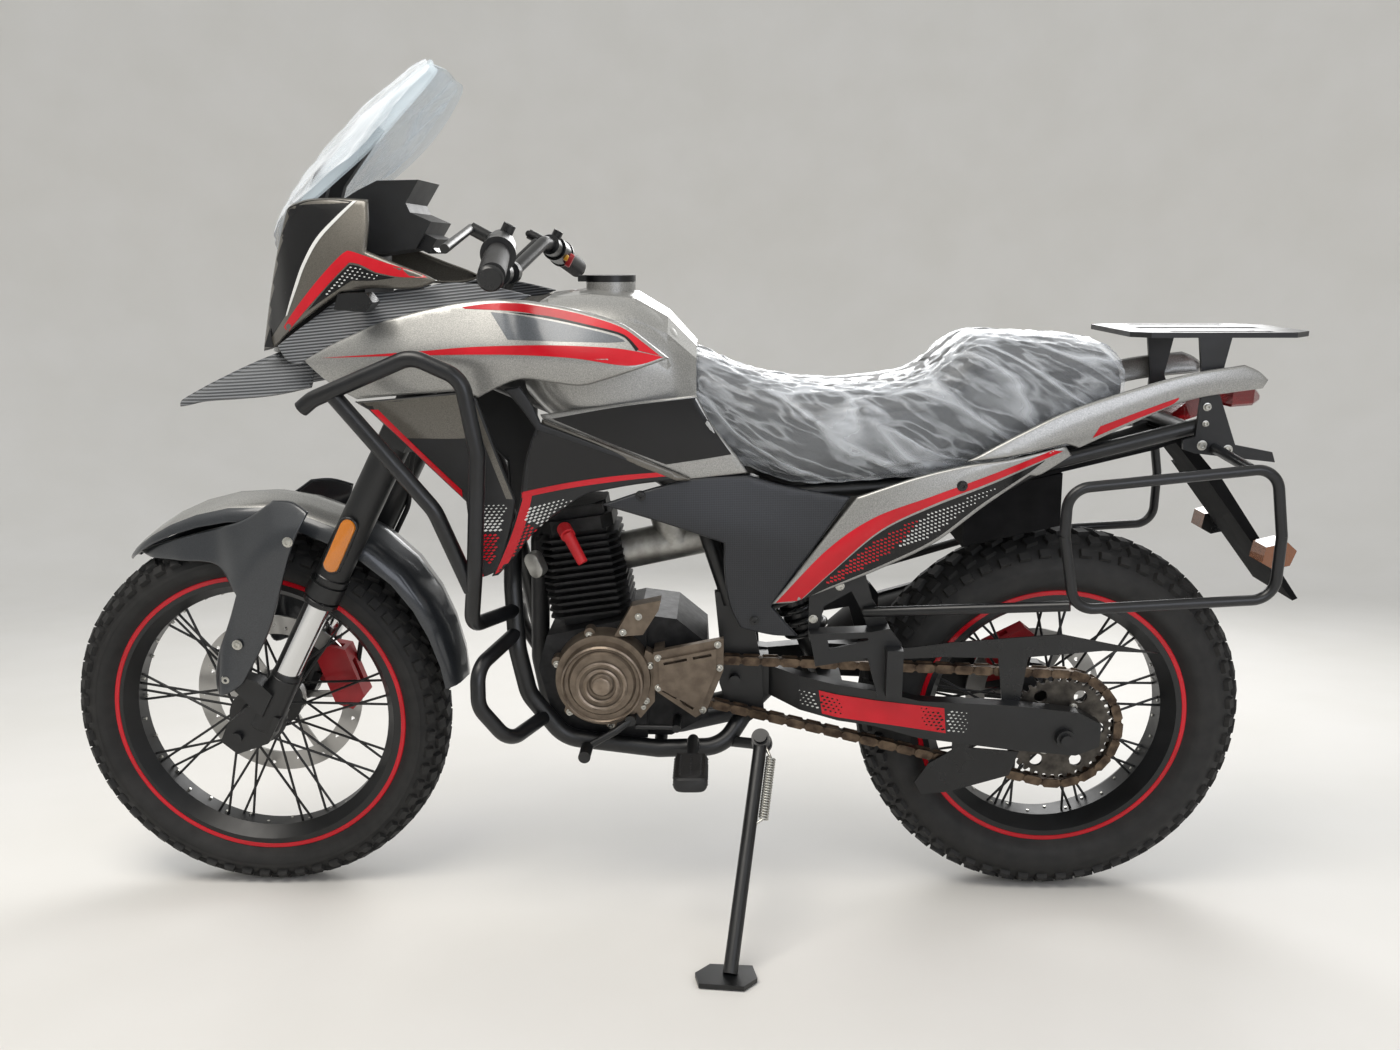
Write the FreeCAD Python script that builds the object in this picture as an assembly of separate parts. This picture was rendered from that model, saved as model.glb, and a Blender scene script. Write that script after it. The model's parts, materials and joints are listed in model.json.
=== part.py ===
import FreeCAD, Part
import math
import os

# Dual sport motorcycle parked on its side stand.
# Each piece is drawn upright: X forward from the rear axle, Y to the rider's left, Z up
# from the ground. The last step leans the whole machine onto its stand.

V = FreeCAD.Vector

# Driving dimensions, in millimetres and degrees
LEAN = 9.0
RUNNING_FIT = 0.05
SEAT_GAP = 0.3

REAR_TYRE_RADIUS = 328.0
REAR_TYRE_WIDTH = 138.0
REAR_CROWN_RADIUS = 72.0
REAR_RIM_SEAT = 216.0
REAR_RIM_WIDTH = 96.0
FRONT_TYRE_RADIUS = 326.0
FRONT_TYRE_WIDTH = 112.0
FRONT_CROWN_RADIUS = 60.0
FRONT_RIM_SEAT = 241.0
FRONT_RIM_WIDTH = 76.0
RIM_LIP = 13.0
RIM_DEPTH = 20.0
SPOKE_RADIUS = 2.2
SPOKES_PER_FLANGE = 18
HUB_BARREL_RADIUS = 26.0
HUB_FLANGE_RADIUS = 50.0
HUB_FLANGE_THICKNESS = 5.0
HUB_HALF_WIDTH = 40.0

REAR_AXLE_RADIUS = 10.0
FRONT_AXLE_RADIUS = 9.0
REAR_DISC_RADIUS = 120.0
FRONT_DISC_RADIUS = 150.0
DISC_THICKNESS = 4.5
DISC_BAND = 34.0
DISC_ARMS = 6
DISC_HOLES = 18
FRONT_DISC_Y = -64.0
REAR_DISC_Y = -76.0
SWINGARM_INNER = 100.0
SWINGARM_BEAM = 26.0
CALIPER_CLEAR = 5.5

RAKE = 28.0
STEER_LOCK = 35.0
HEAD_X = 1041.0
HEAD_Z = 830.5
HEAD_TUBE_LENGTH = 186.0
HEAD_TUBE_RADIUS = 30.0
STEM_RADIUS = 14.0
FORK_OFFSET = 30.0
AXLE_LEAD = 24.0
FORK_REACH = 606.0
FORK_HALF_SPREAD = 102.0
FORK_OUTER_RADIUS = 27.0
FORK_INNER_RADIUS = 21.5
FORK_OUTER_LENGTH = 541.0
CLAMP_THICKNESS = 34.0

PIVOT_X = 543.0
PIVOT_Z = 409.0
PIVOT_BOLT_RADIUS = 9.0
PIVOT_PLATE_INNER = 58.0
PIVOT_PLATE_THICKNESS = 14.0

CHAIN_Y = 86.0
CHAIN_PITCH = 15.875
CHAIN_HEIGHT = 15.0
REAR_TEETH = 39
FRONT_TEETH = 14
CHAIN_INNER = 5.4
CHAIN_CORE_WIDTH = 14.0
CHAIN_PLATE = 2.0
CHAIN_RUN_GAP = 2.1
SPROCKET_THICKNESS = 6.0
SPROCKET_TOOTH = 7.0
SPROCKET_HOLE_CIRCLE = 66.0
COUNTERSHAFT_X = 612.0
COUNTERSHAFT_Z = 415.0
CASE_HALF_WIDTH = 82.0
CHAIN_CASE_Y = 70.0
# Side view of the crankcase, (x, z)
CASE_OUTLINE = [(856, 486), (872, 430), (850, 345), (800, 306), (650, 304), (588, 340), (586, 396),
                (590, 470), (640, 512), (700, 520)]
GENERATOR_X = 761.0
GENERATOR_Z = 420.0
GENERATOR_RADIUS = 82.0
CLUTCH_X = 700.0
CLUTCH_Z = 410.0
CLUTCH_RADIUS = 92.0

FRAME_TUBE = 15.0
RAIL_TUBE = 12.0
BAR_TUBE = 12.0
RACK_TUBE = 8.0
CRADLE_HALF_WIDTH = 98.0
SUBFRAME_HALF_WIDTH = 92.0

STAND_PIVOT_X = 500.0
STAND_PIVOT_Y = 140.0
STAND_PIVOT_Z = 328.0
STAND_FOOT_X = 552.0
STAND_FOOT_Y = 395.0
STAND_TUBE = 11.0
STAND_PIN_RADIUS = 6.0
STAND_EYE_HALF = 12.0
# Way the leg points once it is folded up beside the swingarm
STAND_FOLDED = V(-0.985, 0.1, 0.08)

BAR_HALF_WIDTH = 430.0
BAR_END_RUN = 230.0
HANDLEBAR_TUBE = 11.0
GRIP_RADIUS = 16.0
GRIP_LENGTH = 125.0
RISER_Y = 40.0
RISER_RADIUS = 15.0
BAR_RISE = 88.0
HOSE_RADIUS = 4.5
MIRROR_HOLE_RADIUS = 5.0
MIRROR_HOLE_DEPTH = 14.0
MIRROR_BOSS_TOP = 30.0
PERCH_SETBACK = 70.0

SILENCER_RADIUS = 47.0
FIN_COUNT = 12
FIN_PITCH = 12.0
FIN_THICKNESS = 4.0
CYLINDER_LEAN = 8.0

TANK_REAR_X = 606.0
CAP_X = 745.0
CAP_RADIUS = 40.0
CAP_SEAT_Z = 1060.0
CAP_THICKNESS = 10.0
CAP_HINGE_X = CAP_X + CAP_RADIUS + 8
CAP_HINGE_Z = CAP_SEAT_Z + 6
FILLER_RADIUS = 24.0
FILLER_DEPTH = 75.0

RACK_X = -200.0
RACK_TOP_Z = 986.0
RACK_LENGTH = 280.0
RACK_HALF_WIDTH = 112.0
RACK_THICKNESS = 8.0
RACK_HOLE_SPREAD = 60.0
RACK_HOLE_RADIUS = 4.3
BRACKET = 6.0

PANEL = 5.0
# Place of the steering head that the fairing's outlines are drawn round
FAIRING_HEAD = V(1041.0, 0, 830.5)

REAR_AXLE = V(0, 0, REAR_TYRE_RADIUS)
RAKE_SIN = math.sin(math.radians(RAKE))
RAKE_COS = math.cos(math.radians(RAKE))
STEER_UP = V(-RAKE_SIN, 0, RAKE_COS)
STEER_AHEAD = V(RAKE_COS, 0, RAKE_SIN)
HEAD_FOOT = V(HEAD_X, 0, HEAD_Z)
# Nearest that a bracket beside the rear frame's rails may come
RAIL_SIDE = SUBFRAME_HALF_WIDTH + RAIL_TUBE + SEAT_GAP


def fork_point(ahead, left, up):
    """A point given along the steering axis: up is 0 level with the front axle."""
    along = STEER_UP * (up - FORK_REACH)
    return HEAD_FOOT + along + STEER_AHEAD * ahead + V(0, left, 0)


FRONT_AXLE = fork_point(FORK_OFFSET + AXLE_LEAD, 0, 0)


def face_of(points):
    return Part.Face(Part.makePolygon(list(points) + [points[0]]))


def prism(outline, y_from, y_to):
    """A side-view outline of (x, z) points, extruded across the machine."""
    face = face_of([V(x, y_from, z) for x, z in outline])
    return face.extrude(V(0, y_to - y_from, 0))


def fuse(shapes):
    result = shapes[0]
    if len(shapes) > 1:
        result = shapes[0].multiFuse(shapes[1:])
    return result.removeSplitter()


def pair(shape):
    """The shape and its mirror image on the other side of the machine."""
    return Part.makeCompound([shape, shape.mirror(V(0, 0, 0), V(0, 1, 0))])


def mirrored(shape):
    return shape.mirror(V(0, 0, 0), V(0, 1, 0))


def rod(start, end, radius, end_radius=None):
    span = end - start
    if end_radius is None:
        return Part.makeCylinder(radius, span.Length, start, span)
    return Part.makeCone(radius, end_radius, span.Length, start, span)


def cross_rod(x, z, y_from, y_to, radius):
    return Part.makeCylinder(radius, y_to - y_from, V(x, y_from, z), V(0, 1, 0))


def path_of(points, bend):
    """Straight runs joined by tangent arcs of one bend radius."""
    edges = []
    here = points[0]
    for before, corner, after in zip(points, points[1:], points[2:]):
        way_in = (corner - before).normalize()
        way_out = (after - corner).normalize()
        turn = way_in.getAngle(way_out)
        if turn < 0.02:
            continue
        shorter = min((corner - before).Length, (after - corner).Length)
        cut = min(bend * math.tan(turn / 2), 0.48 * shorter)
        arc_start = corner - way_in * cut
        arc_end = corner + way_out * cut
        centre_way = (way_out - way_in).normalize()
        radius = cut / math.tan(turn / 2)
        middle = corner + centre_way * (radius / math.cos(turn / 2) - radius)
        edges.append(Part.LineSegment(here, arc_start).toShape())
        edges.append(Part.Arc(arc_start, middle, arc_end).toShape())
        here = arc_end
    edges.append(Part.LineSegment(here, points[-1]).toShape())
    return Part.Wire(edges)


def pipe(points, radius, bend=60.0):
    """A round tube along bent straight runs."""
    points = [V(*p) for p in points]
    start = points[0]
    ring = Part.Wire(Part.makeCircle(radius, start, points[1] - start))
    return path_of(points, bend).makePipeShell([ring], True, False)


def ring_pipe(points, radius, bend):
    """A closed loop of tube, made of two bent halves that meet."""
    middle = len(points) // 2
    first = pipe(points[:middle + 1], radius, bend)
    second = pipe(points[middle:], radius, bend)
    return fuse([first, second])


def revolve_wheel(profile, centre):
    """A profile of (radius, y) points turned about a wheel's axle."""
    face = face_of([V(centre.x + r, y, centre.z) for r, y in profile])
    return face.revolve(centre, V(0, 1, 0), 360)


def loft(sections):
    wires = [Part.makePolygon(list(points) + [points[0]]) for points in sections]
    made = Part.makeLoft(wires, True, True)
    return made if made.Solids else Part.Solid(Part.Shell(made.Faces))


def skin(sections):
    """A closed thin sheet through sections whose points need not be in one plane."""
    faces = []
    count = len(sections[0])
    for one, two in zip(sections, sections[1:]):
        for i in range(count):
            j = (i + 1) % count
            faces.append(face_of([one[i], one[j], two[j]]))
            faces.append(face_of([one[i], two[j], two[i]]))
    for end in (sections[0], sections[-1]):
        for i in range(count // 2 - 1):
            faces.append(face_of([end[i], end[i + 1], end[count - 2 - i]]))
            faces.append(face_of([end[i], end[count - 2 - i], end[count - 1 - i]]))
    sheet = Part.Shell(faces)
    sheet.sewShape()
    solid = Part.Solid(sheet)
    solid.fix(0.01, 0.01, 0.01)
    if solid.Volume < 0:
        solid.reverse()
    return solid


def shell_panel(rows, thickness):
    """A thin bowed panel lofted through upright sections.

    Columns: x, top z, top y, middle z, middle y, low z, low y.
    """
    sections = []
    for x, top_z, top_y, mid_z, mid_y, low_z, low_y in rows:
        outer = [V(x, top_y, top_z), V(x, mid_y, mid_z), V(x, low_y, low_z)]
        inner = [point - V(0, thickness, 0) for point in reversed(outer)]
        sections.append(outer + inner)
    return loft(sections)


def trimmed_panel(outline, rows, thickness):
    """A panel cut to its side-view outline from a bent sheet given by rows."""
    return shell_panel(rows, thickness).common(prism(outline, 0, BAR_HALF_WIDTH))


def slab(outline, y_from, y_to):
    """A prism between two distances from the middle, in either order."""
    return prism(outline, min(y_from, y_to), max(y_from, y_to))


def polar(centre, radius, degrees):
    """A point round a wheel: 0 degrees is straight ahead and 90 is up."""
    angle = math.radians(degrees)
    return centre + V(radius * math.cos(angle), 0, radius * math.sin(angle))


def rounded_section(x, half_width, top, low, squareness, corners=14):
    """A closed section across the machine, between an ellipse and a box."""
    middle = (top + low) / 2
    height = (top - low) / 2
    points = []
    for i in range(corners):
        angle = 2 * math.pi * (i + 0.5) / corners
        c = math.cos(angle)
        s = math.sin(angle)
        y = half_width * math.copysign(abs(c) ** squareness, c)
        z = middle + height * math.copysign(abs(s) ** squareness, s)
        points.append(V(x, y, z))
    return points


# Wheels

def tyre(centre, radius, width, crown, seat, rim_width):
    """A solid tyre ring with a round crown, sitting between the rim's lips."""
    half = width / 2
    bead_y = rim_width / 2 - 9
    shoulder_y = half * 0.86
    shoulder_r = radius - crown + math.sqrt(crown ** 2 - shoulder_y ** 2)
    wide_r = seat + (shoulder_r - seat) * 0.62
    bead_r = seat + RIM_LIP + 2
    floor_r = seat + SEAT_GAP

    def at(r, y):
        return V(centre.x + r, y, centre.z)

    edges = [
        Part.Arc(at(shoulder_r, -shoulder_y), at(radius, 0), at(shoulder_r, shoulder_y)).toShape(),
        Part.Arc(at(shoulder_r, shoulder_y), at(wide_r, half), at(bead_r, bead_y + 5)).toShape(),
        Part.LineSegment(at(bead_r, bead_y + 5), at(floor_r, bead_y)).toShape(),
        Part.LineSegment(at(floor_r, bead_y), at(floor_r, -bead_y)).toShape(),
        Part.LineSegment(at(floor_r, -bead_y), at(bead_r, -bead_y - 5)).toShape(),
        Part.Arc(at(bead_r, -bead_y - 5), at(wide_r, -half), at(shoulder_r, -shoulder_y)).toShape(),
    ]
    return Part.Face(Part.Wire(edges)).revolve(centre, V(0, 1, 0), 360)


def rim(centre, seat, rim_width):
    half = rim_width / 2
    profile = [
        (seat + RIM_LIP, half), (seat + RIM_LIP, half - 4), (seat, half - 6),
        (seat, 6 - half), (seat + RIM_LIP, 4 - half), (seat + RIM_LIP, -half),
        (seat - 4, -half), (seat - RIM_DEPTH, -half * 0.4), (seat - RIM_DEPTH, half * 0.4),
        (seat - 4, half),
    ]
    return revolve_wheel(profile, centre)


def hub(centre, bore, seat):
    """A turned hub and its crossed wire spokes."""
    half = HUB_HALF_WIDTH
    inner = half - HUB_FLANGE_THICKNESS
    profile = [
        (bore, -half - 6), (HUB_BARREL_RADIUS, -half - 6), (HUB_BARREL_RADIUS + 4, -half),
        (HUB_FLANGE_RADIUS, -half), (HUB_FLANGE_RADIUS, -inner), (HUB_BARREL_RADIUS, -inner + 8),
        (HUB_BARREL_RADIUS, inner - 8), (HUB_FLANGE_RADIUS, inner), (HUB_FLANGE_RADIUS, half),
        (HUB_BARREL_RADIUS + 4, half), (HUB_BARREL_RADIUS, half + 6), (bore, half + 6),
    ]
    body = revolve_wheel(profile, centre)
    spokes = []
    lacing_r = HUB_FLANGE_RADIUS - 5
    rim_r = seat - RIM_DEPTH - SEAT_GAP
    step = 360.0 / SPOKES_PER_FLANGE
    for side in (-1, 1):
        for i in range(SPOKES_PER_FLANGE):
            cross = 52.0 if i % 2 else -52.0
            hub_angle = math.radians(i * step + side * step / 4)
            rim_angle = hub_angle + math.radians(cross * 0.62)
            foot_y = side * (inner + HUB_FLANGE_THICKNESS / 2)
            start = centre + V(lacing_r * math.cos(hub_angle), foot_y, lacing_r * math.sin(hub_angle))
            end = centre + V(rim_r * math.cos(rim_angle), side * 9, rim_r * math.sin(rim_angle))
            spokes.append(rod(start, end, SPOKE_RADIUS))
    return Part.makeCompound([body] + spokes)


def brake_disc(centre, radius, y):
    """A drilled braking ring carried by arms on the hub's end."""
    inner = radius - DISC_BAND
    half = DISC_THICKNESS / 2
    ring = revolve_wheel([(inner, y - half), (radius, y - half), (radius, y + half), (inner, y + half)],
                         centre)
    carrier_out = HUB_BARREL_RADIUS + 22
    hub_end = -HUB_HALF_WIDTH - 6 - SEAT_GAP
    boss = revolve_wheel([(HUB_BARREL_RADIUS - 6, y - 2), (carrier_out, y - 2),
                          (carrier_out, y + 2), (HUB_BARREL_RADIUS, hub_end),
                          (HUB_BARREL_RADIUS - 6, hub_end)], centre)
    arms = []
    for i in range(DISC_ARMS):
        arm = Part.makeBox(inner + 6 - carrier_out * 0.9, 4, 12, V(carrier_out * 0.9, -2, -6))
        arm.rotate(V(0, 0, 0), V(0, 1, 0), -360.0 / DISC_ARMS * i)
        arm.translate(centre + V(0, y, 0))
        arms.append(arm)
    holes = []
    for i in range(DISC_HOLES):
        reach = inner + DISC_BAND * (0.35 if i % 2 else 0.65)
        at = polar(centre, reach, 360.0 / DISC_HOLES * i)
        holes.append(cross_rod(at.x, at.z, y - 4, y + 4, 3.5))
    return fuse([ring, boss] + arms).cut(Part.makeCompound(holes))


def pitch_radius(teeth):
    return CHAIN_PITCH / (2 * math.sin(math.pi / teeth))


def toothed_outline(teeth, tip_radius, depth):
    """Points (x, z) of a gear outline about the origin."""
    points = []
    # Columns: share of one tooth's pitch, radius
    for i in range(teeth):
        for share, radius in [(-0.32, tip_radius - depth), (-0.12, tip_radius), (0.12, tip_radius),
                              (0.32, tip_radius - depth)]:
            angle = 2 * math.pi * (i + share) / teeth
            points.append((radius * math.cos(angle), radius * math.sin(angle)))
    return points


def rear_sprocket():
    tip = pitch_radius(REAR_TEETH) - CHAIN_INNER - CHAIN_RUN_GAP
    y_low = CHAIN_Y - SPROCKET_THICKNESS / 2
    hub_end = HUB_HALF_WIDTH + 6 + SEAT_GAP
    cone = revolve_wheel([(HUB_BARREL_RADIUS - 4, hub_end), (HUB_BARREL_RADIUS, hub_end),
                          (46, y_low), (46, y_low + SPROCKET_THICKNESS),
                          (HUB_BARREL_RADIUS - 4, y_low + SPROCKET_THICKNESS)], REAR_AXLE)
    plate = prism(toothed_outline(REAR_TEETH, tip, SPROCKET_TOOTH), y_low, y_low + SPROCKET_THICKNESS)
    plate.translate(REAR_AXLE)
    holes = [cross_rod(REAR_AXLE.x, REAR_AXLE.z, y_low - 2, y_low + 9, 40)]
    for i in range(6):
        at = polar(REAR_AXLE, SPROCKET_HOLE_CIRCLE, 60 * i)
        holes.append(cross_rod(at.x, at.z, y_low - 2, y_low + 9, 11))
    return fuse([plate.cut(Part.makeCompound(holes)), cone])


def chain_loop(offset):
    """The closed outline of the two sprockets' common belt, at an offset from the pitch line."""
    big = pitch_radius(REAR_TEETH) + offset
    small = pitch_radius(FRONT_TEETH) + offset
    span_x = COUNTERSHAFT_X - REAR_AXLE.x
    span_z = COUNTERSHAFT_Z - REAR_AXLE.z
    span = math.hypot(span_x, span_z)
    base = math.atan2(span_z, span_x)
    spread = math.acos((big - small) / span)

    def at(cx, cz, radius, angle):
        return V(cx + radius * math.cos(angle), 0, cz + radius * math.sin(angle))

    upper = base + spread
    lower = base - spread
    rear_x, rear_z = REAR_AXLE.x, REAR_AXLE.z
    p1 = at(rear_x, rear_z, big, upper)
    p2 = at(COUNTERSHAFT_X, COUNTERSHAFT_Z, small, upper)
    p3 = at(COUNTERSHAFT_X, COUNTERSHAFT_Z, small, lower)
    p4 = at(rear_x, rear_z, big, lower)
    nose = at(COUNTERSHAFT_X, COUNTERSHAFT_Z, small, base)
    back = at(rear_x, rear_z, big, base + math.pi)
    return Part.Wire([
        Part.LineSegment(p1, p2).toShape(), Part.Arc(p2, nose, p3).toShape(),
        Part.LineSegment(p3, p4).toShape(), Part.Arc(p4, back, p1).toShape(),
    ])


def link_plate(start, end, y_from, y_to):
    """One outer plate round two pins, with its corners cut off."""
    along = (end - start).normalize()
    across = V(-along.z, 0, along.x)
    half = CHAIN_HEIGHT / 2
    corner = half * 0.45
    outline = []
    # Columns: end of the plate, reach past the pin, height
    for pin, reach, height in [(start, -half, -corner), (start, -corner, -half), (end, corner, -half),
                               (end, half, -corner), (end, half, corner), (end, corner, half),
                               (start, -corner, half), (start, -half, corner)]:
        point = pin + along * reach + across * height
        outline.append((point.x, point.z))
    return slab(outline, y_from, y_to)


def chain():
    """A roller core with an outer plate on both sides of every second link."""
    half = CHAIN_CORE_WIDTH / 2
    core = Part.Face(chain_loop(CHAIN_INNER)).cut(Part.Face(chain_loop(-CHAIN_INNER)))
    core = core.extrude(V(0, CHAIN_CORE_WIDTH, 0))
    core.translate(V(0, CHAIN_Y - half, 0))
    line = chain_loop(0)
    links = 2 * int(round(line.Length / CHAIN_PITCH / 2))
    pins = line.discretize(links + 1)
    plates = []
    for i in range(0, links, 2):
        for side in (-1, 1):
            near = CHAIN_Y + side * (half - 0.5)
            far = CHAIN_Y + side * (half + CHAIN_PLATE)
            plates.append(link_plate(pins[i], pins[i + 1], near, far))
    return fuse([core] + plates)


# Steering

def fork_upper():
    """Stem, both clamps and the two outer fork tubes."""
    head_low = FORK_REACH
    head_top = FORK_REACH + HEAD_TUBE_LENGTH
    stem_low = fork_point(0, 0, head_low - CLAMP_THICKNESS)
    stem = rod(stem_low, fork_point(0, 0, head_top + 28), STEM_RADIUS)
    clamps = []
    levels = [(head_low - CLAMP_THICKNESS - SEAT_GAP, CLAMP_THICKNESS), (head_top + SEAT_GAP, 24.0)]
    for level, thickness in levels:
        corners = [(-20, -28), (-20, 28), (6, 131), (50, 131), (62, 0), (50, -131), (6, -131)]
        face = face_of([fork_point(a, y, level) for a, y in corners])
        clamps.append(face.extrude(STEER_UP * thickness))
    outer_low = head_top + 34 - FORK_OUTER_LENGTH
    tubes = []
    for side in (-1, 1):
        y = side * FORK_HALF_SPREAD
        low = fork_point(FORK_OFFSET, y, outer_low)
        top = fork_point(FORK_OFFSET, y, head_top + 34)
        tubes.append(rod(low, top, FORK_OUTER_RADIUS))
        tubes.append(rod(low, fork_point(FORK_OFFSET, y, outer_low + 26), FORK_OUTER_RADIUS + 3))
    return fuse([stem] + clamps + tubes + bar_risers())


def bar_risers():
    head_top = FORK_REACH + HEAD_TUBE_LENGTH
    posts = []
    for side in (-1, 1):
        y = side * RISER_Y
        posts.append(rod(fork_point(0, y, head_top + 20), fork_point(4, y, head_top + 76), RISER_RADIUS))
    return posts


def fork_lower():
    """Bright inner tubes, the axle clamps and the front axle."""
    outer_low = FORK_REACH + HEAD_TUBE_LENGTH + 34 - FORK_OUTER_LENGTH
    pieces = []
    for side in (-1, 1):
        y = side * FORK_HALF_SPREAD
        low = fork_point(FORK_OFFSET, y, 30)
        pieces.append(rod(low, fork_point(FORK_OFFSET, y, outer_low), FORK_INNER_RADIUS))
        axle_ahead = FORK_OFFSET + AXLE_LEAD
        corners = [(4, 62), (56, 62), (axle_ahead + 24, 14), (axle_ahead + 22, -22),
                   (axle_ahead - 12, -30), (4, 12)]
        y_in = side * (FORK_HALF_SPREAD - 24)
        face = face_of([fork_point(a, y_in, c) for a, c in corners])
        pieces.append(face.extrude(V(0, side * 46, 0)))
        lug = [(30, 55), (92, 80), (92, 104), (60, 110), (30, 100)]
        face = face_of([fork_point(a, side * FORK_HALF_SPREAD, c) for a, c in lug])
        pieces.append(face.extrude(V(0, side * (FORK_OUTER_RADIUS + 4 - SEAT_GAP), 0)))
    reach = FORK_HALF_SPREAD + 30
    pieces.append(cross_rod(FRONT_AXLE.x, FRONT_AXLE.z, -reach, reach, FRONT_AXLE_RADIUS))
    return fuse(pieces)


def caliper(centre, radius, degrees, disc_y, outer_y, inner_y):
    """A brake body that straddles its disc, its outline following the disc's edge."""
    outline = []
    # Columns: angle along the disc, reach from the caliper's middle radius
    for swing, reach in [(-24, -26), (24, -26), (27, 6), (17, 27), (-17, 27), (-27, 6)]:
        point = polar(centre, radius + reach, degrees + swing)
        outline.append((point.x, point.z))
    body = slab(outline, outer_y, inner_y)
    half = DISC_THICKNESS / 2 + CALIPER_CLEAR
    pistons = []
    for swing in (-11, 11):
        at = polar(centre, radius - 2, degrees + swing)
        pistons.append(cross_rod(at.x, at.z, outer_y - 5, outer_y + 4, 13))
    slot = cross_rod(centre.x, centre.z, disc_y - half, disc_y + half, radius + 16 + CALIPER_CLEAR)
    return fuse([body] + pistons).cut(slot)


def front_caliper():
    """Caliper and its bracket on the right fork leg."""
    outer_y = FRONT_DISC_Y - 26
    body = caliper(FRONT_AXLE, FRONT_DISC_RADIUS - 16, 162, FRONT_DISC_Y, outer_y, FRONT_DISC_Y + 20)
    near = polar(FRONT_AXLE, FRONT_DISC_RADIUS - 16, 146)
    far = polar(FRONT_AXLE, FRONT_DISC_RADIUS - 10, 176)
    leg_low = fork_point(FORK_OFFSET, 0, 46)
    leg_top = fork_point(FORK_OFFSET, 0, 140)
    outline = [(near.x, near.z), (far.x, far.z), (far.x + 20, far.z - 16), (leg_low.x, leg_low.z),
               (leg_top.x, leg_top.z)]
    bracket = slab(outline, outer_y - 7, outer_y + 5)
    return fuse([body, bracket])


def rear_caliper():
    """Caliper and its bracket inside the right arm."""
    arm_side = -(SWINGARM_INNER - SEAT_GAP)
    outer_y = REAR_DISC_Y - 18
    body = caliper(REAR_AXLE, REAR_DISC_RADIUS - 16, 62, REAR_DISC_Y, outer_y, REAR_DISC_Y + 22)
    outline = [(16, REAR_AXLE.z + 24), (92, REAR_AXLE.z + 10), (104, REAR_AXLE.z + 66),
               (70, REAR_AXLE.z + 92), (24, REAR_AXLE.z + 96)]
    return fuse([body, slab(outline, arm_side, outer_y + 4)])


def brake_hose():
    """Hose from the right lever along the bar and the fork leg to the front caliper."""
    inner, end = bar_end_run(-1)
    behind = FORK_OFFSET - FORK_OUTER_RADIUS - HOSE_RADIUS - 1
    beside = FORK_OUTER_RADIUS + HOSE_RADIUS + 2 - FORK_HALF_SPREAD
    clamp_top = FORK_REACH + HEAD_TUBE_LENGTH
    ahead = FORK_OFFSET - 6
    off_bar = STEER_AHEAD * 18 - STEER_UP * 6
    points = [perch_point(-1) + STEER_AHEAD * 24 - STEER_UP * 18, inner + off_bar + V(0, -24, 0),
              fork_point(ahead, beside, clamp_top + 66), fork_point(ahead, beside, clamp_top - 30),
              fork_point(ahead, beside, FORK_REACH - 90), fork_point(behind, -FORK_HALF_SPREAD, 420),
              fork_point(behind, -FORK_HALF_SPREAD, 240),
              polar(FRONT_AXLE, FRONT_DISC_RADIUS + 2, 158) + V(0, FRONT_DISC_Y - 20, 0)]
    return pipe(points, HOSE_RADIUS, 60)


def front_fender():
    """An arched mudguard over the front tyre with a blade down each fork leg."""
    # Columns: angle from straight ahead, radius of the crown, half width, drop of the edges
    rows = [(54, 350, 30, 6), (62, 362, 52, 16), (80, 384, 64, 30), (98, 400, 70, 38),
            (116, 404, 74, 44), (136, 400, 70, 40), (154, 384, 64, 34), (170, 368, 58, 26)]
    sections = []
    wall = 4.0
    for angle, radius, half, drop in rows:
        a = math.radians(angle)
        way = V(math.cos(a), 0, math.sin(a))
        # Columns: distance from the middle, height over the crown
        across = [(-half, -drop), (-half * 0.7, -drop * 0.25), (0, 0), (half * 0.7, -drop * 0.25),
                  (half, -drop)]
        outer = [FRONT_AXLE + way * (radius + d) + V(0, y, 0) for y, d in across]
        inner = [p - way * wall for p in reversed(outer)]
        sections.append(outer + inner)
    arch = loft(sections)
    blades = []
    y_blade = FORK_HALF_SPREAD + FORK_OUTER_RADIUS + 4
    outline = [(1262, 700), (1226, 690), (1252, 610), (1300, 520), (1352, 424), (1400, 404),
               (1400, 462), (1338, 600)]
    shift_x = FRONT_AXLE.x - 1370
    shift_z = FRONT_AXLE.z - 326
    outline = [(x + shift_x, z + shift_z) for x, z in outline]
    for side in (-1, 1):
        blade = prism(outline, side * y_blade, side * (y_blade + 5))
        lug_at = V(1264 + shift_x, 0, 668 + shift_z)
        near = lug_at + V(0, side * 66, 0)
        lug = rod(near, lug_at + V(0, side * (y_blade + 2), 0), 8)
        blades += [blade, lug]
    return fuse([arch] + blades)


def handlebar():
    head_top = FORK_REACH + HEAD_TUBE_LENGTH
    rise = head_top + BAR_RISE
    inner, end = bar_end_run(1)
    left = pipe([fork_point(4, 0, rise), fork_point(4, 70, rise), inner, end], HANDLEBAR_TUBE, 50)
    clamps = []
    for side in (-1, 1):
        y = side * RISER_Y
        clamps.append(rod(fork_point(4, y - 14, rise), fork_point(4, y + 14, rise), 19))
    bar = fuse([left, mirrored(left)] + clamps)
    return bar.cut(Part.makeCompound(bar_risers()))


def bar_end_run(side):
    """Where the bar's outer straight run starts and ends."""
    rise = FORK_REACH + HEAD_TUBE_LENGTH + BAR_RISE
    inner_y = BAR_HALF_WIDTH - BAR_END_RUN
    return fork_point(-4, side * inner_y, rise + 62), fork_point(-52, side * BAR_HALF_WIDTH, rise + 34)


def perch_point(side):
    inner, end = bar_end_run(side)
    way = (end - inner).normalize()
    return end - way * (GRIP_LENGTH + PERCH_SETBACK)


def mirror_seat(side):
    """Top of the lever perch, where a mirror's stem screws in."""
    return perch_point(side) + STEER_UP * MIRROR_BOSS_TOP


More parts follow.
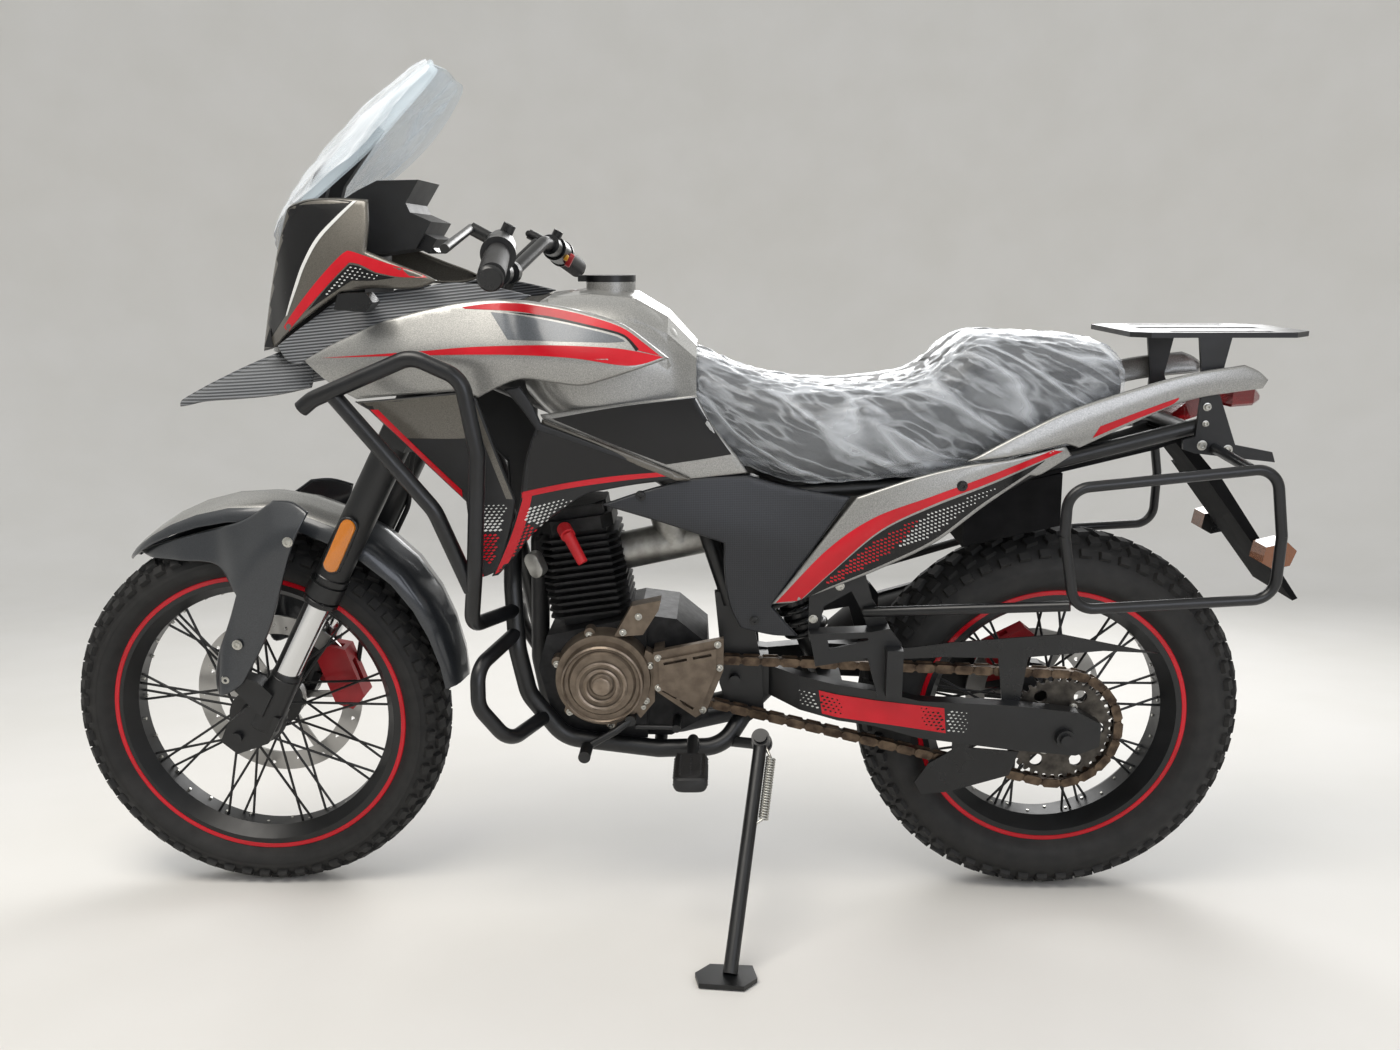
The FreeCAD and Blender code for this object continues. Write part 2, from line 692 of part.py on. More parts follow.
def controls(side):
    """Grip, switch block, lever perch and lever on one side of the bar."""
    inner, end = bar_end_run(side)
    way = (end - inner).normalize()
    bar = rod(inner, end + way * 5, HANDLEBAR_TUBE)
    grip = rod(end - way * GRIP_LENGTH, end - way * 2, GRIP_RADIUS)
    flange = rod(end - way * (GRIP_LENGTH + 6), end - way * GRIP_LENGTH, 24)
    switch = rod(end - way * (GRIP_LENGTH + 52), end - way * (GRIP_LENGTH + 6), 22)
    perch = rod(end - way * (GRIP_LENGTH + 84), end - way * (GRIP_LENGTH + 56), 18)
    perch_at = perch_point(side)
    boss = rod(perch_at, perch_at + STEER_UP * MIRROR_BOSS_TOP, 9)
    seat_at = mirror_seat(side)
    thread = rod(seat_at - STEER_UP * MIRROR_HOLE_DEPTH, seat_at + STEER_UP, MIRROR_HOLE_RADIUS)
    pivot = perch_at + STEER_AHEAD * 46
    arm = rod(perch_at, pivot, 9)
    blade = rod(pivot, end + STEER_AHEAD * 66 - way * 6, 6)
    neck = rod(perch_at, end - way * (GRIP_LENGTH + 30), 15)
    return fuse([grip, flange, switch, perch, arm, blade, neck, boss]).cut(bar).cut(thread)


# Frame and running gear

def frame_spine(radius):
    root = HEAD_FOOT + STEER_UP * (HEAD_TUBE_LENGTH * 0.62)
    return pipe([root, (HEAD_X - 200, 0, HEAD_Z + 40), (PIVOT_X + 70, 0, 720)], radius, 90)


def frame():
    head_low = HEAD_FOOT
    head_top = HEAD_FOOT + STEER_UP * HEAD_TUBE_LENGTH
    tube = rod(head_low, head_top, HEAD_TUBE_RADIUS)
    bore = rod(head_low - STEER_UP * 5, head_top + STEER_UP * 5, STEM_RADIUS + RUNNING_FIT)
    spine = frame_spine(26)
    down_root = HEAD_FOOT + STEER_UP * 62
    split = V(HEAD_X - 122, 0, 644)
    w = CRADLE_HALF_WIDTH
    parts = [tube, spine, rod(down_root, split, FRAME_TUBE + 2)]
    for side in (-1, 1):
        cradle = pipe([split + V(1, 0, 8), split + V(-6, side * 62, -74), (HEAD_X - 138, side * w, 470),
                       (HEAD_X - 154, side * w, 390), (HEAD_X - 212, side * w, 312),
                       (HEAD_X - 370, side * w, 292),
                       (PIVOT_X + 20, side * w, 296), (PIVOT_X - 14, side * 62, 336)], FRAME_TUBE, 60)
        plate_in = side * PIVOT_PLATE_INNER
        plate_out = side * (PIVOT_PLATE_INNER + PIVOT_PLATE_THICKNESS)
        plate = prism([(PIVOT_X + 34, 560), (PIVOT_X - 20, 560), (PIVOT_X - 44, 440), (PIVOT_X - 50, 350),
                       (PIVOT_X - 20, 326), (PIVOT_X + 10, 350), (PIVOT_X + 26, 400), (PIVOT_X + 24, 460)],
                      plate_in, plate_out)
        riser = pipe([(PIVOT_X + 6, side * 65, 540), (PIVOT_X + 40, side * 60, 640),
                      (PIVOT_X + 70, side * 24, 728)], FRAME_TUBE, 60)
        parts += [cradle, plate, riser]
    parts.append(rod(V(PIVOT_X - 8, -60, 545), V(PIVOT_X - 8, 60, 545), 13))
    for side in (-1, 1):
        stay_foot = HEAD_FOOT + STEER_UP * 90 + V(16, side * 16, 0)
        parts.append(rod(stay_foot, V(HEAD_X + 100, side * 16, HEAD_Z + 180), 8))
    parts.append(rod(V(HEAD_X - 372, -CRADLE_HALF_WIDTH, 290), V(HEAD_X - 372, CRADLE_HALF_WIDTH, 290), 11))
    parts.append(cross_rod(PIVOT_X, PIVOT_Z, -86, 86, PIVOT_BOLT_RADIUS))
    parts.append(stand_bracket())
    return fuse(parts).cut(bore)


def rear_frame():
    """Seat rails, their struts and cross tubes, behind the main frame."""
    s = SUBFRAME_HALF_WIDTH
    parts = []
    for side in (-1, 1):
        rail = pipe([(PIVOT_X + 66, side * 30, 724), (PIVOT_X + 10, side * s, 726), (160, side * s, 752),
                     (-200, side * s, 846)], RAIL_TUBE, 50)
        strut = pipe([(PIVOT_X - 8, side * 74, 522), (PIVOT_X - 90, side * s, 560), (60, side * s, 778)],
                     RAIL_TUBE, 50)
        parts += [rail, strut]
    # Columns: x, z of each cross tube
    for x, z in [(-160, 836), (180, 747), (PIVOT_X - 30, 728)]:
        parts.append(cross_rod(x, z, -s, s, RAIL_TUBE))
    return fuse(parts)


def stand_axis():
    foot = V(STAND_FOOT_X, STAND_FOOT_Y, ground_under(STAND_FOOT_Y))
    down = (foot - stand_pivot()).normalize()
    return down.cross(STAND_FOLDED).normalize()


def stand_fold_angle():
    foot = V(STAND_FOOT_X, STAND_FOOT_Y, ground_under(STAND_FOOT_Y))
    return math.degrees((foot - stand_pivot()).getAngle(STAND_FOLDED))


def stand_pivot():
    return V(STAND_PIVOT_X, STAND_PIVOT_Y, STAND_PIVOT_Z)


def ground_under(y):
    """Height of the leaned ground under the machine, in the upright frame."""
    crown_drop = REAR_CROWN_RADIUS + (REAR_TYRE_RADIUS - REAR_CROWN_RADIUS) * math.cos(math.radians(LEAN))
    lift = crown_drop - REAR_TYRE_RADIUS * math.cos(math.radians(LEAN))
    return (y * math.sin(math.radians(LEAN)) - lift) / math.cos(math.radians(LEAN))


def stand_bracket():
    """Arm from the cradle to an ear and a headed pin for the stand's eye."""
    axis = stand_axis()
    pivot = stand_pivot()
    seat = STAND_EYE_HALF + SEAT_GAP
    pin = rod(pivot - axis * (seat + 6), pivot + axis * (seat + 6), STAND_PIN_RADIUS)
    root = V(PIVOT_X + 5, CRADLE_HALF_WIDTH - 12, 300)
    arm = rod(root, pivot - axis * (seat + 11), 9)
    head = rod(pivot + axis * seat, pivot + axis * (seat + 7), 11)
    ear = rod(pivot - axis * (seat + 8), pivot - axis * seat, 17)
    return fuse([pin, arm, head, ear])


def side_stand():
    pivot = stand_pivot()
    axis = stand_axis()
    foot_z = ground_under(STAND_FOOT_Y)
    foot = V(STAND_FOOT_X, STAND_FOOT_Y, foot_z)
    eye = rod(pivot - axis * STAND_EYE_HALF, pivot + axis * STAND_EYE_HALF, 15)
    leg = rod(pivot, foot + V(0, -4, 6), STAND_TUBE)
    slope = math.tan(math.radians(LEAN))
    plate = []
    for x, y in [(-34, -30), (30, -34), (52, -6), (46, 26), (-20, 34), (-40, 8)]:
        plate.append(V(foot.x + x, foot.y + y, ground_under(foot.y + y)))
    up = V(0, -math.sin(math.radians(LEAN)), math.cos(math.radians(LEAN)))
    sole = face_of(plate).extrude(up * 7)
    bore = rod(pivot - axis * 30, pivot + axis * 30, STAND_PIN_RADIUS + RUNNING_FIT)
    trim = Part.makeBox(400, 400, 100, V(-200, -200, -100))
    trim.rotate(V(0, 0, 0), V(1, 0, 0), LEAN)
    trim.translate(foot)
    return fuse([eye, leg, sole]).cut(bore).cut(trim)


def crash_bar():
    """Guard tubes round the left of the engine and fairing."""
    upper = pipe([(1176, 236, 886), (1158, 238, 900), (1010, 240, 962), (940, 240, 930), (922, 240, 820),
                  (935, 240, 640), (952, 205, 545), (909, 80, 530)], BAR_TUBE, 40)
    brace = pipe([(1128, 234, 904), (990, 238, 735), (944, 228, 610)], BAR_TUBE, 60)
    lower = pipe([(905, 92, 495), (950, 190, 470), (948, 205, 410), (905, 190, 345),
                  (862, CRADLE_HALF_WIDTH + 10, 352)], BAR_TUBE, 40)
    return upper, brace, lower


def swingarm():
    # Columns: x, inner y, outer y, low z, top z
    inner = SWINGARM_INNER
    outer = inner + SWINGARM_BEAM
    rows = [(PIVOT_X - 20, 28, 57, 384, 432), (PIVOT_X - 58, 30, 57, 374, 427),
            (PIVOT_X - 108, 62, 90, 360, 420), (PIVOT_X - 170, 88, 116, 352, 414),
            (PIVOT_X - 230, inner - 2, outer - 2, 346, 408), (240, inner, outer, 326, 391),
            (90, inner, outer, 306, 384), (-20, inner, outer, 296, 372), (-58, inner, outer, 312, 352)]
    arms = []
    for side in (-1, 1):
        sections = []
        for x, y_in, y_out, low, top in rows:
            sections.append([V(x, side * y_in, low), V(x, side * y_out, low),
                             V(x, side * y_out, top), V(x, side * y_in, top)])
        arms.append(loft(sections))
    barrel_half = PIVOT_PLATE_INNER - SEAT_GAP
    barrel = cross_rod(PIVOT_X, PIVOT_Z, -barrel_half, barrel_half, 22)
    bridge = Part.makeBox(40, 190, 48, V(PIVOT_X - 180, -95, 360))
    yoke = prism([(PIVOT_X + 6, 392), (PIVOT_X + 6, 428), (PIVOT_X - 60, 424), (PIVOT_X - 60, 384)],
                 -50, 50)
    axle = cross_rod(REAR_AXLE.x, REAR_AXLE.z, -outer - 16, outer + 16, REAR_AXLE_RADIUS)
    collars = []
    # Columns: start and end across the machine, radius: two nuts, then two spacers
    for y0, y1, radius in [(-outer - 10, -outer, 16), (outer, outer + 10, 16),
                           (-inner, REAR_DISC_Y - 6, 17), (CHAIN_Y + 7, inner, 17)]:
        collars.append(cross_rod(REAR_AXLE.x, REAR_AXLE.z, y0, y1, radius))
    bolt = cross_rod(PIVOT_X, PIVOT_Z, -90, 90, PIVOT_BOLT_RADIUS + RUNNING_FIT)
    return fuse(arms + [barrel, bridge, yoke, axle] + collars).cut(bolt)


def shock():
    top = V(PIVOT_X - 32, 0, 718)
    low = V(PIVOT_X - 150, 0, 404)
    way = (top - low).normalize()
    body = rod(low, low + way * 110, 22)
    sleeve = rod(low + way * 70, low + way * 262, 30)
    shaft = rod(low + way * 60, top, 11)
    coils = []
    for i in range(9):
        coils.append(Part.makeTorus(34, 6, low + way * (76 + 22 * i), way))
    return fuse([body, shaft, sleeve] + coils)


# Engine

def engine_case():
    block = prism(CASE_OUTLINE, -CASE_HALF_WIDTH, CHAIN_CASE_Y)
    front = prism([(856, 486), (872, 430), (850, 345), (800, 306), (690, 304), (690, 515), (700, 520)],
                  CHAIN_CASE_Y, CASE_HALF_WIDTH)
    shaft = cross_rod(COUNTERSHAFT_X, COUNTERSHAFT_Z, CHAIN_CASE_Y, 98, 13)
    # The drive sprocket stays inside the chain's loop
    tip = pitch_radius(FRONT_TEETH) - CHAIN_INNER - SEAT_GAP
    gear = prism(toothed_outline(FRONT_TEETH, tip, 5), CHAIN_Y - 3, CHAIN_Y + 3)
    gear.translate(V(COUNTERSHAFT_X, 0, COUNTERSHAFT_Z))
    return fuse([block, front, shaft, gear])


def bolt_lugs(x, z, radius, angles, y_from, y_to):
    """Small screw bosses round a cover's rim."""
    lugs = []
    for angle in angles:
        at = polar(V(x, 0, z), radius, angle)
        lugs.append(cross_rod(at.x, at.z, y_from, y_to, 9))
    return lugs


def dished_cover(x, z, side, steps):
    """A turned side cover in steps. Columns: radius, distance of the step's face from the middle."""
    start = CASE_HALF_WIDTH
    profile = [(0, start)]
    previous = None
    for radius, face in steps:
        if previous is not None:
            profile.append((radius, previous))
        else:
            profile.append((radius, start))
        profile.append((radius - 4, face))
        previous = face
    profile.append((0, previous))
    centre = V(x, 0, z)
    points = [V(x + r, side * y, z) for r, y in profile]
    return face_of(points).revolve(centre, V(0, 1, 0), 360)


def generator_cover():
    dish = dished_cover(GENERATOR_X, GENERATOR_Z, 1, [(GENERATOR_RADIUS, 114), (68, 126), (56, 132),
                                                      (21, 135)])
    lugs = bolt_lugs(GENERATOR_X, GENERATOR_Z, GENERATOR_RADIUS - 1, [20, 75, 215, 262, 315],
                     CASE_HALF_WIDTH, 104)
    starter = prism([(742, 494), (712, 547), (664, 557), (668, 540), (694, 498)], CASE_HALF_WIDTH, 110)
    neck = prism([(690, 470), (676, 462), (676, 380), (700, 350), (716, 372)], CASE_HALF_WIDTH, 106)
    return fuse([dish, starter, neck] + lugs)


def clutch_cover():
    dish = dished_cover(CLUTCH_X, CLUTCH_Z, -1, [(CLUTCH_RADIUS, 118), (70, 128), (30, 132)])
    filter_cap = cross_rod(812, 400, -112, -CASE_HALF_WIDTH, 44)
    lugs = bolt_lugs(CLUTCH_X, CLUTCH_Z, CLUTCH_RADIUS, [65, 120, 165, 205, 250, 300],
                     -106, -CASE_HALF_WIDTH)
    kick = cross_rod(640, 345, -112, -CASE_HALF_WIDTH, 20)
    return fuse([dish, filter_cap, kick] + lugs)


def sprocket_cover():
    """A plate cover over the drive sprocket, with four cooling slots."""
    outline = [(677, 470), (562, 494), (562, 440), (590, 368), (608, 356), (677, 405)]
    plate = prism(outline, 104, 116)
    middle = [(668, 458), (574, 478), (574, 442), (599, 374), (610, 368), (668, 410)]
    raised = prism(middle, 116, 122)
    wall = prism([(677, 470), (660, 473), (660, 396), (677, 405)], CHAIN_CASE_Y, 104)
    slots = []
    # Columns: start and end of each slot, x, z
    for x0, z0, x1, z1 in [(660, 452, 622, 460), (612, 462, 582, 468), (662, 404, 640, 391),
                           (634, 388, 612, 374)]:
        run = V(x1 - x0, 0, z1 - z0).normalize()
        side_way = V(-run.z, 0, run.x) * 2.5
        corners = [(x0, z0), (x1, z1)]
        ring = [(corners[0][0] + side_way.x, corners[0][1] + side_way.z),
                (corners[1][0] + side_way.x, corners[1][1] + side_way.z),
                (corners[1][0] - side_way.x, corners[1][1] - side_way.z),
                (corners[0][0] - side_way.x, corners[0][1] - side_way.z)]
        slots.append(prism(ring, 113, 123))
    return fuse([plate, raised, wall]).cut(Part.makeCompound(slots))


def fin_plate(half_x, half_y, level, thickness):
    """One cooling fin with its corners cut off."""
    cut = 18
    points = []
    for x, y in [(half_x, cut - half_y), (half_x, half_y - cut), (half_x - cut, half_y),
                 (cut - half_x, half_y), (-half_x, half_y - cut), (-half_x, cut - half_y),
                 (cut - half_x, -half_y), (half_x - cut, -half_y)]:
        points.append(V(x, y, level))
    return face_of(points).extrude(V(0, 0, thickness))


def cylinder():
    """Barrel and head with cooling fins, and the rocker cover on top."""
    pieces = [Part.makeBox(96, 96, 200, V(-48, -48, 0))]
    for i in range(FIN_COUNT):
        level = 16 + i * FIN_PITCH
        half_x = 69 if i < 9 else 66
        pieces.append(fin_plate(half_x, half_x - 2, level, FIN_THICKNESS))
    head_level = 16 + FIN_COUNT * FIN_PITCH
    pieces.append(fin_plate(60, 58, head_level, 22))
    pieces.append(fin_plate(52, 46, head_level + 20, 22))
    plug = Part.makeCylinder(12, 26, V(22, 50, head_level + 4), V(0.1, 1, 0.35))
    port = Part.makeCylinder(20, 30, V(50, 0, 128), V(1, 0, 0))
    body = fuse(pieces + [plug, port])
    body.rotate(V(0, 0, 0), V(0, 1, 0), CYLINDER_LEAN)
    body.translate(V(782, 0, 500))
    return body.cut(prism(CASE_OUTLINE, -90, 90))


def carburettor():
    body = rod(V(730, 0, 612), V(600, 0, 640), 32)
    bell = rod(V(640, 0, 631), V(660, 0, 700), 34)
    return fuse([body, bell])


def exhaust():
    """Header under the engine, and a silencer with a heat shield and an end cap."""
    header = pipe([(840, -28, 662), (880, -32, 640), (884, -40, 520), (890, -50, 400), (876, -56, 310),
                   (800, -70, 256), (640, -100, 250), (520, -138, 262), (440, -178, 330),
                   (350, -196, 400)], 16, 46)
    start = V(350, -196, 400)
    way = (V(-120, -184, 540) - start).normalize()
    neck = rod(start - way * 8, start + way * 40, 22, 44)
    can = rod(start + way * 40, start + way * 400, SILENCER_RADIUS)
    cap = rod(start + way * 400, start + way * 428, SILENCER_RADIUS - 2, 34)
    bore = rod(start + way * 404, start + way * 430, 18)
    shield = rod(start + way * 90, start + way * 330, SILENCER_RADIUS + 5)
    shield = shield.cut(rod(start + way * 89, start + way * 331, SILENCER_RADIUS - 1))
    inside = Part.makeBox(600, 200, 400, V(-200, -190, 300))
    bands = [rod(start + way * level, start + way * (level + 12), SILENCER_RADIUS + 3)
             for level in (44, 380)]
    return fuse([header, neck, can, cap, shield.cut(inside)] + bands).cut(bore)


# Bodywork

def tank():
    # Columns: x, half width, top z, low z, squareness
    rows = [(TANK_REAR_X, 92, 968, 780, 0.62), (650, 118, 1016, 776, 0.66), (700, 134, 1046, 772, 0.7),
            (770, 142, 1052, 800, 0.72), (836, 130, 1044, 850, 0.74), (872, 98, 1020, 884, 0.74)]
    body = loft([rounded_section(*row) for row in rows])
    neck = Part.makeCylinder(CAP_RADIUS, 20, V(CAP_X, 0, CAP_SEAT_Z - 20))
    spine = frame_spine(26 + SEAT_GAP)
    hole = Part.makeCylinder(FILLER_RADIUS, FILLER_DEPTH + 5, V(CAP_X, 0, CAP_SEAT_Z - FILLER_DEPTH))
    return fuse([body, neck]).cut(spine).cut(hole)


def fuel_cap():
    low = CAP_SEAT_Z + SEAT_GAP
    lid = Part.makeCylinder(CAP_RADIUS, CAP_THICKNESS, V(CAP_X, 0, low))
    tab = Part.makeBox(18, 24, CAP_THICKNESS, V(CAP_HINGE_X - 14, -12, low))
    return fuse([lid, tab])


def seat():
    # Columns: x, half width, top z, low z, squareness
    rows = [(TANK_REAR_X - SEAT_GAP, 86, 958, 780, 0.7), (528, 104, 922, 760, 0.6),
            (446, 128, 904, 738, 0.55),
            (350, 140, 902, 742, 0.55), (250, 138, 920, 748, 0.55), (196, 132, 962, 752, 0.55),
            (160, 128, 980, 756, 0.55), (50, 120, 976, 784, 0.55), (-60, 104, 960, 812, 0.6)]
    return loft([rounded_section(*row) for row in rows])


def side_cowl():
    """Silver wing beside the tank."""
    outline = [(1197, 952), (1150, 978), (1073, 1009), (1034, 1018), (951, 1037), (890, 1041), (821, 1034),
               (733, 1014), (698, 1003), (668, 980), (642, 956), (688, 941), (770, 916), (857, 927),
               (927, 900), (958, 911), (1117, 895), (1150, 912)]
    rows = [(1215, 1000, 128, 955, 150, 880, 138), (1120, 1030, 140, 968, 176, 880, 160),
            (1040, 1045, 146, 978, 190, 880, 172), (950, 1060, 146, 986, 198, 880, 180),
            (860, 1060, 146, 984, 202, 880, 182), (760, 1045, 146, 976, 204, 880, 188),
            (690, 1030, 150, 966, 200, 880, 186), (630, 1000, 160, 956, 188, 880, 176)]
    boss = rod(V(772, 120, 990), V(772, 200, 985), 10)
    return fuse([trimmed_panel(outline, rows, PANEL), boss])


def lower_cowl():
    """Black side panel below the wing, with its open slot and two legs."""
    outline = [(1117, 892), (958, 908), (931, 897), (891, 911), (866, 916), (835, 857), (640, 777),
               (628, 768), (700, 760), (790, 740), (840, 704), (890, 643), (925, 617), (956, 609),
               (956, 737), (1096, 881)]
    slot = [(923, 884), (895, 896), (846, 852), (882, 762)]
    notch = [(881, 728), (900, 640), (938, 560), (929, 560), (890, 640), (874, 726)]
    rows = [(1130, 930, 168, 885, 177, 590, 150), (1040, 930, 176, 878, 183, 590, 156),
            (950, 930, 184, 850, 186, 590, 160), (880, 930, 178, 800, 176, 590, 154),
            (800, 930, 172, 780, 164, 590, 150), (700, 930, 160, 780, 156, 590, 146),
            (610, 930, 150, 770, 150, 590, 142)]
    panel = trimmed_panel(outline, rows, PANEL)
    for gap in (slot, notch):
        panel = panel.cut(prism(gap, 100, 240))
    boss = rod(V(742, 100, 826), V(742, 158, 822), 10)
    return fuse([panel, boss])


def tank_cover():
    """Side skin of the tank's rear corner, beside the nose of the seat."""
    outline = [(836, 861), (603, 897), (575, 845), (542, 802), (523, 773), (612, 765)]
    rows = [(850, 930, 149, 850, 151, 740, 147), (700, 930, 147, 830, 150, 740, 146),
            (600, 930, 139, 820, 144, 740, 138), (510, 930, 126, 800, 134, 740, 130)]
    boss = rod(V(700, 110, 850), V(700, 148, 846), 8)
    return fuse([trimmed_panel(outline, rows, PANEL - 1), boss])


def nose():
    """A side cheek of the lamp cowl."""
    outline = [(1300, 955), (1262, 1062), (1221, 1182), (1150, 1190), (1089, 1186), (1089, 1112),
               (1006, 1080), (984, 1069), (1032, 1057), (1131, 1053), (1241, 984), (1262, 962)]
    rows = [(1305, 1200, 40, 990, 52, 940, 48), (1262, 1200, 66, 1040, 92, 940, 84),
            (1221, 1200, 92, 1070, 128, 940, 118), (1150, 1200, 116, 1100, 154, 940, 146),
            (1089, 1200, 122, 1105, 162, 940, 156), (980, 1200, 130, 1076, 168, 940, 162)]
    return trimmed_panel(outline, rows, PANEL + 1)


def nose_block():
    """Inner housing behind the lamp, with the instrument and its hood."""
    outline = [(1286, 962), (1248, 1060), (1210, 1168), (1176, 1172), (1120, 1110), (1120, 1010),
               (1200, 960)]
    dash = [(1180, 1166), (1126, 1198), (1094, 1213), (1030, 1214), (1052, 1180), (1046, 1166),
            (1014, 1152), (1040, 1112), (1124, 1100)]
    face = [(1040, 1140), (1056, 1120), (1024, 1104), (1010, 1126)]
    screen_stay = [(1236, 1140), (1196, 1226), (1120, 1306), (1108, 1296), (1176, 1210), (1204, 1130)]
    pieces = [prism(outline, -78, 78), prism(dash, -66, 66), prism(face, -52, 52)]
    for side in (-1, 1):
        pieces.append(slab(screen_stay, side * 30, side * 44))
    return fuse(pieces)


def windscreen():
    wall = 4.0
    sections = []
    # Columns: centre x, centre z, half width, how far the edge sweeps back, drop of the edge
    rows = [(1246, 1150, 70, 36, 20), (1222, 1195, 108, 66, 22), (1200, 1235, 128, 90, 20),
            (1120, 1320, 132, 110, 10), (1050, 1372, 104, 70, 6), (1016, 1396, 60, 20, 4)]
    for x, z, half, sweep, drop in rows:
        outer = []
        for k in (-1, -0.7, -0.35, 0, 0.35, 0.7, 1):
            outer.append(V(x - sweep * k * k, half * k, z - drop * k * k))
        inner = [p - V(wall * 0.7, 0, wall * 0.7) for p in reversed(outer)]
        sections.append(outer + inner)
    return skin(sections)


def beak():
    """Pointed upper mudguard, hollow below."""
    # Columns: x, crown z, edge z, half width
    rows = [(1458, 876, 868, 12), (1400, 906, 886, 44), (1330, 936, 892, 80), (1260, 962, 898, 106),
            (1200, 972, 912, 122)]
    sections = []
    for x, top, low, half in rows:
        # Columns: share of the half width, height
        shoulder = (top * 2 + low) / 3
        ring = [(-1, low), (-0.62, shoulder), (-0.2, top), (0.2, top), (0.62, shoulder), (1, low),
                (0.86, low - 2), (0.5, top - 16), (0.18, top - 8), (-0.18, top - 8), (-0.5, top - 16),
                (-0.86, low - 2)]
        sections.append([V(x, half * share, z) for share, z in ring])
    return loft(sections)


def top_cover():
    """Ribbed cover between the cheek and the wing."""
    outline = [(1250, 968), (1241, 980), (1131, 1049), (1032, 1053), (983, 1065), (900, 1062), (842, 1044),
               (880, 1036), (951, 1032), (1034, 1013), (1073, 1004), (1150, 973), (1205, 944), (1235, 946)]
    rows = [(1275, 1080, 70, 985, 112, 930, 130), (1200, 1090, 96, 990, 138, 930, 152),
            (1120, 1100, 116, 1030, 150, 960, 172), (1040, 1100, 122, 1040, 156, 960, 184),
            (950, 1100, 118, 1045, 152, 990, 182), (830, 1100, 108, 1045, 138, 1000, 170)]
    return trimmed_panel(outline, rows, PANEL - 1)


def headlight():
    """A bowed lens between the cheeks."""
    # Columns: front x, z, half width
    rows = [(1298, 958, 34), (1283, 1004, 58), (1266, 1056, 72), (1246, 1116, 74), (1224, 1176, 62)]
    sections = []
    for x, z, half in rows:
        outer = [V(x - 22 * k * k, half * k, z) for k in (-1, -0.5, 0, 0.5, 1)]
        inner = [point - V(12, 0, 3) for point in reversed(outer)]
        sections.append(outer + inner)
    return skin(sections)


def tail_lamp():
    """Rear lamp under the end of the tail."""
    # Columns: x, half width, top z, low z
    rows = [(-214, 40, 900, 872), (-240, 66, 904, 866), (-276, 60, 898, 868), (-292, 44, 886, 872)]
    sections = []
    for x, half, top, low in rows:
        right = [(-half, low + 4), (-half, top - 4), (4 - half, top)]
        ring = right + [(-y, z) for y, z in reversed(right)] + [(half - 4, low), (4 - half, low)]
        sections.append([V(x, y, z) for y, z in ring])
    stalk = prism([(-162, 840), (-176, 838), (-200, 846), (-236, 872), (-236, 896), (-214, 896),
                   (-162, 852)], -30, 30)
    return fuse([loft(sections), stalk])


def signals():
    """Turn signals: a stub on each cheek, and a lamp on a stalk each side of the plate."""
    front = rod(V(1098, 152, 1036), V(1098, 176, 1036), 12)
    outline = [(1128, 1026), (1120, 1048), (1080, 1050), (1070, 1036), (1082, 1022)]
    front_body = prism(outline, 170, 206)
    stalk = rod(V(-306, 70.3, 646), V(-306, 96, 646), 7)
    lamp = prism([(-282, 630), (-286, 656), (-318, 664), (-334, 650), (-326, 626), (-300, 620)], 92, 136)
    return fuse([front, front_body]), fuse([stalk, lamp])


def side_cover():
    """Black panel below the seat, folded along its middle."""
    outline = [(752, 728), (620, 766), (524, 770), (474, 754), (362, 734), (424, 646), (484, 556),
               (462, 528),
               (439, 501), (500, 512), (534, 518), (550, 556), (559, 600), (559, 665), (620, 690)]
    rows = [(770, 800, 150, 722, 158, 640, 150), (620, 800, 134, 694, 154, 600, 136),
            (520, 800, 124, 676, 148, 480, 124), (430, 800, 122, 660, 142, 480, 118),
            (350, 800, 124, 700, 138, 480, 116)]
    boss = rod(V(500, RAIL_SIDE, 729), V(500, 132, 729), 8)
    return fuse([trimmed_panel(outline, rows, PANEL), boss])


def tail():
    """Lower and upper rear side panels, left side."""
    lower = [(485, 560), (420, 650), (354, 737), (270, 766), (189, 788), (120, 798), (40, 817), (30, 804),
             (73, 773), (91, 772), (232, 664), (394, 586), (450, 562)]
    upper = [(189, 792), (100, 840), (20, 877), (-128, 921), (-230, 936), (-268, 914), (-262, 901),
             (-148, 885), (18, 815), (40, 821), (120, 802)]
    rows = [(500, 620, 128, 566, 138, 540, 130), (400, 700, 136, 640, 152, 570, 138),
            (300, 790, 140, 710, 158, 620, 142), (189, 830, 142, 768, 160, 660, 144),
            (60, 900, 138, 834, 156, 740, 140), (-60, 940, 130, 882, 148, 800, 134),
            (-150, 960, 124, 908, 140, 850, 128), (-280, 960, 112, 918, 124, 880, 114)]
    bosses = [rod(V(189, RAIL_SIDE, 757), V(189, 153, 757), 8),
              rod(V(-20, RAIL_SIDE, 830), V(-20, 146, 846), 8)]
    low_panel = fuse([trimmed_panel(lower, rows, PANEL + 1), bosses[0]])
    top_panel = fuse([trimmed_panel(upper, rows, PANEL + 1), bosses[1]])
    return low_panel, top_panel


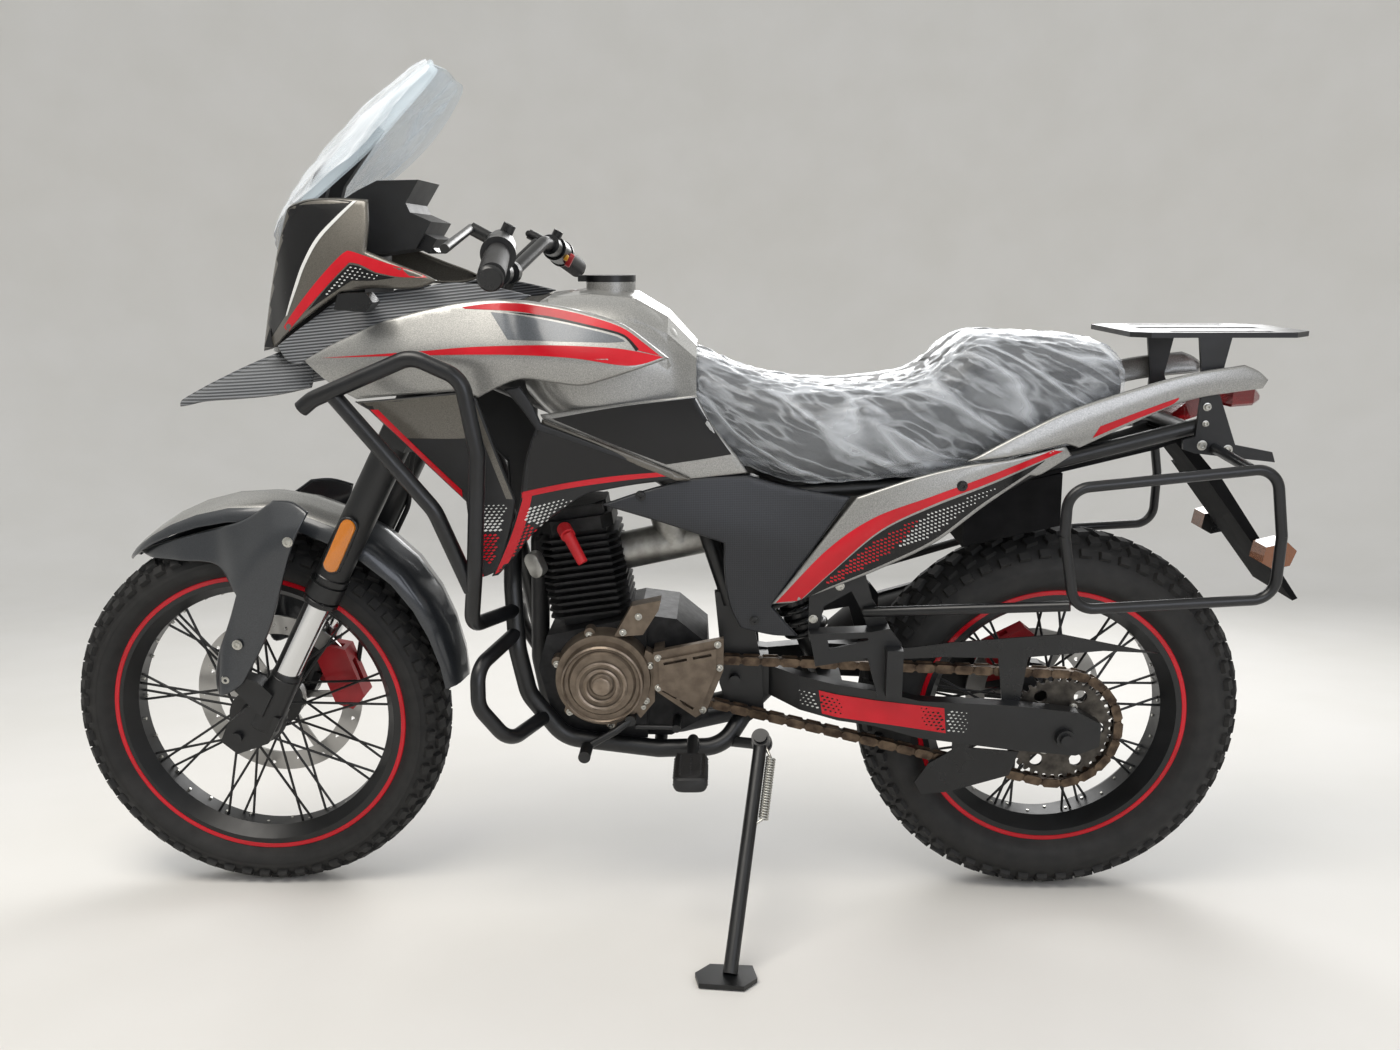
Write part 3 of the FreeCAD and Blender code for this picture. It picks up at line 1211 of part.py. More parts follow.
def rear_rack():
    """Slotted luggage plate on two folded side brackets."""
    low = RACK_TOP_Z - RACK_THICKNESS
    half = RACK_HALF_WIDTH
    ahead = RACK_X + RACK_LENGTH / 2
    back = RACK_X - RACK_LENGTH / 2
    outline = [(ahead, 20 - half), (ahead, half - 20), (ahead - 26, half), (back + 34, half),
               (back, half - 34), (back, 34 - half), (back + 34, -half), (ahead - 26, -half)]
    plate = face_of([V(x, y, low) for x, y in outline]).extrude(V(0, 0, RACK_THICKNESS))
    pieces = [plate]
    # Side view of a bracket, and of the flat bar that the side loops hang from
    upright = [(-160, low), (-209, low), (-196, 900), (-232, 812), (-168, 812), (-172, 900)]
    bar = [(-150, 821), (-168, 826), (-290, 802), (-296, 786), (-170, 800), (-152, 806)]
    for side in (-1, 1):
        pieces.append(slab(upright, side * RAIL_SIDE, side * (RAIL_SIDE + BRACKET)))
        pieces.append(slab(bar, side * RAIL_SIDE, side * (RAIL_SIDE + BRACKET)))
    holes = []
    for i in (-1, 1):
        for j in (-1, 1):
            at = V(RACK_X + i * RACK_HOLE_SPREAD, j * RACK_HOLE_SPREAD, low - 1)
            holes.append(Part.makeCylinder(RACK_HOLE_RADIUS, RACK_THICKNESS + 2, at))
    # Columns: middle y, half length, half width of each slot
    for y, length, width in [(0, 96, 13), (-half + 20, 78, 8), (half - 20, 78, 8)]:
        holes.append(Part.makeBox(2 * length, 2 * width, RACK_THICKNESS + 2,
                                  V(RACK_X - length, y - width, low - 1)))
    return fuse(pieces).cut(Part.makeCompound(holes))


def pannier_rack():
    """A bag loop with its two stays, left side."""
    y = 240
    points = [(62, y, 700), (62, y, 770), (-236, y, 802), (-254, y, 700), (-254, y, 604), (40, y, 586),
              (62, y, 700)]
    loop = ring_pipe(points, RACK_TUBE, 34)
    y_in = RAIL_SIDE + BRACKET + SEAT_GAP
    rear_stay = rod(V(-200, y_in, 808), V(-200, y - 4, 799), RACK_TUBE)
    front_stay = rod(V(44, y - 6, 590), V(335, y_in + 4, 540), RACK_TUBE)
    return fuse([loop, rear_stay, front_stay])


def plate_holder():
    """Rear mudguard flap with the plate's backing, and the tool box under the tail."""
    hanger = prism([(-150, 823.7), (-172, 823.7), (-228, 762), (-222, 745), (-208, 756)], -50, 50)
    plate = prism([(-208, 756), (-372, 548), (-380, 552), (-228, 762)], -70, 70)
    return fuse([hanger, plate])


def undertail():
    """Tray below the rear frame, with a box under it."""
    half = SUBFRAME_HALF_WIDTH - RAIL_TUBE - SEAT_GAP
    outline = [(186, 734), (160, 730), (-120, 800), (-180, 822), (-180, 826), (-120, 806), (160, 737)]
    tray = prism(outline, -half, half)
    box = prism([(172, 729), (176, 640), (20, 676), (22, 762)], -half, half)
    return fuse([tray, box])


def chain_guard():
    outline = [(387, 456), (182, 484), (9, 498), (-149, 466), (-60, 470), (84, 456), (200, 458), (380, 448)]
    tab = [(112, 470), (60, 472), (70, 380), (100, 380)]
    y_in = CHAIN_Y + CHAIN_CORE_WIDTH / 2 + CHAIN_PLATE + 2
    y_out = SWINGARM_INNER - SEAT_GAP
    upper = fuse([prism(outline, y_in, y_out), prism(tab, y_in, y_out)])
    fin = [(238, 234), (226, 211), (180, 216), (80, 247), (66, 290), (150, 297), (150, 330), (178, 334),
           (178, 292), (216, 268)]
    return upper, prism(fin, y_in, y_out)


def peg_set():
    """Rider's peg, passenger peg and their hangers, left side."""
    y_in = SWINGARM_INNER + SWINGARM_BEAM + 6
    y_out = y_in + BRACKET
    upper = prism([(424, 578), (340, 622), (322, 560), (296, 520), (326, 506), (338, 540), (356, 574),
                   (400, 548), (408, 502), (424, 502)], RAIL_SIDE, RAIL_SIDE + BRACKET)
    step = prism([(296, 520), (302, 506), (424, 498), (424, 510), (326, 514)], RAIL_SIDE, y_out)
    lower = prism([(296, 520), (276, 494), (288, 409), (312, 404), (330, 470), (414, 455), (424, 510),
                   (396, 506), (392, 484), (330, 500), (326, 514)], y_in, y_out)
    folded = Part.makeBox(26, 22, 78, V(276, y_out, 412))
    peg = rod(V(612, 118, 318), V(612, 205, 322), 9)
    rubber = Part.makeBox(46, 84, 20, V(590, 202, 312))
    root = rod(V(612, CRADLE_HALF_WIDTH + 8, 296), V(612, 125, 318), 10)
    return Part.makeCompound([fuse([peg, rubber, root]), fuse([upper, step, lower, folded])])


def foot_levers():
    """Gear lever with its rod on the left, brake pedal on the right."""
    pivot = V(716, 118, 352)
    arm = pipe([pivot, (740, 128, 336), (786, 136, 312), (788, 140, 312)], 6, 12)
    pad = rod(V(787, 138, 312), V(787, 178, 312), 10)
    link = rod(pivot + V(-8, -4, -14), V(640, 112, 336), 4)
    boss = rod(V(716, CASE_HALF_WIDTH, 352), pivot + V(0, 6, 0), 9)
    shift = fuse([arm, pad, link, boss, rod(V(640, CHAIN_CASE_Y, 336), V(640, 118, 336), 7)])
    brake = pipe([(612, -138, 330), (680, -150, 322), (770, -150, 300), (800, -150, 306)], 7, 20)
    brake_pad = Part.makeBox(34, 50, 10, V(786, -176, 308))
    brake_root = rod(V(612, -120, 318), V(612, -146, 331), 9)
    return shift, fuse([brake, brake_pad, brake_root])


def with_head(shape):
    """Moves a fairing piece with the steering head that it is drawn round."""
    return shape.translated(HEAD_FOOT - FAIRING_HEAD)


def cut_by(shape, nodes, names):
    """The shape cut clear of earlier nodes of its own body."""
    for name in names:
        shape = shape.cut(nodes[name])
    return shape


def wheel_nodes():
    nodes = {}
    nodes["rear_tyre"] = tyre(REAR_AXLE, REAR_TYRE_RADIUS, REAR_TYRE_WIDTH, REAR_CROWN_RADIUS,
                              REAR_RIM_SEAT, REAR_RIM_WIDTH)
    nodes["rear_rim"] = rim(REAR_AXLE, REAR_RIM_SEAT, REAR_RIM_WIDTH)
    nodes["rear_hub"] = hub(REAR_AXLE, REAR_AXLE_RADIUS + RUNNING_FIT, REAR_RIM_SEAT)
    nodes["rear_disc"] = brake_disc(REAR_AXLE, REAR_DISC_RADIUS, REAR_DISC_Y)
    nodes["rear_sprocket"] = rear_sprocket()
    nodes["front_tyre"] = tyre(FRONT_AXLE, FRONT_TYRE_RADIUS, FRONT_TYRE_WIDTH, FRONT_CROWN_RADIUS,
                               FRONT_RIM_SEAT, FRONT_RIM_WIDTH)
    nodes["front_rim"] = rim(FRONT_AXLE, FRONT_RIM_SEAT, FRONT_RIM_WIDTH)
    nodes["front_hub"] = hub(FRONT_AXLE, FRONT_AXLE_RADIUS + RUNNING_FIT, FRONT_RIM_SEAT)
    nodes["front_disc"] = brake_disc(FRONT_AXLE, FRONT_DISC_RADIUS, FRONT_DISC_Y)
    return nodes


def steering_nodes():
    nodes = {}
    nodes["fork_upper"] = fork_upper()
    nodes["fork_lower"] = fork_lower()
    nodes["front_fender"] = front_fender()
    nodes["handlebar"] = handlebar()
    nodes["controls_left"] = controls(1)
    nodes["controls_right"] = controls(-1)
    nodes["front_caliper"] = cut_by(front_caliper(), nodes, ["fork_lower", "front_fender"])
    nodes["brake_hose"] = cut_by(brake_hose(), nodes, ["fork_upper", "controls_right", "front_caliper"])
    return nodes


def chassis_nodes():
    nodes = {}
    nodes["frame"] = frame()
    nodes["rear_frame"] = rear_frame().cut(nodes["frame"])
    nodes["crash_bars"] = pair(fuse(list(crash_bar()))).cut(nodes["frame"])
    nodes["swingarm"] = swingarm()
    nodes["shock"] = cut_by(shock(), nodes, ["frame", "rear_frame", "swingarm"])
    nodes["rear_caliper"] = rear_caliper().cut(nodes["swingarm"])
    nodes["engine_case"] = engine_case()
    nodes["generator_cover"] = generator_cover()
    nodes["clutch_cover"] = clutch_cover()
    nodes["sprocket_cover"] = cut_by(sprocket_cover(), nodes, ["generator_cover"])
    nodes["cylinder"] = cylinder()
    nodes["carburettor"] = cut_by(carburettor(), nodes, ["cylinder", "frame"])
    nodes["exhaust"] = cut_by(exhaust(), nodes, ["cylinder"])
    nodes["chain"] = chain()
    upper, fin = chain_guard()
    nodes["chain_guard"] = Part.makeCompound([upper, fin])
    pegs = pair(peg_set())
    nodes["pegs"] = cut_by(Part.makeCompound([pegs] + list(foot_levers())), nodes,
                           ["frame", "rear_frame", "engine_case", "generator_cover", "exhaust"])
    return nodes


def bodywork_nodes(chassis):
    nodes = {}
    nodes["tank"] = tank()
    nodes["seat"] = cut_by(seat(), chassis, ["frame", "rear_frame"])
    nodes["cowls"] = pair(side_cowl()).cut(nodes["tank"])
    nodes["lower_cowls"] = cut_by(pair(Part.makeCompound([lower_cowl(), tank_cover()])), nodes,
                                  ["tank", "seat", "cowls"])
    nodes["nose"] = with_head(pair(nose()))
    covers = pair(top_cover())
    covers = cut_by(covers, nodes, ["tank", "cowls", "nose"])
    front = with_head(beak()).cut(nodes["nose"]).cut(nodes["cowls"])
    nodes["beak"] = Part.makeCompound([front, covers.cut(front)])
    nodes["headlight"] = cut_by(with_head(headlight()), nodes, ["nose", "beak"])
    nodes["lamp_housing"] = cut_by(with_head(nose_block()), nodes, ["nose", "beak", "headlight"])
    nodes["lamp_housing"] = nodes["lamp_housing"].cut(chassis["frame"])
    nodes["windscreen"] = cut_by(with_head(windscreen()), nodes, ["lamp_housing", "nose", "headlight"])
    nodes["side_covers"] = cut_by(pair(side_cover()), nodes, ["lower_cowls"])
    nodes["tail"] = cut_by(pair(Part.makeCompound(list(tail()))), nodes, ["side_covers"])
    nodes["rear_rack"] = rear_rack()
    nodes["plate_holder"] = cut_by(Part.makeCompound([plate_holder(), undertail()]), chassis,
                                   ["rear_frame", "frame", "shock"])
    nodes["tail_lamp"] = cut_by(tail_lamp(), chassis, ["rear_frame"])
    front, rear = signals()
    nodes["signals"] = cut_by(pair(Part.makeCompound([with_head(front), rear])), nodes,
                              ["nose", "beak"])
    nodes["pannier_racks"] = cut_by(pair(pannier_rack()), nodes, ["rear_rack"]).cut(chassis["pegs"])
    return nodes


def node_shapes():
    """Every node's shape in the upright frame."""
    nodes = wheel_nodes()
    nodes.update(steering_nodes())
    chassis = chassis_nodes()
    nodes.update(chassis)
    nodes.update(bodywork_nodes(chassis))
    nodes["side_stand"] = side_stand()
    nodes["fuel_cap"] = fuel_cap()
    return nodes


def crown_height(radius, crown):
    return crown + (radius - crown) * math.cos(math.radians(LEAN))


def parked_placement():
    """Lean onto the stand, then level both tyres on the ground."""
    lean = FreeCAD.Placement(V(0, 0, 0), FreeCAD.Rotation(V(1, 0, 0), -LEAN))
    rear = lean.multVec(REAR_AXLE)
    front = lean.multVec(FRONT_AXLE)
    rear_up = crown_height(REAR_TYRE_RADIUS, REAR_CROWN_RADIUS) - rear.z
    front_up = crown_height(FRONT_TYRE_RADIUS, FRONT_CROWN_RADIUS) - front.z
    pitch = math.degrees(math.atan2(front_up - rear_up, FRONT_AXLE.x))
    tip = FreeCAD.Placement(V(0, 0, rear_up), FreeCAD.Rotation(V(0, 1, 0), -pitch))
    return tip.multiply(lean)


def main():
    os.makedirs("parts", exist_ok=True)
    nodes = node_shapes()
    parked = parked_placement()
    placed = {}
    for name, shape in nodes.items():
        piece = shape.copy()
        piece.Placement = parked.multiply(piece.Placement)
        placed[name] = piece
    box = FreeCAD.BoundBox()
    for piece in placed.values():
        box.add(piece.optimalBoundingBox(False))
    shift = V(-box.Center.x, -box.Center.y, -box.ZMin)
    for name, piece in placed.items():
        piece.translate(shift)
        piece.exportStep("parts/" + name + ".step")
    print("box", box.XLength, box.YLength, box.ZLength, "nodes", len(placed))
    return FreeCAD.Placement(shift, FreeCAD.Rotation()).multiply(parked)


ROW_PLACEMENT = main()
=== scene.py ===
# %% [markdown]
# # A dual sport motorcycle on its side stand
# The machine's solids were drawn as a mechanical model, and this lesson dresses them. It places a
# camera and soft studio light, gives each solid its real finish, and adds the pieces that only a
# mesh can show well: tyre blocks, moulded panels, painted stripes, a wrapped seat and small bolts.

# %% Load the mechanical model
import json
import math
import bmesh
import bpy
from mathutils import Matrix, Vector, geometry, noise
from mathutils.bvhtree import BVHTree


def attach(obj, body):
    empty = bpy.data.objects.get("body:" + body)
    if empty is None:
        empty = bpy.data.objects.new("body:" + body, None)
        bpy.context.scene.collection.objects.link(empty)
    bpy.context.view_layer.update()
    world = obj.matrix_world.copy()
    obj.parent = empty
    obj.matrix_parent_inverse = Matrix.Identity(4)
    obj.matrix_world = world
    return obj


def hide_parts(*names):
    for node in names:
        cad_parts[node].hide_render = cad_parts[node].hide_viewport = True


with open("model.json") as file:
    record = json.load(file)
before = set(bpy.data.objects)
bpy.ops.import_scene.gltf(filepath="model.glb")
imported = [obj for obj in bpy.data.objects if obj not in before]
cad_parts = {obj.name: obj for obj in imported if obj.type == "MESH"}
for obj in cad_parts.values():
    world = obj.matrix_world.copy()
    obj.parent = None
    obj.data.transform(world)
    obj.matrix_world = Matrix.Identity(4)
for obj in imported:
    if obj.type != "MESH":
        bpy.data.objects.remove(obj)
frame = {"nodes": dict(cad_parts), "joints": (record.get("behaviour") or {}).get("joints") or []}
bpy.context.scene.view_settings.view_transform = "Standard"
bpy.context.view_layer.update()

# %% [markdown]
# ## Upright coordinates
# A leaning motorcycle is awkward to measure. Every piece is therefore drawn upright, in millimetres:
# X forward from the rear axle, Y to the rider's left, Z up from the ground. The two wheel joints
# of the model say where the leaning machine's axles are, so they give the matrix between the two.

# %% Place upright points on the leaning machine
REAR_AXLE = Vector((0.0, 0.0, 328.0))
FRONT_AXLE = Vector((1370.1, 0.0, 326.0))
MM = 0.001

joints = {joint["name"]: joint for joint in frame["joints"]}
rear_at = Vector(joints["rear_wheel_spin"]["pos_m"])
front_at = Vector(joints["front_wheel_spin"]["pos_m"])
left_way = Vector(joints["rear_wheel_spin"]["axis"]).normalized()
axle_way = (front_at - rear_at).normalized()
up_way = axle_way.cross(left_way)
drop = math.atan2(REAR_AXLE.z - FRONT_AXLE.z, FRONT_AXLE.x - REAR_AXLE.x)
ahead_way = axle_way * math.cos(drop) + up_way * math.sin(drop)
up_way = ahead_way.cross(left_way)
turn = Matrix((ahead_way, left_way, up_way)).transposed()
LEAN = Matrix.Translation(rear_at) @ turn.to_4x4() @ Matrix.Translation(-REAR_AXLE * MM)
TO_ROW = LEAN @ Matrix.Scale(MM, 4)
TO_UPRIGHT = TO_ROW.inverted()
print("lean in degrees: %.2f" % math.degrees(math.asin(-left_way.z)))

# %% [markdown]
# ## The camera
# The view was solved from the two wheel ellipses and the ends of known straight parts: the lens
# stands 1.84 m to the left, 1.1 m above the ground, and looks slightly down.

# %% Camera
CAMERA_AT = Vector((566.38, 1836.33, 1107.88))
CAMERA_YAW = 0.018851
CAMERA_PITCH = 0.239901
CAMERA_ROLL = 0.005753
FOCAL_PIXELS = 1115.0
PHOTO_WIDTH = 1400.0
SENSOR = 36.0

right = Vector((-1.0, 0.0, 0.0))
upward = Vector((0.0, 0.0, 1.0))
forward = Vector((0.0, -1.0, 0.0))
yaw = Matrix.Rotation(CAMERA_YAW, 3, "Z")
right, upward, forward = yaw @ right, yaw @ upward, yaw @ forward
pitch = Matrix.Rotation(-CAMERA_PITCH, 3, right)
upward, forward = pitch @ upward, pitch @ forward
roll = Matrix.Rotation(CAMERA_ROLL, 3, forward)
right, upward = roll @ right, roll @ upward
camera_data = bpy.data.cameras.new("photo_camera")
camera_data.sensor_width = SENSOR
camera_data.lens = FOCAL_PIXELS / PHOTO_WIDTH * SENSOR
camera = bpy.data.objects.new("photo_camera", camera_data)
bpy.context.scene.collection.objects.link(camera)
axes = Matrix((right, upward, -forward)).transposed()
camera.matrix_world = Matrix.Translation(TO_ROW @ CAMERA_AT) @ (turn @ axes).to_4x4()
bpy.context.scene.camera = camera
print("lens %.1f mm" % camera_data.lens)

# %% [markdown]
# ## Nodes and colours
# Two helpers keep every material short. One turns a colour as a painter writes it, a six figure
# hex value, into the linear numbers that the renderer adds up. The other adds a shader node with its
# settings, and joins it to others. Coordinates are turned upright, so that a pattern follows the
# machine and not the floor that it leans on.

# %% Colour and node helpers
def colour(hex_text, alpha=1.0):
    parts = []
    for k in (0, 2, 4):
        value = int(hex_text[k:k + 2], 16) / 255.0
        parts.append(value / 12.92 if value <= 0.04045 else ((value + 0.055) / 1.055) ** 2.4)
    return (*parts, alpha)


def add(tree, kind, links=None, **settings):
    """One node: settings are its properties or its sockets, links go from a socket to a source."""
    made = tree.nodes.new(kind)
    for key, value in settings.items():
        if hasattr(made, key):
            setattr(made, key, value)
        else:
            made.inputs[key.replace("_", " ")].default_value = value
    for socket, source in (links or {}).items():
        if isinstance(source, bpy.types.Node):
            source = source.outputs[0]
        tree.links.new(source, made.inputs[socket])
    return made


def new_material(name, **sockets):
    """A principled surface with constant values on its own sockets."""
    material = bpy.data.materials.new(name)
    material.use_nodes = True
    shader = material.node_tree.nodes["Principled BSDF"]
    for key, value in sockets.items():
        shader.inputs[key.replace("_", " ")].default_value = value
    return material, material.node_tree, shader


UPRIGHT_TURN = TO_UPRIGHT.to_3x3().normalized().to_euler()
UPRIGHT_SHIFT = LEAN.inverted().to_translation()


def upright(tree):
    """Object coordinates turned upright, in metres."""
    where = add(tree, "ShaderNodeTexCoord")
    return add(tree, "ShaderNodeMapping", {0: where.outputs["Object"]},
               Location=UPRIGHT_SHIFT, Rotation=UPRIGHT_TURN)


def ramp(tree, source, stops):
    """A colour ramp from (position, colour) stops."""
    made = add(tree, "ShaderNodeValToRGB", {0: source})
    band = made.color_ramp
    while len(band.elements) < len(stops):
        band.elements.new(0.5)
    for element, (position, tint) in zip(band.elements, stops):
        element.position = position
        element.color = tint
    return made


def bump(tree, shader, height, distance, strength=1.0):
    """Small relief: distance is its depth in metres."""
    relief = add(tree, "ShaderNodeBump", {"Height": height}, Distance=distance, Strength=strength)
    tree.links.new(relief.outputs[0], shader.inputs["Normal"])


def mesh_object(name, bm):
    """What mesh code has drawn, as an object in the scene."""
    mesh = bpy.data.meshes.new(name)
    bm.to_mesh(mesh)
    bm.free()
    made = bpy.data.objects.new(name, mesh)
    bpy.context.scene.collection.objects.link(made)
    return made


# %% [markdown]
# ## Floor and light
# A plain pale floor keeps the eye on the machine. It curves up into a round wall, as a studio's
# paper does, so no edge shows behind. A wide lamp above and ahead stands in for the high sun of a
# clear day, softened, and two weaker lamps open the shadows. What the camera sees of the world is
# nearly white, also in gloss and through clear film, so chrome mirrors a bright room.

# %% Floor, world and lamps
FLOOR_RADIUS = 4.6
WALL_RADIUS = 2.4
WALL_TOP = 4.6
CURVE_STEPS = 12


def circle(radius, z, steps):
    """Points round a level circle."""
    turns = [2 * math.pi * k / steps for k in range(steps)]
    return [Vector((radius * math.cos(turn), radius * math.sin(turn), z)) for turn in turns]


profile = [(FLOOR_RADIUS, 0.0)]
for step in range(1, CURVE_STEPS + 1):
    angle = math.radians(90 * step / CURVE_STEPS)
    profile.append((FLOOR_RADIUS + WALL_RADIUS * math.sin(angle), WALL_RADIUS * (1 - math.cos(angle))))
profile.append((FLOOR_RADIUS + WALL_RADIUS, WALL_TOP))
bm = bmesh.new()
middle = bm.verts.new((0.0, 0.0, 0.0))
rows = [[bm.verts.new(place) for place in circle(r, z, 96)] for r, z in profile]
for k in range(96):
    after = (k + 1) % 96
    bm.faces.new([middle, rows[0][k], rows[0][after]])
    for one, two in zip(rows, rows[1:]):
        bm.faces.new([one[k], two[k], two[after], one[after]])
for face in bm.faces:
    face.smooth = True
floor = mesh_object("floor", bm)
floor_paint, tree, shader = new_material("pale_studio_floor", Roughness=0.85,
                                         Base_Color=colour("DEDBD5"))
grain = add(tree, "ShaderNodeTexNoise", {0: upright(tree)}, Scale=2.5, Detail=3.0)
tones = ramp(tree, grain, [(0.3, colour("DCD9D3")), (0.7, colour("E0DDD8"))])
tree.links.new(tones.outputs[0], shader.inputs["Base Color"])
floor.data.materials.append(floor_paint)

world = bpy.data.worlds.new("studio")
bpy.context.scene.world = world
world.use_nodes = True
tree = world.node_tree
tree.nodes.clear()
path = add(tree, "ShaderNodeLightPath")
seen = path.outputs["Is Camera Ray"]
for ray in ("Is Glossy Ray", "Is Transmission Ray"):
    seen = add(tree, "ShaderNodeMath", {0: seen, 1: path.outputs[ray]}, operation="MAXIMUM")
room = add(tree, "ShaderNodeBackground", Color=colour("F1F0EC"), Strength=0.9)
ambient = add(tree, "ShaderNodeBackground", Color=colour("E9EEF4"), Strength=0.85)
both = add(tree, "ShaderNodeMixShader", {0: seen, 1: ambient, 2: room})
add(tree, "ShaderNodeOutputWorld", {0: both})


def lamp(name, at, target, size, watts, tint):
    """A soft rectangular lamp that looks at its target."""
    data = bpy.data.lights.new(name, "AREA")
    data.shape = "RECTANGLE"
    data.size, data.size_y = size
    data.energy = watts
    data.color = colour(tint)[:3]
    made = bpy.data.objects.new(name, data)
    bpy.context.scene.collection.objects.link(made)
    way = (Vector(target) - Vector(at)).to_track_quat("-Z", "Y")
    made.matrix_world = Matrix.Translation(Vector(at)) @ way.to_matrix().to_4x4()


# Columns: name, place, target, size, watts, tint
LAMPS = [("key_lamp", (1.0, 1.5, 3.4), (0.0, 0.0, 0.6), (2.4, 1.5), 84, "FFFAF2"),
         ("side_fill", (-1.6, 3.2, 1.4), (0.0, 0.0, 0.5), (2.4, 1.6), 34, "EDF2FF"),
         ("back_edge", (-1.0, -2.8, 2.4), (0.0, 0.0, 0.6), (2.6, 1.4), 60, "FFFFFF")]
for row in LAMPS:
    lamp(*row)
print("lamps:", len(LAMPS))

# %% [markdown]
# ## Paints and metals
# A finish is more than its colour. Metallic paint has fine bright flakes under a clear coat, powder
# coat has a faint orange peel, a sand casting is rough with darker hollows, and ground steel carries
# rings. Each material below starts from typical values for that finish. Its pattern is sized in real
# millimetres, and where the real grain is too fine to show at this distance it is drawn coarser.

# %% Patterns shared by several finishes
def mottle(tree, size_mm, detail=4.0):
    """Noise whose spots are about size_mm across."""
    return add(tree, "ShaderNodeTexNoise", {0: upright(tree)}, Scale=1000.0 / size_mm, Detail=detail)


def tinted(tree, shader, source, dark, light, low=0.35, high=0.65):
    """The colour goes from dark to light as the source goes from low to high."""
    tones = ramp(tree, source, [(low, colour(dark)), (high, colour(light))])
    tree.links.new(tones.outputs[0], shader.inputs["Base Color"])


def uneven_gloss(tree, shader, source, smooth, rough):
    """The roughness goes from smooth to rough as the source goes from 0 to 1."""
    spread = add(tree, "ShaderNodeMapRange", {0: source}, To_Min=smooth, To_Max=rough)
    tree.links.new(spread.outputs[0], shader.inputs["Roughness"])


# %% Painted and coated finishes
def metallic_paint(name, dark, light, metal=0.55):
    """Acrylic paint with aluminium flakes under clear lacquer. Flakes are drawn 1.5 mm, not 0.05."""
    material, tree, shader = new_material(name, Metallic=metal, Roughness=0.36, Coat_Weight=0.7,
                                          Coat_Roughness=0.12)
    tinted(tree, shader, mottle(tree, 1.5, 2.0), dark, light, 0.3, 0.7)
    return material


def powder_coat(name, dark, light, rough=0.38):
    """Baked polyester powder: satin, with a faint orange peel 4 mm across."""
    material, tree, shader = new_material(name, Specular_IOR_Level=0.5)
    tinted(tree, shader, mottle(tree, 60.0), dark, light)
    uneven_gloss(tree, shader, mottle(tree, 25.0), rough - 0.06, rough + 0.1)
    bump(tree, shader, mottle(tree, 4.0, 1.0), 0.0002, 0.25)
    return material


def moulded_plastic(name, dark, light, rough=0.5, grain_mm=1.6, depth=0.00025):
    """Injection moulded plastic with an etched leather-like grain."""
    material, tree, shader = new_material(name)
    tinted(tree, shader, mottle(tree, 40.0), dark, light)
    uneven_gloss(tree, shader, mottle(tree, 30.0), rough - 0.07, rough + 0.08)
    cells = add(tree, "ShaderNodeTexVoronoi", {0: upright(tree)}, Scale=1000.0 / grain_mm)
    bump(tree, shader, cells, depth, 0.35)
    return material


def gloss_film(name, dark, light):
    """Printed vinyl film, smooth and glossy."""
    material, tree, shader = new_material(name, Roughness=0.24, Specular_IOR_Level=0.3, Coat_Weight=0.2,
                                          Coat_Roughness=0.08)
    tinted(tree, shader, mottle(tree, 80.0), dark, light)
    return material


silver_paint = metallic_paint("silver_metallic_paint", "838381", "A6A5A1", 0.65)
facet_paint = metallic_paint("shaded_metallic_paint", "4A4E53", "5E6267", 0.6)
# The silver paint where it faces the ground, drawn darker and warmer: painted shade and a painted
# reflection of the ground. The cheeks, the shroud fields and the tank's raised strips wear it.
painted_shade_paint = metallic_paint("silver_paint_darkened_as_painted_shade", "524E47", "66625A", 0.45)
guard_grey = metallic_paint("blue_grey_metallic_paint", "25282C", "34373B", 0.4)
frame_black = powder_coat("satin_black_powder_coat", "08090A", "111214")
bar_black = powder_coat("black_guard_powder_coat", "0A0B0C", "131417", 0.32)
soft_black = moulded_plastic("grained_black_plastic", "0A0B0C", "121316")
seat_vinyl = moulded_plastic("black_seat_vinyl", "0C0D0F", "15171A", 0.55, 1.8, 0.0005)
smooth_black = moulded_plastic("smooth_black_plastic", "08090A", "0F1012", 0.28, 2.4, 0.0001)
red_film = gloss_film("red_vinyl_film", "B00D1B", "C41424")
black_film = gloss_film("black_vinyl_film", "060607", "0C0C0E")
# White film: printed dots, and also the painted highlight along the cheek's front edge.
white_print_and_highlight_film = gloss_film("white_print_and_painted_highlight_film", "C9C9C6", "DADAD6")
caliper_red = powder_coat("red_caliper_paint", "8E0F17", "A8141E", 0.35)

# %% Ribbed and woven plastics
RIB_PITCH = 0.0046
RIB_FALL = 0.1


def ribbed_plastic():
    """Moulded grey plastic with fine lengthwise ribs, which fall 1 in 10 towards the front. Each rib's
    crest is painted lighter and its groove darker: painted light and shade on top of the bump.
    """
    material, tree, shader = new_material("ribbed_grey_plastic", Roughness=0.42)
    split = add(tree, "ShaderNodeSeparateXYZ", {0: upright(tree)})
    slope = add(tree, "ShaderNodeMath", {0: split.outputs["X"], 2: split.outputs["Z"]},
                operation="MULTIPLY_ADD")
    slope.inputs[1].default_value = RIB_FALL
    turns = add(tree, "ShaderNodeMath", {0: slope}, operation="MULTIPLY")
    turns.inputs[1].default_value = 2 * math.pi / RIB_PITCH
    wave = add(tree, "ShaderNodeMath", {0: turns}, operation="SINE")
    level = add(tree, "ShaderNodeMapRange", {0: wave}, From_Min=-1.0)
    # Painted light and shade: the crest of each rib is light grey and its groove dark grey.
    tinted(tree, shader, level, "2C2E31", "737578", 0.25, 0.75)
    bump(tree, shader, level, 0.0012, 0.8)
    return material


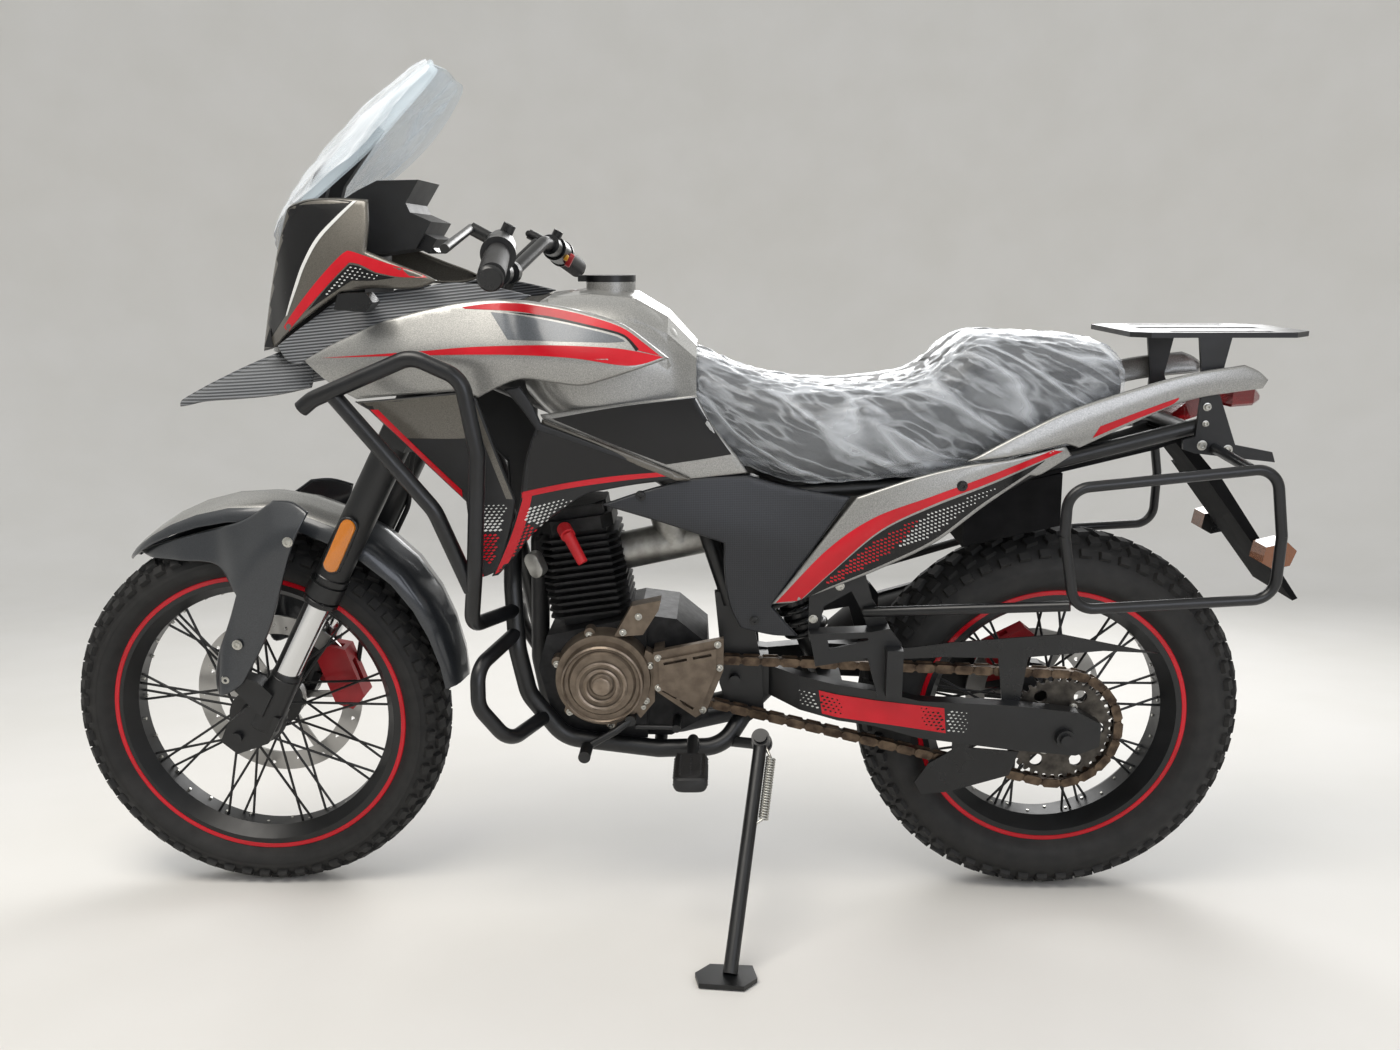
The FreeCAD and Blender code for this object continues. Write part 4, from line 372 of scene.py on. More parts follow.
def woven_plastic():
    """Black plastic moulded to look like twill cloth, one crossing every 5 mm."""
    material, tree, shader = new_material("woven_look_black_plastic", Roughness=0.4)
    where = upright(tree)
    tilt = add(tree, "ShaderNodeMapping", {0: where}, Rotation=(0.0, math.radians(45), 0.0),
               Scale=(400.0, 1.0, 400.0))
    split = add(tree, "ShaderNodeSeparateXYZ", {0: tilt})
    flat = add(tree, "ShaderNodeCombineXYZ", {0: split.outputs["X"], 1: split.outputs["Z"]})
    checks = add(tree, "ShaderNodeTexChecker", {0: flat}, Scale=1.0)
    tinted(tree, shader, checks.outputs["Fac"], "15161A", "22252A", 0.2, 0.8)
    bump(tree, shader, checks.outputs["Fac"], 0.0004, 0.45)
    return material


ribbed_grey = ribbed_plastic()
woven_black = woven_plastic()

# %% Metals
def cast_metal(name, dark, light, rough=0.45, metal=0.75, grain_mm=2.0):
    """Die casting, lacquered: mottled, with a pebbled skin."""
    material, tree, shader = new_material(name, Metallic=metal)
    tinted(tree, shader, mottle(tree, 18.0), dark, light)
    uneven_gloss(tree, shader, mottle(tree, 12.0), rough - 0.08, rough + 0.12)
    bump(tree, shader, mottle(tree, grain_mm, 2.0), 0.0004, 0.35)
    return material


def bright_metal(name, tint, rough, streak_mm=1.2):
    """Plated or ground steel with faint streaks."""
    material, tree, shader = new_material(name, Metallic=1.0, Base_Color=colour(tint))
    stretch = add(tree, "ShaderNodeMapping", {0: upright(tree)}, Scale=(40.0, 1000.0 / streak_mm, 40.0))
    streaks = add(tree, "ShaderNodeTexNoise", {0: stretch}, Scale=1.0, Detail=3.0)
    uneven_gloss(tree, shader, streaks, rough * 0.7, rough * 1.4)
    return material


bronze_cast = cast_metal("bronze_grey_casting", "64594E", "776B5E")
case_cast = cast_metal("dark_case_casting", "1D1D1E", "2B2B2C", 0.5, 0.6)
fin_black = cast_metal("black_cylinder_casting", "141414", "222223", 0.48, 0.5)
cast_alloy = cast_metal("plain_cast_alloy", "8D8C88", "A8A7A3", 0.4, 0.9)
chrome = bright_metal("hard_chrome", "D8D9DA", 0.1)
ground_steel = bright_metal("ground_disc_steel", "A9A8A6", 0.3)
zinc_bolt = bright_metal("zinc_plated_steel", "B5B4AE", 0.28)
chain_steel = cast_metal("oiled_chain_steel", "3B312A", "6A5B4C", 0.36, 0.9, 3.0)
sprocket_steel = cast_metal("dark_sprocket_steel", "3C3936", "5A5650", 0.4, 0.9)
exhaust_black = powder_coat("heatproof_black_paint", "131314", "1E1E20", 0.5)

# %% Rubber, glass and lenses
def tyre_rubber():
    """Vulcanised rubber, grey with dust in random patches and blacker where it is clean."""
    material, tree, shader = new_material("dusty_tyre_rubber")
    tinted(tree, shader, mottle(tree, 35.0, 6.0), "121212", "201F1E", 0.3, 0.75)
    uneven_gloss(tree, shader, mottle(tree, 20.0), 0.62, 0.85)
    bump(tree, shader, mottle(tree, 1.5, 3.0), 0.0003, 0.4)
    return material


def lens(name, tint, rough=0.05):
    """Moulded acrylic lens: clear coat over a deep colour, with small prisms 3 mm across."""
    material, tree, shader = new_material(name, Roughness=rough, Coat_Weight=1.0, IOR=1.49,
                                          Base_Color=colour(tint), Transmission_Weight=0.35)
    cells = add(tree, "ShaderNodeTexVoronoi", {0: upright(tree)}, Scale=330.0)
    bump(tree, shader, cells, 0.0006, 0.4)
    return material


def clear_acrylic():
    """Cast acrylic sheet, clear, 4 mm thick: face on almost unseen, brighter where it turns away."""
    material, tree, shader = new_material("clear_acrylic_sheet", IOR=1.49, Roughness=0.04,
                                          Base_Color=colour("CFDCE4"))
    edge = add(tree, "ShaderNodeLayerWeight", Blend=0.35)
    share = add(tree, "ShaderNodeMapRange", {0: edge.outputs["Facing"]}, To_Min=0.12, To_Max=0.7)
    tree.links.new(share.outputs[0], shader.inputs["Alpha"])
    return material


# Columns: noise scale per metre, how much of the film shows along a crest, as white that is partly the
# creased film and partly painted highlight
CREASE_HIGHLIGHTS = [(16.0, 0.34), (48.0, 0.2)]


def packing_film(name, slant):
    """Clear stretch film: almost unseen where it lies flat, and white along its creases. A noise
    that is stretched five times along the slant, in degrees, gives them: large and small ones. The
    white along them is partly the creased film and partly a painted highlight."""
    material, tree, shader = new_material(name, IOR=1.5, Roughness=0.16, Base_Color=colour("F1F5F9"))
    turned = add(tree, "ShaderNodeMapping", {0: upright(tree)},
                 Rotation=(0.0, math.radians(slant), 0.0))
    drawn = add(tree, "ShaderNodeMapping", {0: turned}, Scale=(0.2, 0.7, 1.0))
    seen = []
    for scale, crest_highlight in CREASE_HIGHLIGHTS:
        folds = add(tree, "ShaderNodeTexNoise", {0: drawn}, Scale=scale, Detail=1.5, Roughness=0.5,
                    Distortion=0.5)
        # Along each crest the film shows its white: partly the creased film, partly a painted
        # highlight.
        lines = [(0.4, (0.05,) * 3 + (1,)), (0.5, (crest_highlight,) * 3 + (1,)), (0.56, (0.07,) * 3 + (1,))]
        seen.append(ramp(tree, folds, lines))
    both = add(tree, "ShaderNodeMath", {0: seen[0], 1: seen[1]}, operation="MAXIMUM")
    edge = add(tree, "ShaderNodeLayerWeight", Blend=0.3)
    rim = add(tree, "ShaderNodeMapRange", {0: edge.outputs["Facing"]}, From_Min=0.3, To_Max=0.5)
    share = add(tree, "ShaderNodeMath", {0: both, 1: rim}, operation="ADD", use_clamp=True)
    tree.links.new(share.outputs[0], shader.inputs["Alpha"])
    bump(tree, shader, both, 0.008, 0.8)
    return material


flap_black = moulded_plastic("black_polypropylene_flap", "0C0C0D", "141415", 0.8, 2.0, 0.0003)
flap_black.node_tree.nodes["Principled BSDF"].inputs["Specular IOR Level"].default_value = 0.12
seat_film = packing_film("clear_seat_film", 28.0)
screen_film = packing_film("clear_screen_film", -48.0)
rubber_black = moulded_plastic("black_rubber", "101011", "1A1A1B", 0.62, 2.2, 0.0004)
tyre_black = tyre_rubber()
amber_lens = lens("amber_reflector_acrylic", "E8860C")
amber_smoke = lens("amber_signal_acrylic", "8A4A10")
lever_black = powder_coat("black_lever_coat", "0C0C0D", "161617", 0.3)
yellow_plastic = moulded_plastic("yellow_switch_plastic", "C98F0A", "D89E14", 0.4, 2.0, 0.0001)
plug_red = moulded_plastic("red_silicone_rubber", "B5121B", "C81C24", 0.5, 3.0, 0.0002)
bronze_light = cast_metal("machined_bronze_grey_casting", "7D7062", "93867A", 0.32, 0.85, 1.2)
red_lens = lens("red_lamp_acrylic", "7A0C12")
clear_lens = lens("clear_lamp_acrylic", "BFC6CC")
smoke_screen = lens("smoked_screen_acrylic", "16181A", 0.04)
dash_glass = lens("dark_display_glass", "0A0D12", 0.03)
clear_screen = clear_acrylic()
print("materials:", len(bpy.data.materials))

# %% [markdown]
# ## Dressing the mechanical solids
# A solid whose shape is already right only needs its finish, so each one gets a material in its
# own slot. The table is the whole paint shop. A solid that a drawn piece replaces later is in it
# too, so that nothing is ever left without a finish.

# %% Finish of each solid
FINISH = {"frame": frame_black, "rear_frame": frame_black, "crash_bars": bar_black,
          "swingarm": frame_black, "shock": smooth_black, "engine_case": case_cast,
          "generator_cover": bronze_cast, "clutch_cover": bronze_cast, "sprocket_cover": bronze_cast,
          "cylinder": fin_black, "carburettor": cast_alloy, "exhaust": exhaust_black,
          "tank": silver_paint, "fuel_cap": smooth_black, "seat": soft_black, "cowls": silver_paint,
          "lower_cowls": soft_black, "nose": painted_shade_paint, "lamp_housing": soft_black,
          "headlight": clear_lens, "windscreen": clear_screen, "beak": ribbed_grey,
          "side_covers": woven_black, "tail": silver_paint, "rear_rack": bar_black,
          "pannier_racks": bar_black, "plate_holder": flap_black, "chain": chain_steel,
          "chain_guard": smooth_black, "pegs": frame_black, "side_stand": frame_black,
          "fork_upper": frame_black, "fork_lower": chrome, "front_fender": silver_paint,
          "handlebar": bar_black, "controls_left": rubber_black, "controls_right": rubber_black,
          "front_tyre": tyre_black, "rear_tyre": tyre_black, "front_rim": frame_black,
          "rear_rim": frame_black, "front_hub": frame_black, "rear_hub": frame_black,
          "front_disc": ground_steel, "rear_disc": ground_steel, "rear_sprocket": sprocket_steel,
          "rear_caliper": caliper_red, "front_caliper": caliper_red, "brake_hose": rubber_black,
          "tail_lamp": red_lens, "signals": smooth_black}

for name, solid in frame["nodes"].items():
    finish = FINISH[name]
    for slot in solid.material_slots:
        slot.material = finish
    if not solid.material_slots:
        solid.data.materials.append(finish)
print("finished solids:", len(frame["nodes"]))

# %% [markdown]
# ## Outlines, skins and moulded panels
# A side panel of a motorcycle is a curved sheet with a drawn outline. The outline is easiest to
# read from the side, so it is kept as strokes: each stroke is a smooth curve that goes on from the
# corner where the last one ended. A stroke of one point is a straight line to it.
# The skin's distance from the middle of the machine comes from a few measured rows with a
# fold between them. A constrained triangulation fills the outline, and the rim is rolled inwards by
# a few millimetres, as a moulded edge is, which gives it the thin highlight that real panels have.

# %% Outlines
def curve_through(points, step=7.0):
    """Points along a smooth curve through the given ones."""
    made = []
    last = len(points) - 1
    for k in range(last):
        a, b = points[max(k - 1, 0)], points[k]
        c, d = points[k + 1], points[min(k + 2, last)]
        count = max(1, round(math.dist(b, c) / step))
        for i in range(count):
            t = i / count
            spot = []
            for p, q, r, s in zip(a, b, c, d):
                bend = 2 * p - 5 * q + 4 * r - s
                cube = 3 * q - p - 3 * r + s
                spot.append(0.5 * (2 * q + (r - p) * t + bend * t * t + cube * t ** 3))
            made.append(tuple(spot))
    made.append(tuple(points[-1]))
    return made


def closed(first, *strokes):
    """A closed outline: the first stroke, and those that go on from it, back to its start."""
    loop, corner = curve_through(first)[:-1], first[-1]
    for stroke in strokes:
        loop += curve_through([corner, *stroke])[:-1]
        corner = stroke[-1]
    return loop


def edges(loop):
    return zip(loop, loop[1:] + loop[:1])


def twice_area(loop):
    """Positive where the outline runs counter-clockwise."""
    total = 0.0
    for (x1, z1), (x2, z2) in edges(loop):
        total += x1 * z2 - x2 * z1
    return total


def inside(loop, x, z):
    held = False
    for (x1, z1), (x2, z2) in edges(loop):
        if (z1 > z) != (z2 > z) and x < x1 + (z - z1) * (x2 - x1) / (z2 - z1):
            held = not held
    return held


def away(loop, x, z):
    """Distance from a point to an outline."""
    nearest = 1e9
    for (x1, z1), (x2, z2) in edges(loop):
        along_x, along_z = x2 - x1, z2 - z1
        length = along_x * along_x + along_z * along_z
        share = 0.0
        if length > 0:
            share = max(0.0, min(1.0, ((x - x1) * along_x + (z - z1) * along_z) / length))
        nearest = min(nearest, math.hypot(x - x1 - share * along_x, z - z1 - share * along_z))
    return nearest


# %% Filling an outline with triangles
# The rim gets rings of points at these shares of the roll, and the rest rows of points, which lie
# as in a net of triangles
ROLL_SHARES = (0.25, 0.55, 1.0)
ROW_PITCH = 0.87


def fill(loop, grid=9.0, roll=0.0):
    """Vertices (x, z, distance from the rim) and triangles inside an outline."""
    if twice_area(loop) < 0:
        loop = loop[::-1]
    spots = [(x, z, 0.0) for x, z in loop]
    count = len(loop)
    for depth in [roll * share for share in ROLL_SHARES] if roll else []:
        for k, (x, z) in enumerate(loop):
            before, after = loop[k - 1], loop[(k + 1) % count]
            way_x, way_z = after[0] - before[0], after[1] - before[1]
            size = math.hypot(way_x, way_z) or 1.0
            near_x, near_z = x - way_z / size * depth, z + way_x / size * depth
            if inside(loop, near_x, near_z) and away(loop, near_x, near_z) > depth * 0.8:
                spots.append((near_x, near_z, depth))
    low_x, high_x = min(x for x, z in loop), max(x for x, z in loop)
    low_z, high_z = min(z for x, z in loop), max(z for x, z in loop)
    margin = max(roll + grid * 0.35, grid * 0.45)
    line = 0
    z = low_z
    while z < high_z:
        x = low_x + (grid / 2 if line % 2 else 0.0)
        while x < high_x:
            if inside(loop, x, z):
                gap = away(loop, x, z)
                if gap > margin:
                    spots.append((x, z, gap))
            x += grid
        z += grid * ROW_PITCH
        line += 1
    flat = [Vector((x, z)) for x, z, gap in spots]
    made = geometry.delaunay_2d_cdt(flat, [], [list(range(count))], 1, 1e-5)
    kept = []
    for place, origins in zip(made[0], made[3]):
        gap = spots[origins[0]][2] if origins else 0.0
        kept.append((place[0], place[1], gap))
    return kept, [tuple(face) for face in made[2]]


# %% Skins from measured rows
def between_rows(rows, x):
    """The row at x, smoothly between the rows beside it. Rows run from the front to the rear."""
    x = max(min(x, rows[0][0]), rows[-1][0])
    k = 0
    while k < len(rows) - 2 and x < rows[k + 1][0]:
        k += 1
    a, b = rows[k], rows[k + 1]
    before, after = rows[max(k - 1, 0)], rows[min(k + 2, len(rows) - 1)]
    run = b[0] - a[0]
    t = (x - a[0]) / run
    values = []
    for i in range(1, len(a)):
        slope_a = (b[i] - before[i]) / (b[0] - before[0]) * run
        slope_b = (after[i] - a[i]) / (after[0] - a[0]) * run
        t2, t3 = t * t, t * t * t
        values.append((2 * t3 - 3 * t2 + 1) * a[i] + (t3 - 2 * t2 + t) * slope_a
                      + (3 * t2 - 2 * t3) * b[i] + (t3 - t2) * slope_b)
    return values


def skin(rows, fold=8.0, hollow=False):
    """Distance from the middle at (x, z). Columns: x, top z, y, fold z, y, low z, y."""
    def height(x, z):
        z0, y0, z1, y1, z2, y2 = between_rows(rows, x)
        upper = y1 + (z - z1) * (y0 - y1) / (z0 - z1)
        lower = y1 + (z - z1) * (y2 - y1) / (z2 - z1)
        soften = 0.5 * math.sqrt((upper - lower) ** 2 + fold * fold)
        return (upper + lower) / 2 + (soften if hollow else -soften)
    return height


# %% Finished pieces
SHARP = math.radians(38)


def piece(name, bm, material, body, slot=None, stands_for=(), sharp=SHARP):
    """A finished object from a mesh that was drawn upright in millimetres."""
    for face in bm.faces:
        face.smooth = True
    for edge in bm.edges:
        edge.smooth = len(edge.link_faces) == 2 and edge.calc_face_angle(0.0) < sharp
    bm.transform(TO_ROW)
    made = mesh_object(name, bm)
    for finish in material if isinstance(material, (list, tuple)) else [material]:
        made.data.materials.append(finish)
    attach(made, body)
    if stands_for:
        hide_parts(*stands_for)
    print(name, len(made.data.polygons), "faces")
    return made


def sheet_shell(bm, vertices, faces, thickness):
    """Closes a sheet into a shell: the inner wall lies thickness behind the outer one."""
    outer = [bm.verts.new(place) for place in vertices]
    ways = [Vector((0.0, 0.0, 0.0)) for place in vertices]
    for face in faces:
        a, b, c = (Vector(vertices[k]) for k in face)
        facing = (b - a).cross(c - a)
        for k in face:
            ways[k] += facing
    inner = [bm.verts.new(Vector(place) - way.normalized() * thickness)
             for place, way in zip(vertices, ways)]
    rim = {}
    for face in faces:
        bm.faces.new([outer[k] for k in face])
        bm.faces.new([inner[k] for k in reversed(face)])
        for a, b in zip(face, face[1:] + face[:1]):
            rim[(a, b)] = True
    for a, b in rim:
        if (b, a) not in rim:
            bm.faces.new([outer[b], outer[a], inner[a], inner[b]])


def both_sides(place_faces):
    """The same sheet on the left and, turned round, on the right."""
    vertices, faces = place_faces
    yield vertices, faces
    yield [(x, -y, z) for x, y, z in vertices], [tuple(reversed(face)) for face in faces]


skins = {}
OUTSIDE = 600.0


def panel_sheet(name, loop, height, roll):
    """Left sheet of a panel, with its rim rolled in, kept for what is laid on it."""
    spots, faces = fill(loop, roll=roll)
    vertices = []
    for x, z, gap in spots:
        sink = 0.0
        if gap < roll:
            sink = roll - math.sqrt(max(roll * roll - (roll - gap) ** 2, 0.0))
        vertices.append((x, height(x, z) - sink, z))
    # Seen from the left the front is on the left hand, so a counter-clockwise face points inwards
    faces = [tuple(reversed(face)) for face in faces]
    skins[name] = BVHTree.FromPolygons([Vector(v) for v in vertices], faces)
    return vertices, faces


def panel(name, parts, material, slot, stands_for=(), thickness=3.0, body="chassis"):
    """Panels on both sides as one piece. Parts: (skin name, outline, height, roll)."""
    bm = bmesh.new()
    for skin_name, loop, height, roll in parts:
        for vertices, faces in both_sides(panel_sheet(skin_name, loop, height, roll)):
            sheet_shell(bm, vertices, faces, thickness)
    piece(name, bm, material, body, slot, stands_for)


# %% Films on panels
FILM = 0.25


def outermost(skin_names, x, z):
    """Where a line from the left first meets the skins, and the way they face there."""
    best = None
    for skin_name in skin_names:
        at, way = skins[skin_name].ray_cast(Vector((x, OUTSIDE, z)), Vector((0.0, -1.0, 0.0)))[:2]
        if at and (best is None or at.y > best[0].y):
            best = at, way
    return best


def drop_loose(bm):
    loose = [vertex for vertex in bm.verts if not vertex.link_faces]
    bmesh.ops.delete(bm, geom=loose, context="VERTS")


def film(name, skin_names, loops, material, slot, lift=0.25, grid=8.0):
    """Film laid on panels, on both sides: mostly printed film, and in places painted shade or a painted
    highlight.
    """
    bm = bmesh.new()
    for loop in loops:
        spots, faces = fill(loop, grid)
        vertices, missed = [], set()
        for k, (x, z, _) in enumerate(spots):
            hit = outermost(skin_names, x, z)
            if not hit:
                missed.add(k)
            vertices.append((x, (hit[0].y if hit else 0.0) + lift + FILM, z))
        faces = [tuple(reversed(face)) for face in faces if not missed & set(face)]
        for sheet_vertices, sheet_faces in both_sides((vertices, faces)):
            sheet_shell(bm, sheet_vertices, sheet_faces, FILM)
    drop_loose(bm)
    piece(name, bm, material, "chassis", slot)


# %% [markdown]
# ## The silver wings
# The wings beside the tank are the largest painted panels. They are injection moulded ABS with
# metallic paint. Their surface folds along the lower red stripe, and below the fold it faces the
# ground, so it looks much darker. Between the stripes a facet is pressed in and takes less light.
# It is drawn as a thin layer of a darker paint, because its step is smaller than the panel's net.

# %% Wings
wing_outline = closed([(1197, 952), (1150, 977), (1110, 995), (1073, 1010), (1034, 1021), (990, 1031),
                      (951, 1038), (908, 1042), (865, 1041), (821, 1035), (780, 1027), (733, 1014),
                      (705, 1003), (678, 984), (642, 956)], [(688, 941), (735, 926), (772, 917),
                      (812, 921), (857, 927), (893, 916), (927, 899)], [(958, 909)], [(1040, 902),
                      (1117, 894)], [(1158, 918), (1197, 952)])
WING_ROWS = [(1215, 1000, 128, 952, 150, 880, 138), (1120, 1030, 142, 954, 177, 880, 160),
             (1040, 1045, 148, 960, 191, 880, 170), (950, 1060, 150, 962, 199, 880, 178),
             (860, 1060, 150, 962, 203, 880, 178), (760, 1045, 150, 955, 204, 880, 182),
             (690, 1030, 154, 943, 200, 880, 182), (630, 1000, 162, 936, 188, 880, 176)]
panel("side_wings", [("wing", wing_outline, skin(WING_ROWS), 5.0)], silver_paint, "cowls", ["cowls"])

lower_stripe = closed([(1164, 957), (1085, 963), (1004, 969), (927, 975), (822, 977), (733, 973),
                      (690, 967), (650, 958)], [(700, 947), (786, 959), (893, 964), (1035, 962),
                      (1164, 957)])
upper_stripe = closed([(948, 1031), (908, 1036), (865, 1036), (821, 1030), (780, 1022), (733, 1009),
                      (706, 998), (682, 981), (655, 960)], [(690, 969)], [(704, 984), (716, 993)],
                      [(760, 1004), (821, 1017), (870, 1025), (948, 1029)])
film("wing_red_stripes", ["wing"], [lower_stripe, upper_stripe], red_film, "cowls")
thin_line = closed([(690, 967), (702, 982), (716, 991), (760, 1002), (821, 1015), (880, 1024)],
                   [(821, 1018), (760, 1005), (716, 994), (700, 985), (686, 970)], [(690, 967)])
film("wing_black_lines", ["wing"], [thin_line], black_film, "cowls", lift=0.4)
facet = closed([(905, 1024), (870, 1020), (821, 1012), (760, 999), (718, 988), (706, 981)], [(733, 980),
               (822, 983), (878, 985)], [(905, 1024)])
film("wing_shade_facets", ["wing"], [facet], facet_paint, "cowls", lift=0.1)

# %% [markdown]
# ## Nose cheeks, chevrons and the ribbed cover
# Each cheek of the lamp cowl is silver paint that faces the ground, drawn in a darker grey as painted
# shade and a painted reflection of the ground. It carries a red chevron with a small black field under
# it, both thin films that are laid on the finished panel. The cover between cheek and wing has fine
# moulded ribs, which a wave in the material gives; the same wave paints each crest lighter and each
# groove darker, as painted light and shade.

# %% Cheeks
cheek_outline = closed([(1298, 958), (1282, 1004), (1262, 1062), (1242, 1120), (1221, 1180)],
                       [(1184, 1189), (1140, 1190), (1089, 1187)], [(1086, 1150), (1089, 1113)],
                       [(1048, 1096), (1006, 1080), (984, 1069)], [(1006, 1060), (1032, 1057),
                       (1080, 1058), (1131, 1053)], [(1186, 1019), (1241, 984)], [(1268, 966),
                       (1298, 958)])
CHEEK_ROWS = [(1305, 1200, 40, 990, 52, 940, 48), (1262, 1200, 66, 1040, 92, 940, 84),
              (1221, 1200, 92, 1070, 128, 940, 118), (1150, 1200, 116, 1100, 154, 940, 146),
              (1089, 1200, 122, 1105, 162, 940, 156), (980, 1200, 130, 1076, 168, 940, 162)]
panel("nose_cheeks", [("cheek", cheek_outline, skin(CHEEK_ROWS, 14.0), 6.0)], painted_shade_paint, "nose",
      ["nose"])

chevron = closed([(1238, 1000), (1200, 1038), (1160, 1077), (1124, 1109), (1114, 1113)], [(1106, 1111),
                 (1060, 1096), (1010, 1081)], [(998, 1074)], [(1040, 1075), (1075, 1082)],
                 [(1100, 1094), (1114, 1096)], [(1150, 1064), (1190, 1028), (1230, 992)],
                 [(1238, 1000)])
film("cheek_red_chevrons", ["cheek"], [chevron], red_film, "nose")
dot_field = closed([(1188, 1026), (1150, 1062), (1114, 1093)], [(1100, 1091), (1075, 1080),
                   (1046, 1074)], [(1080, 1070), (1112, 1070)], [(1150, 1048), (1188, 1026)])
film("cheek_black_fields", ["cheek"], [dot_field], black_film, "nose", lift=0.2)

# %% Ribbed cover
cover_outline = closed([(1246, 972), (1190, 1010), (1131, 1047), (1080, 1052), (1032, 1053),
                       (983, 1065), (940, 1064), (900, 1058), (850, 1046)], [(880, 1036), (951, 1033),
                       (1034, 1015), (1073, 1004), (1150, 973), (1205, 944)], [(1228, 950),
                       (1246, 972)])
COVER_ROWS = [(1275, 1080, 70, 985, 112, 930, 130), (1200, 1090, 96, 990, 138, 930, 150),
              (1120, 1100, 116, 1030, 148, 960, 166), (1040, 1100, 122, 1040, 154, 960, 176),
              (950, 1100, 118, 1045, 150, 990, 174), (830, 1100, 108, 1045, 136, 1000, 162)]
panel("ribbed_covers", [("cover", cover_outline, skin(COVER_ROWS), 4.0)], ribbed_grey, "beak")

# %% [markdown]
# ## The panels beside the engine
# Below each wing hangs a black shroud that ends in two legs. A slot between its front and rear part
# lets warm air out, with a thin strut along it. On the real machine the colours are printed film on
# one black moulding, so the lesson models the moulding once and lays films on it.

# %% Shrouds
SHROUD_ROWS = [(1130, 930, 168, 885, 177, 590, 150), (1040, 930, 176, 878, 183, 590, 156),
               (950, 930, 184, 850, 186, 590, 160), (880, 930, 178, 800, 176, 590, 154),
               (800, 930, 172, 780, 164, 590, 150), (700, 930, 160, 780, 156, 590, 146),
               (610, 930, 150, 770, 150, 590, 142)]
shroud_skin = skin(SHROUD_ROWS, 6.0)
front_shroud = closed([(1117, 892), (1040, 899), (958, 908)], [(944, 903), (930, 899)], [(906, 820),
                      (881, 738)], [(892, 690), (914, 625)], [(934, 615), (957, 610)], [(955, 680),
                      (957, 738)], [(1025, 808), (1096, 880)], [(1117, 892)])
rear_shroud = closed([(891, 911), (866, 915)], [(850, 890), (837, 858)], [(740, 818), (640, 776)],
                     [(626, 767)], [(700, 759), (770, 747)], [(800, 729), (850, 692), (890, 644),
                     (916, 616)], [(926, 614)], [(896, 680), (875, 735)], [(864, 800), (846, 850)],
                     [(868, 884), (891, 911)])
panel("front_shrouds", [("front_shroud", front_shroud, shroud_skin, 4.0),
                        ("rear_shroud", rear_shroud, shroud_skin, 4.0)],
      soft_black, "lower_cowls", ["lower_cowls"])

# The trapezoid and the strut are silver on the real moulding; their films take the darker silver,
# painted shade and a painted reflection of the ground.
trapezoid = closed([(1112, 890), (1040, 897), (958, 904)], [(940, 899)], [(924, 846)], [(952, 838),
                   (1050, 838)], [(1082, 868)], [(1112, 890)])
strut = closed([(944, 897), (919, 818), (895, 742)], [(885, 741)], [(910, 819), (934, 896)],
               [(944, 897)])
film("khaki_shroud_fields", ["front_shroud"], [trapezoid, strut], painted_shade_paint, "lower_cowls")
diagonal = closed([(1092, 881), (1025, 812), (961, 746)], [(961, 757)], [(1022, 820), (1080, 881)],
                  [(1092, 881)])
leg_stripe = closed([(855, 748), (872, 690), (903, 628)], [(920, 619)], [(891, 682), (871, 738)],
                    [(868, 750)], [(855, 748)])
red_edge = closed([(876, 742), (800, 756), (715, 767), (634, 774)], [(640, 780)], [(720, 775),
                  (800, 765), (872, 752)], [(876, 742)])
front_leg_stripe = closed([(956, 632), (950, 612)], [(938, 616)], [(944, 660), (950, 690)],
                          [(956, 632)])
film("red_shroud_stripes", ["front_shroud", "rear_shroud"],
     [diagonal, leg_stripe, red_edge, front_leg_stripe], red_film, "lower_cowls", lift=0.5, grid=6.0)
gloss_field = closed([(846, 850), (740, 810), (660, 778)], [(740, 774), (862, 756)], [(858, 800),
                     (846, 850)])
film("gloss_shroud_fields", ["rear_shroud"], [gloss_field], black_film, "lower_cowls", lift=0.15)

# %% [markdown]
# ## The tank and its corner panels
# A steel tank is pressed in two halves, so its surface has long, slow curves. A loft through rounded
# sections gives them: each section lies between an ellipse and a box, and a smooth curve through the
# rows fills in the sections between. The corner panels below it are drawn as the wings were.

# %% Lofts through rounded sections
def ring_of(half, top, low, square, corners):
    """A closed section (y, z), between an ellipse, square 1, and a box, square 0."""
    middle, height = (top + low) / 2, (top - low) / 2
    ring = []
    for i in range(corners):
        angle = 2 * math.pi * (i + 0.5) / corners
        c, s = math.cos(angle), math.sin(angle)
        ring.append((half * math.copysign(abs(c) ** square, c),
                     middle + height * math.copysign(abs(s) ** square, s)))
    return ring


def loft_rings(bm, rings):
    """Closed rings of equal length, joined and capped. Returns the rings' vertices."""
    rows = [[bm.verts.new(place) for place in ring] for ring in rings]
    for one, two in zip(rows, rows[1:]):
        for i in range(len(one)):
            j = (i + 1) % len(one)
            bm.faces.new([one[i], one[j], two[j], two[i]])
    bm.faces.new(rows[0][::-1])
    bm.faces.new(rows[-1])
    return rows


def finish_normals(bm):
    bmesh.ops.recalc_face_normals(bm, faces=bm.faces)


def loft(name, rings, material, slot, stands_for=(), sharp=SHARP):
    """A piece of the chassis lofted through rings."""
    bm = bmesh.new()
    loft_rings(bm, rings)
    finish_normals(bm)
    piece(name, bm, material, "chassis", slot, stands_for, sharp)


# Columns: x, half width, top z, low z, squareness
TANK_ROWS = [(606, 92, 966, 780, 0.62), (628, 108, 992, 778, 0.64), (650, 118, 1016, 776, 0.66),
             (700, 134, 1045, 772, 0.68), (770, 142, 1052, 800, 0.7), (836, 130, 1043, 850, 0.72),
             (872, 98, 1020, 884, 0.74)]
loft("tank_body", [[(x, y, z) for y, z in ring_of(half, top, low, square, 56)]
                   for x, half, top, low, square in curve_through(TANK_ROWS, 9.0)],
     silver_paint, "tank")

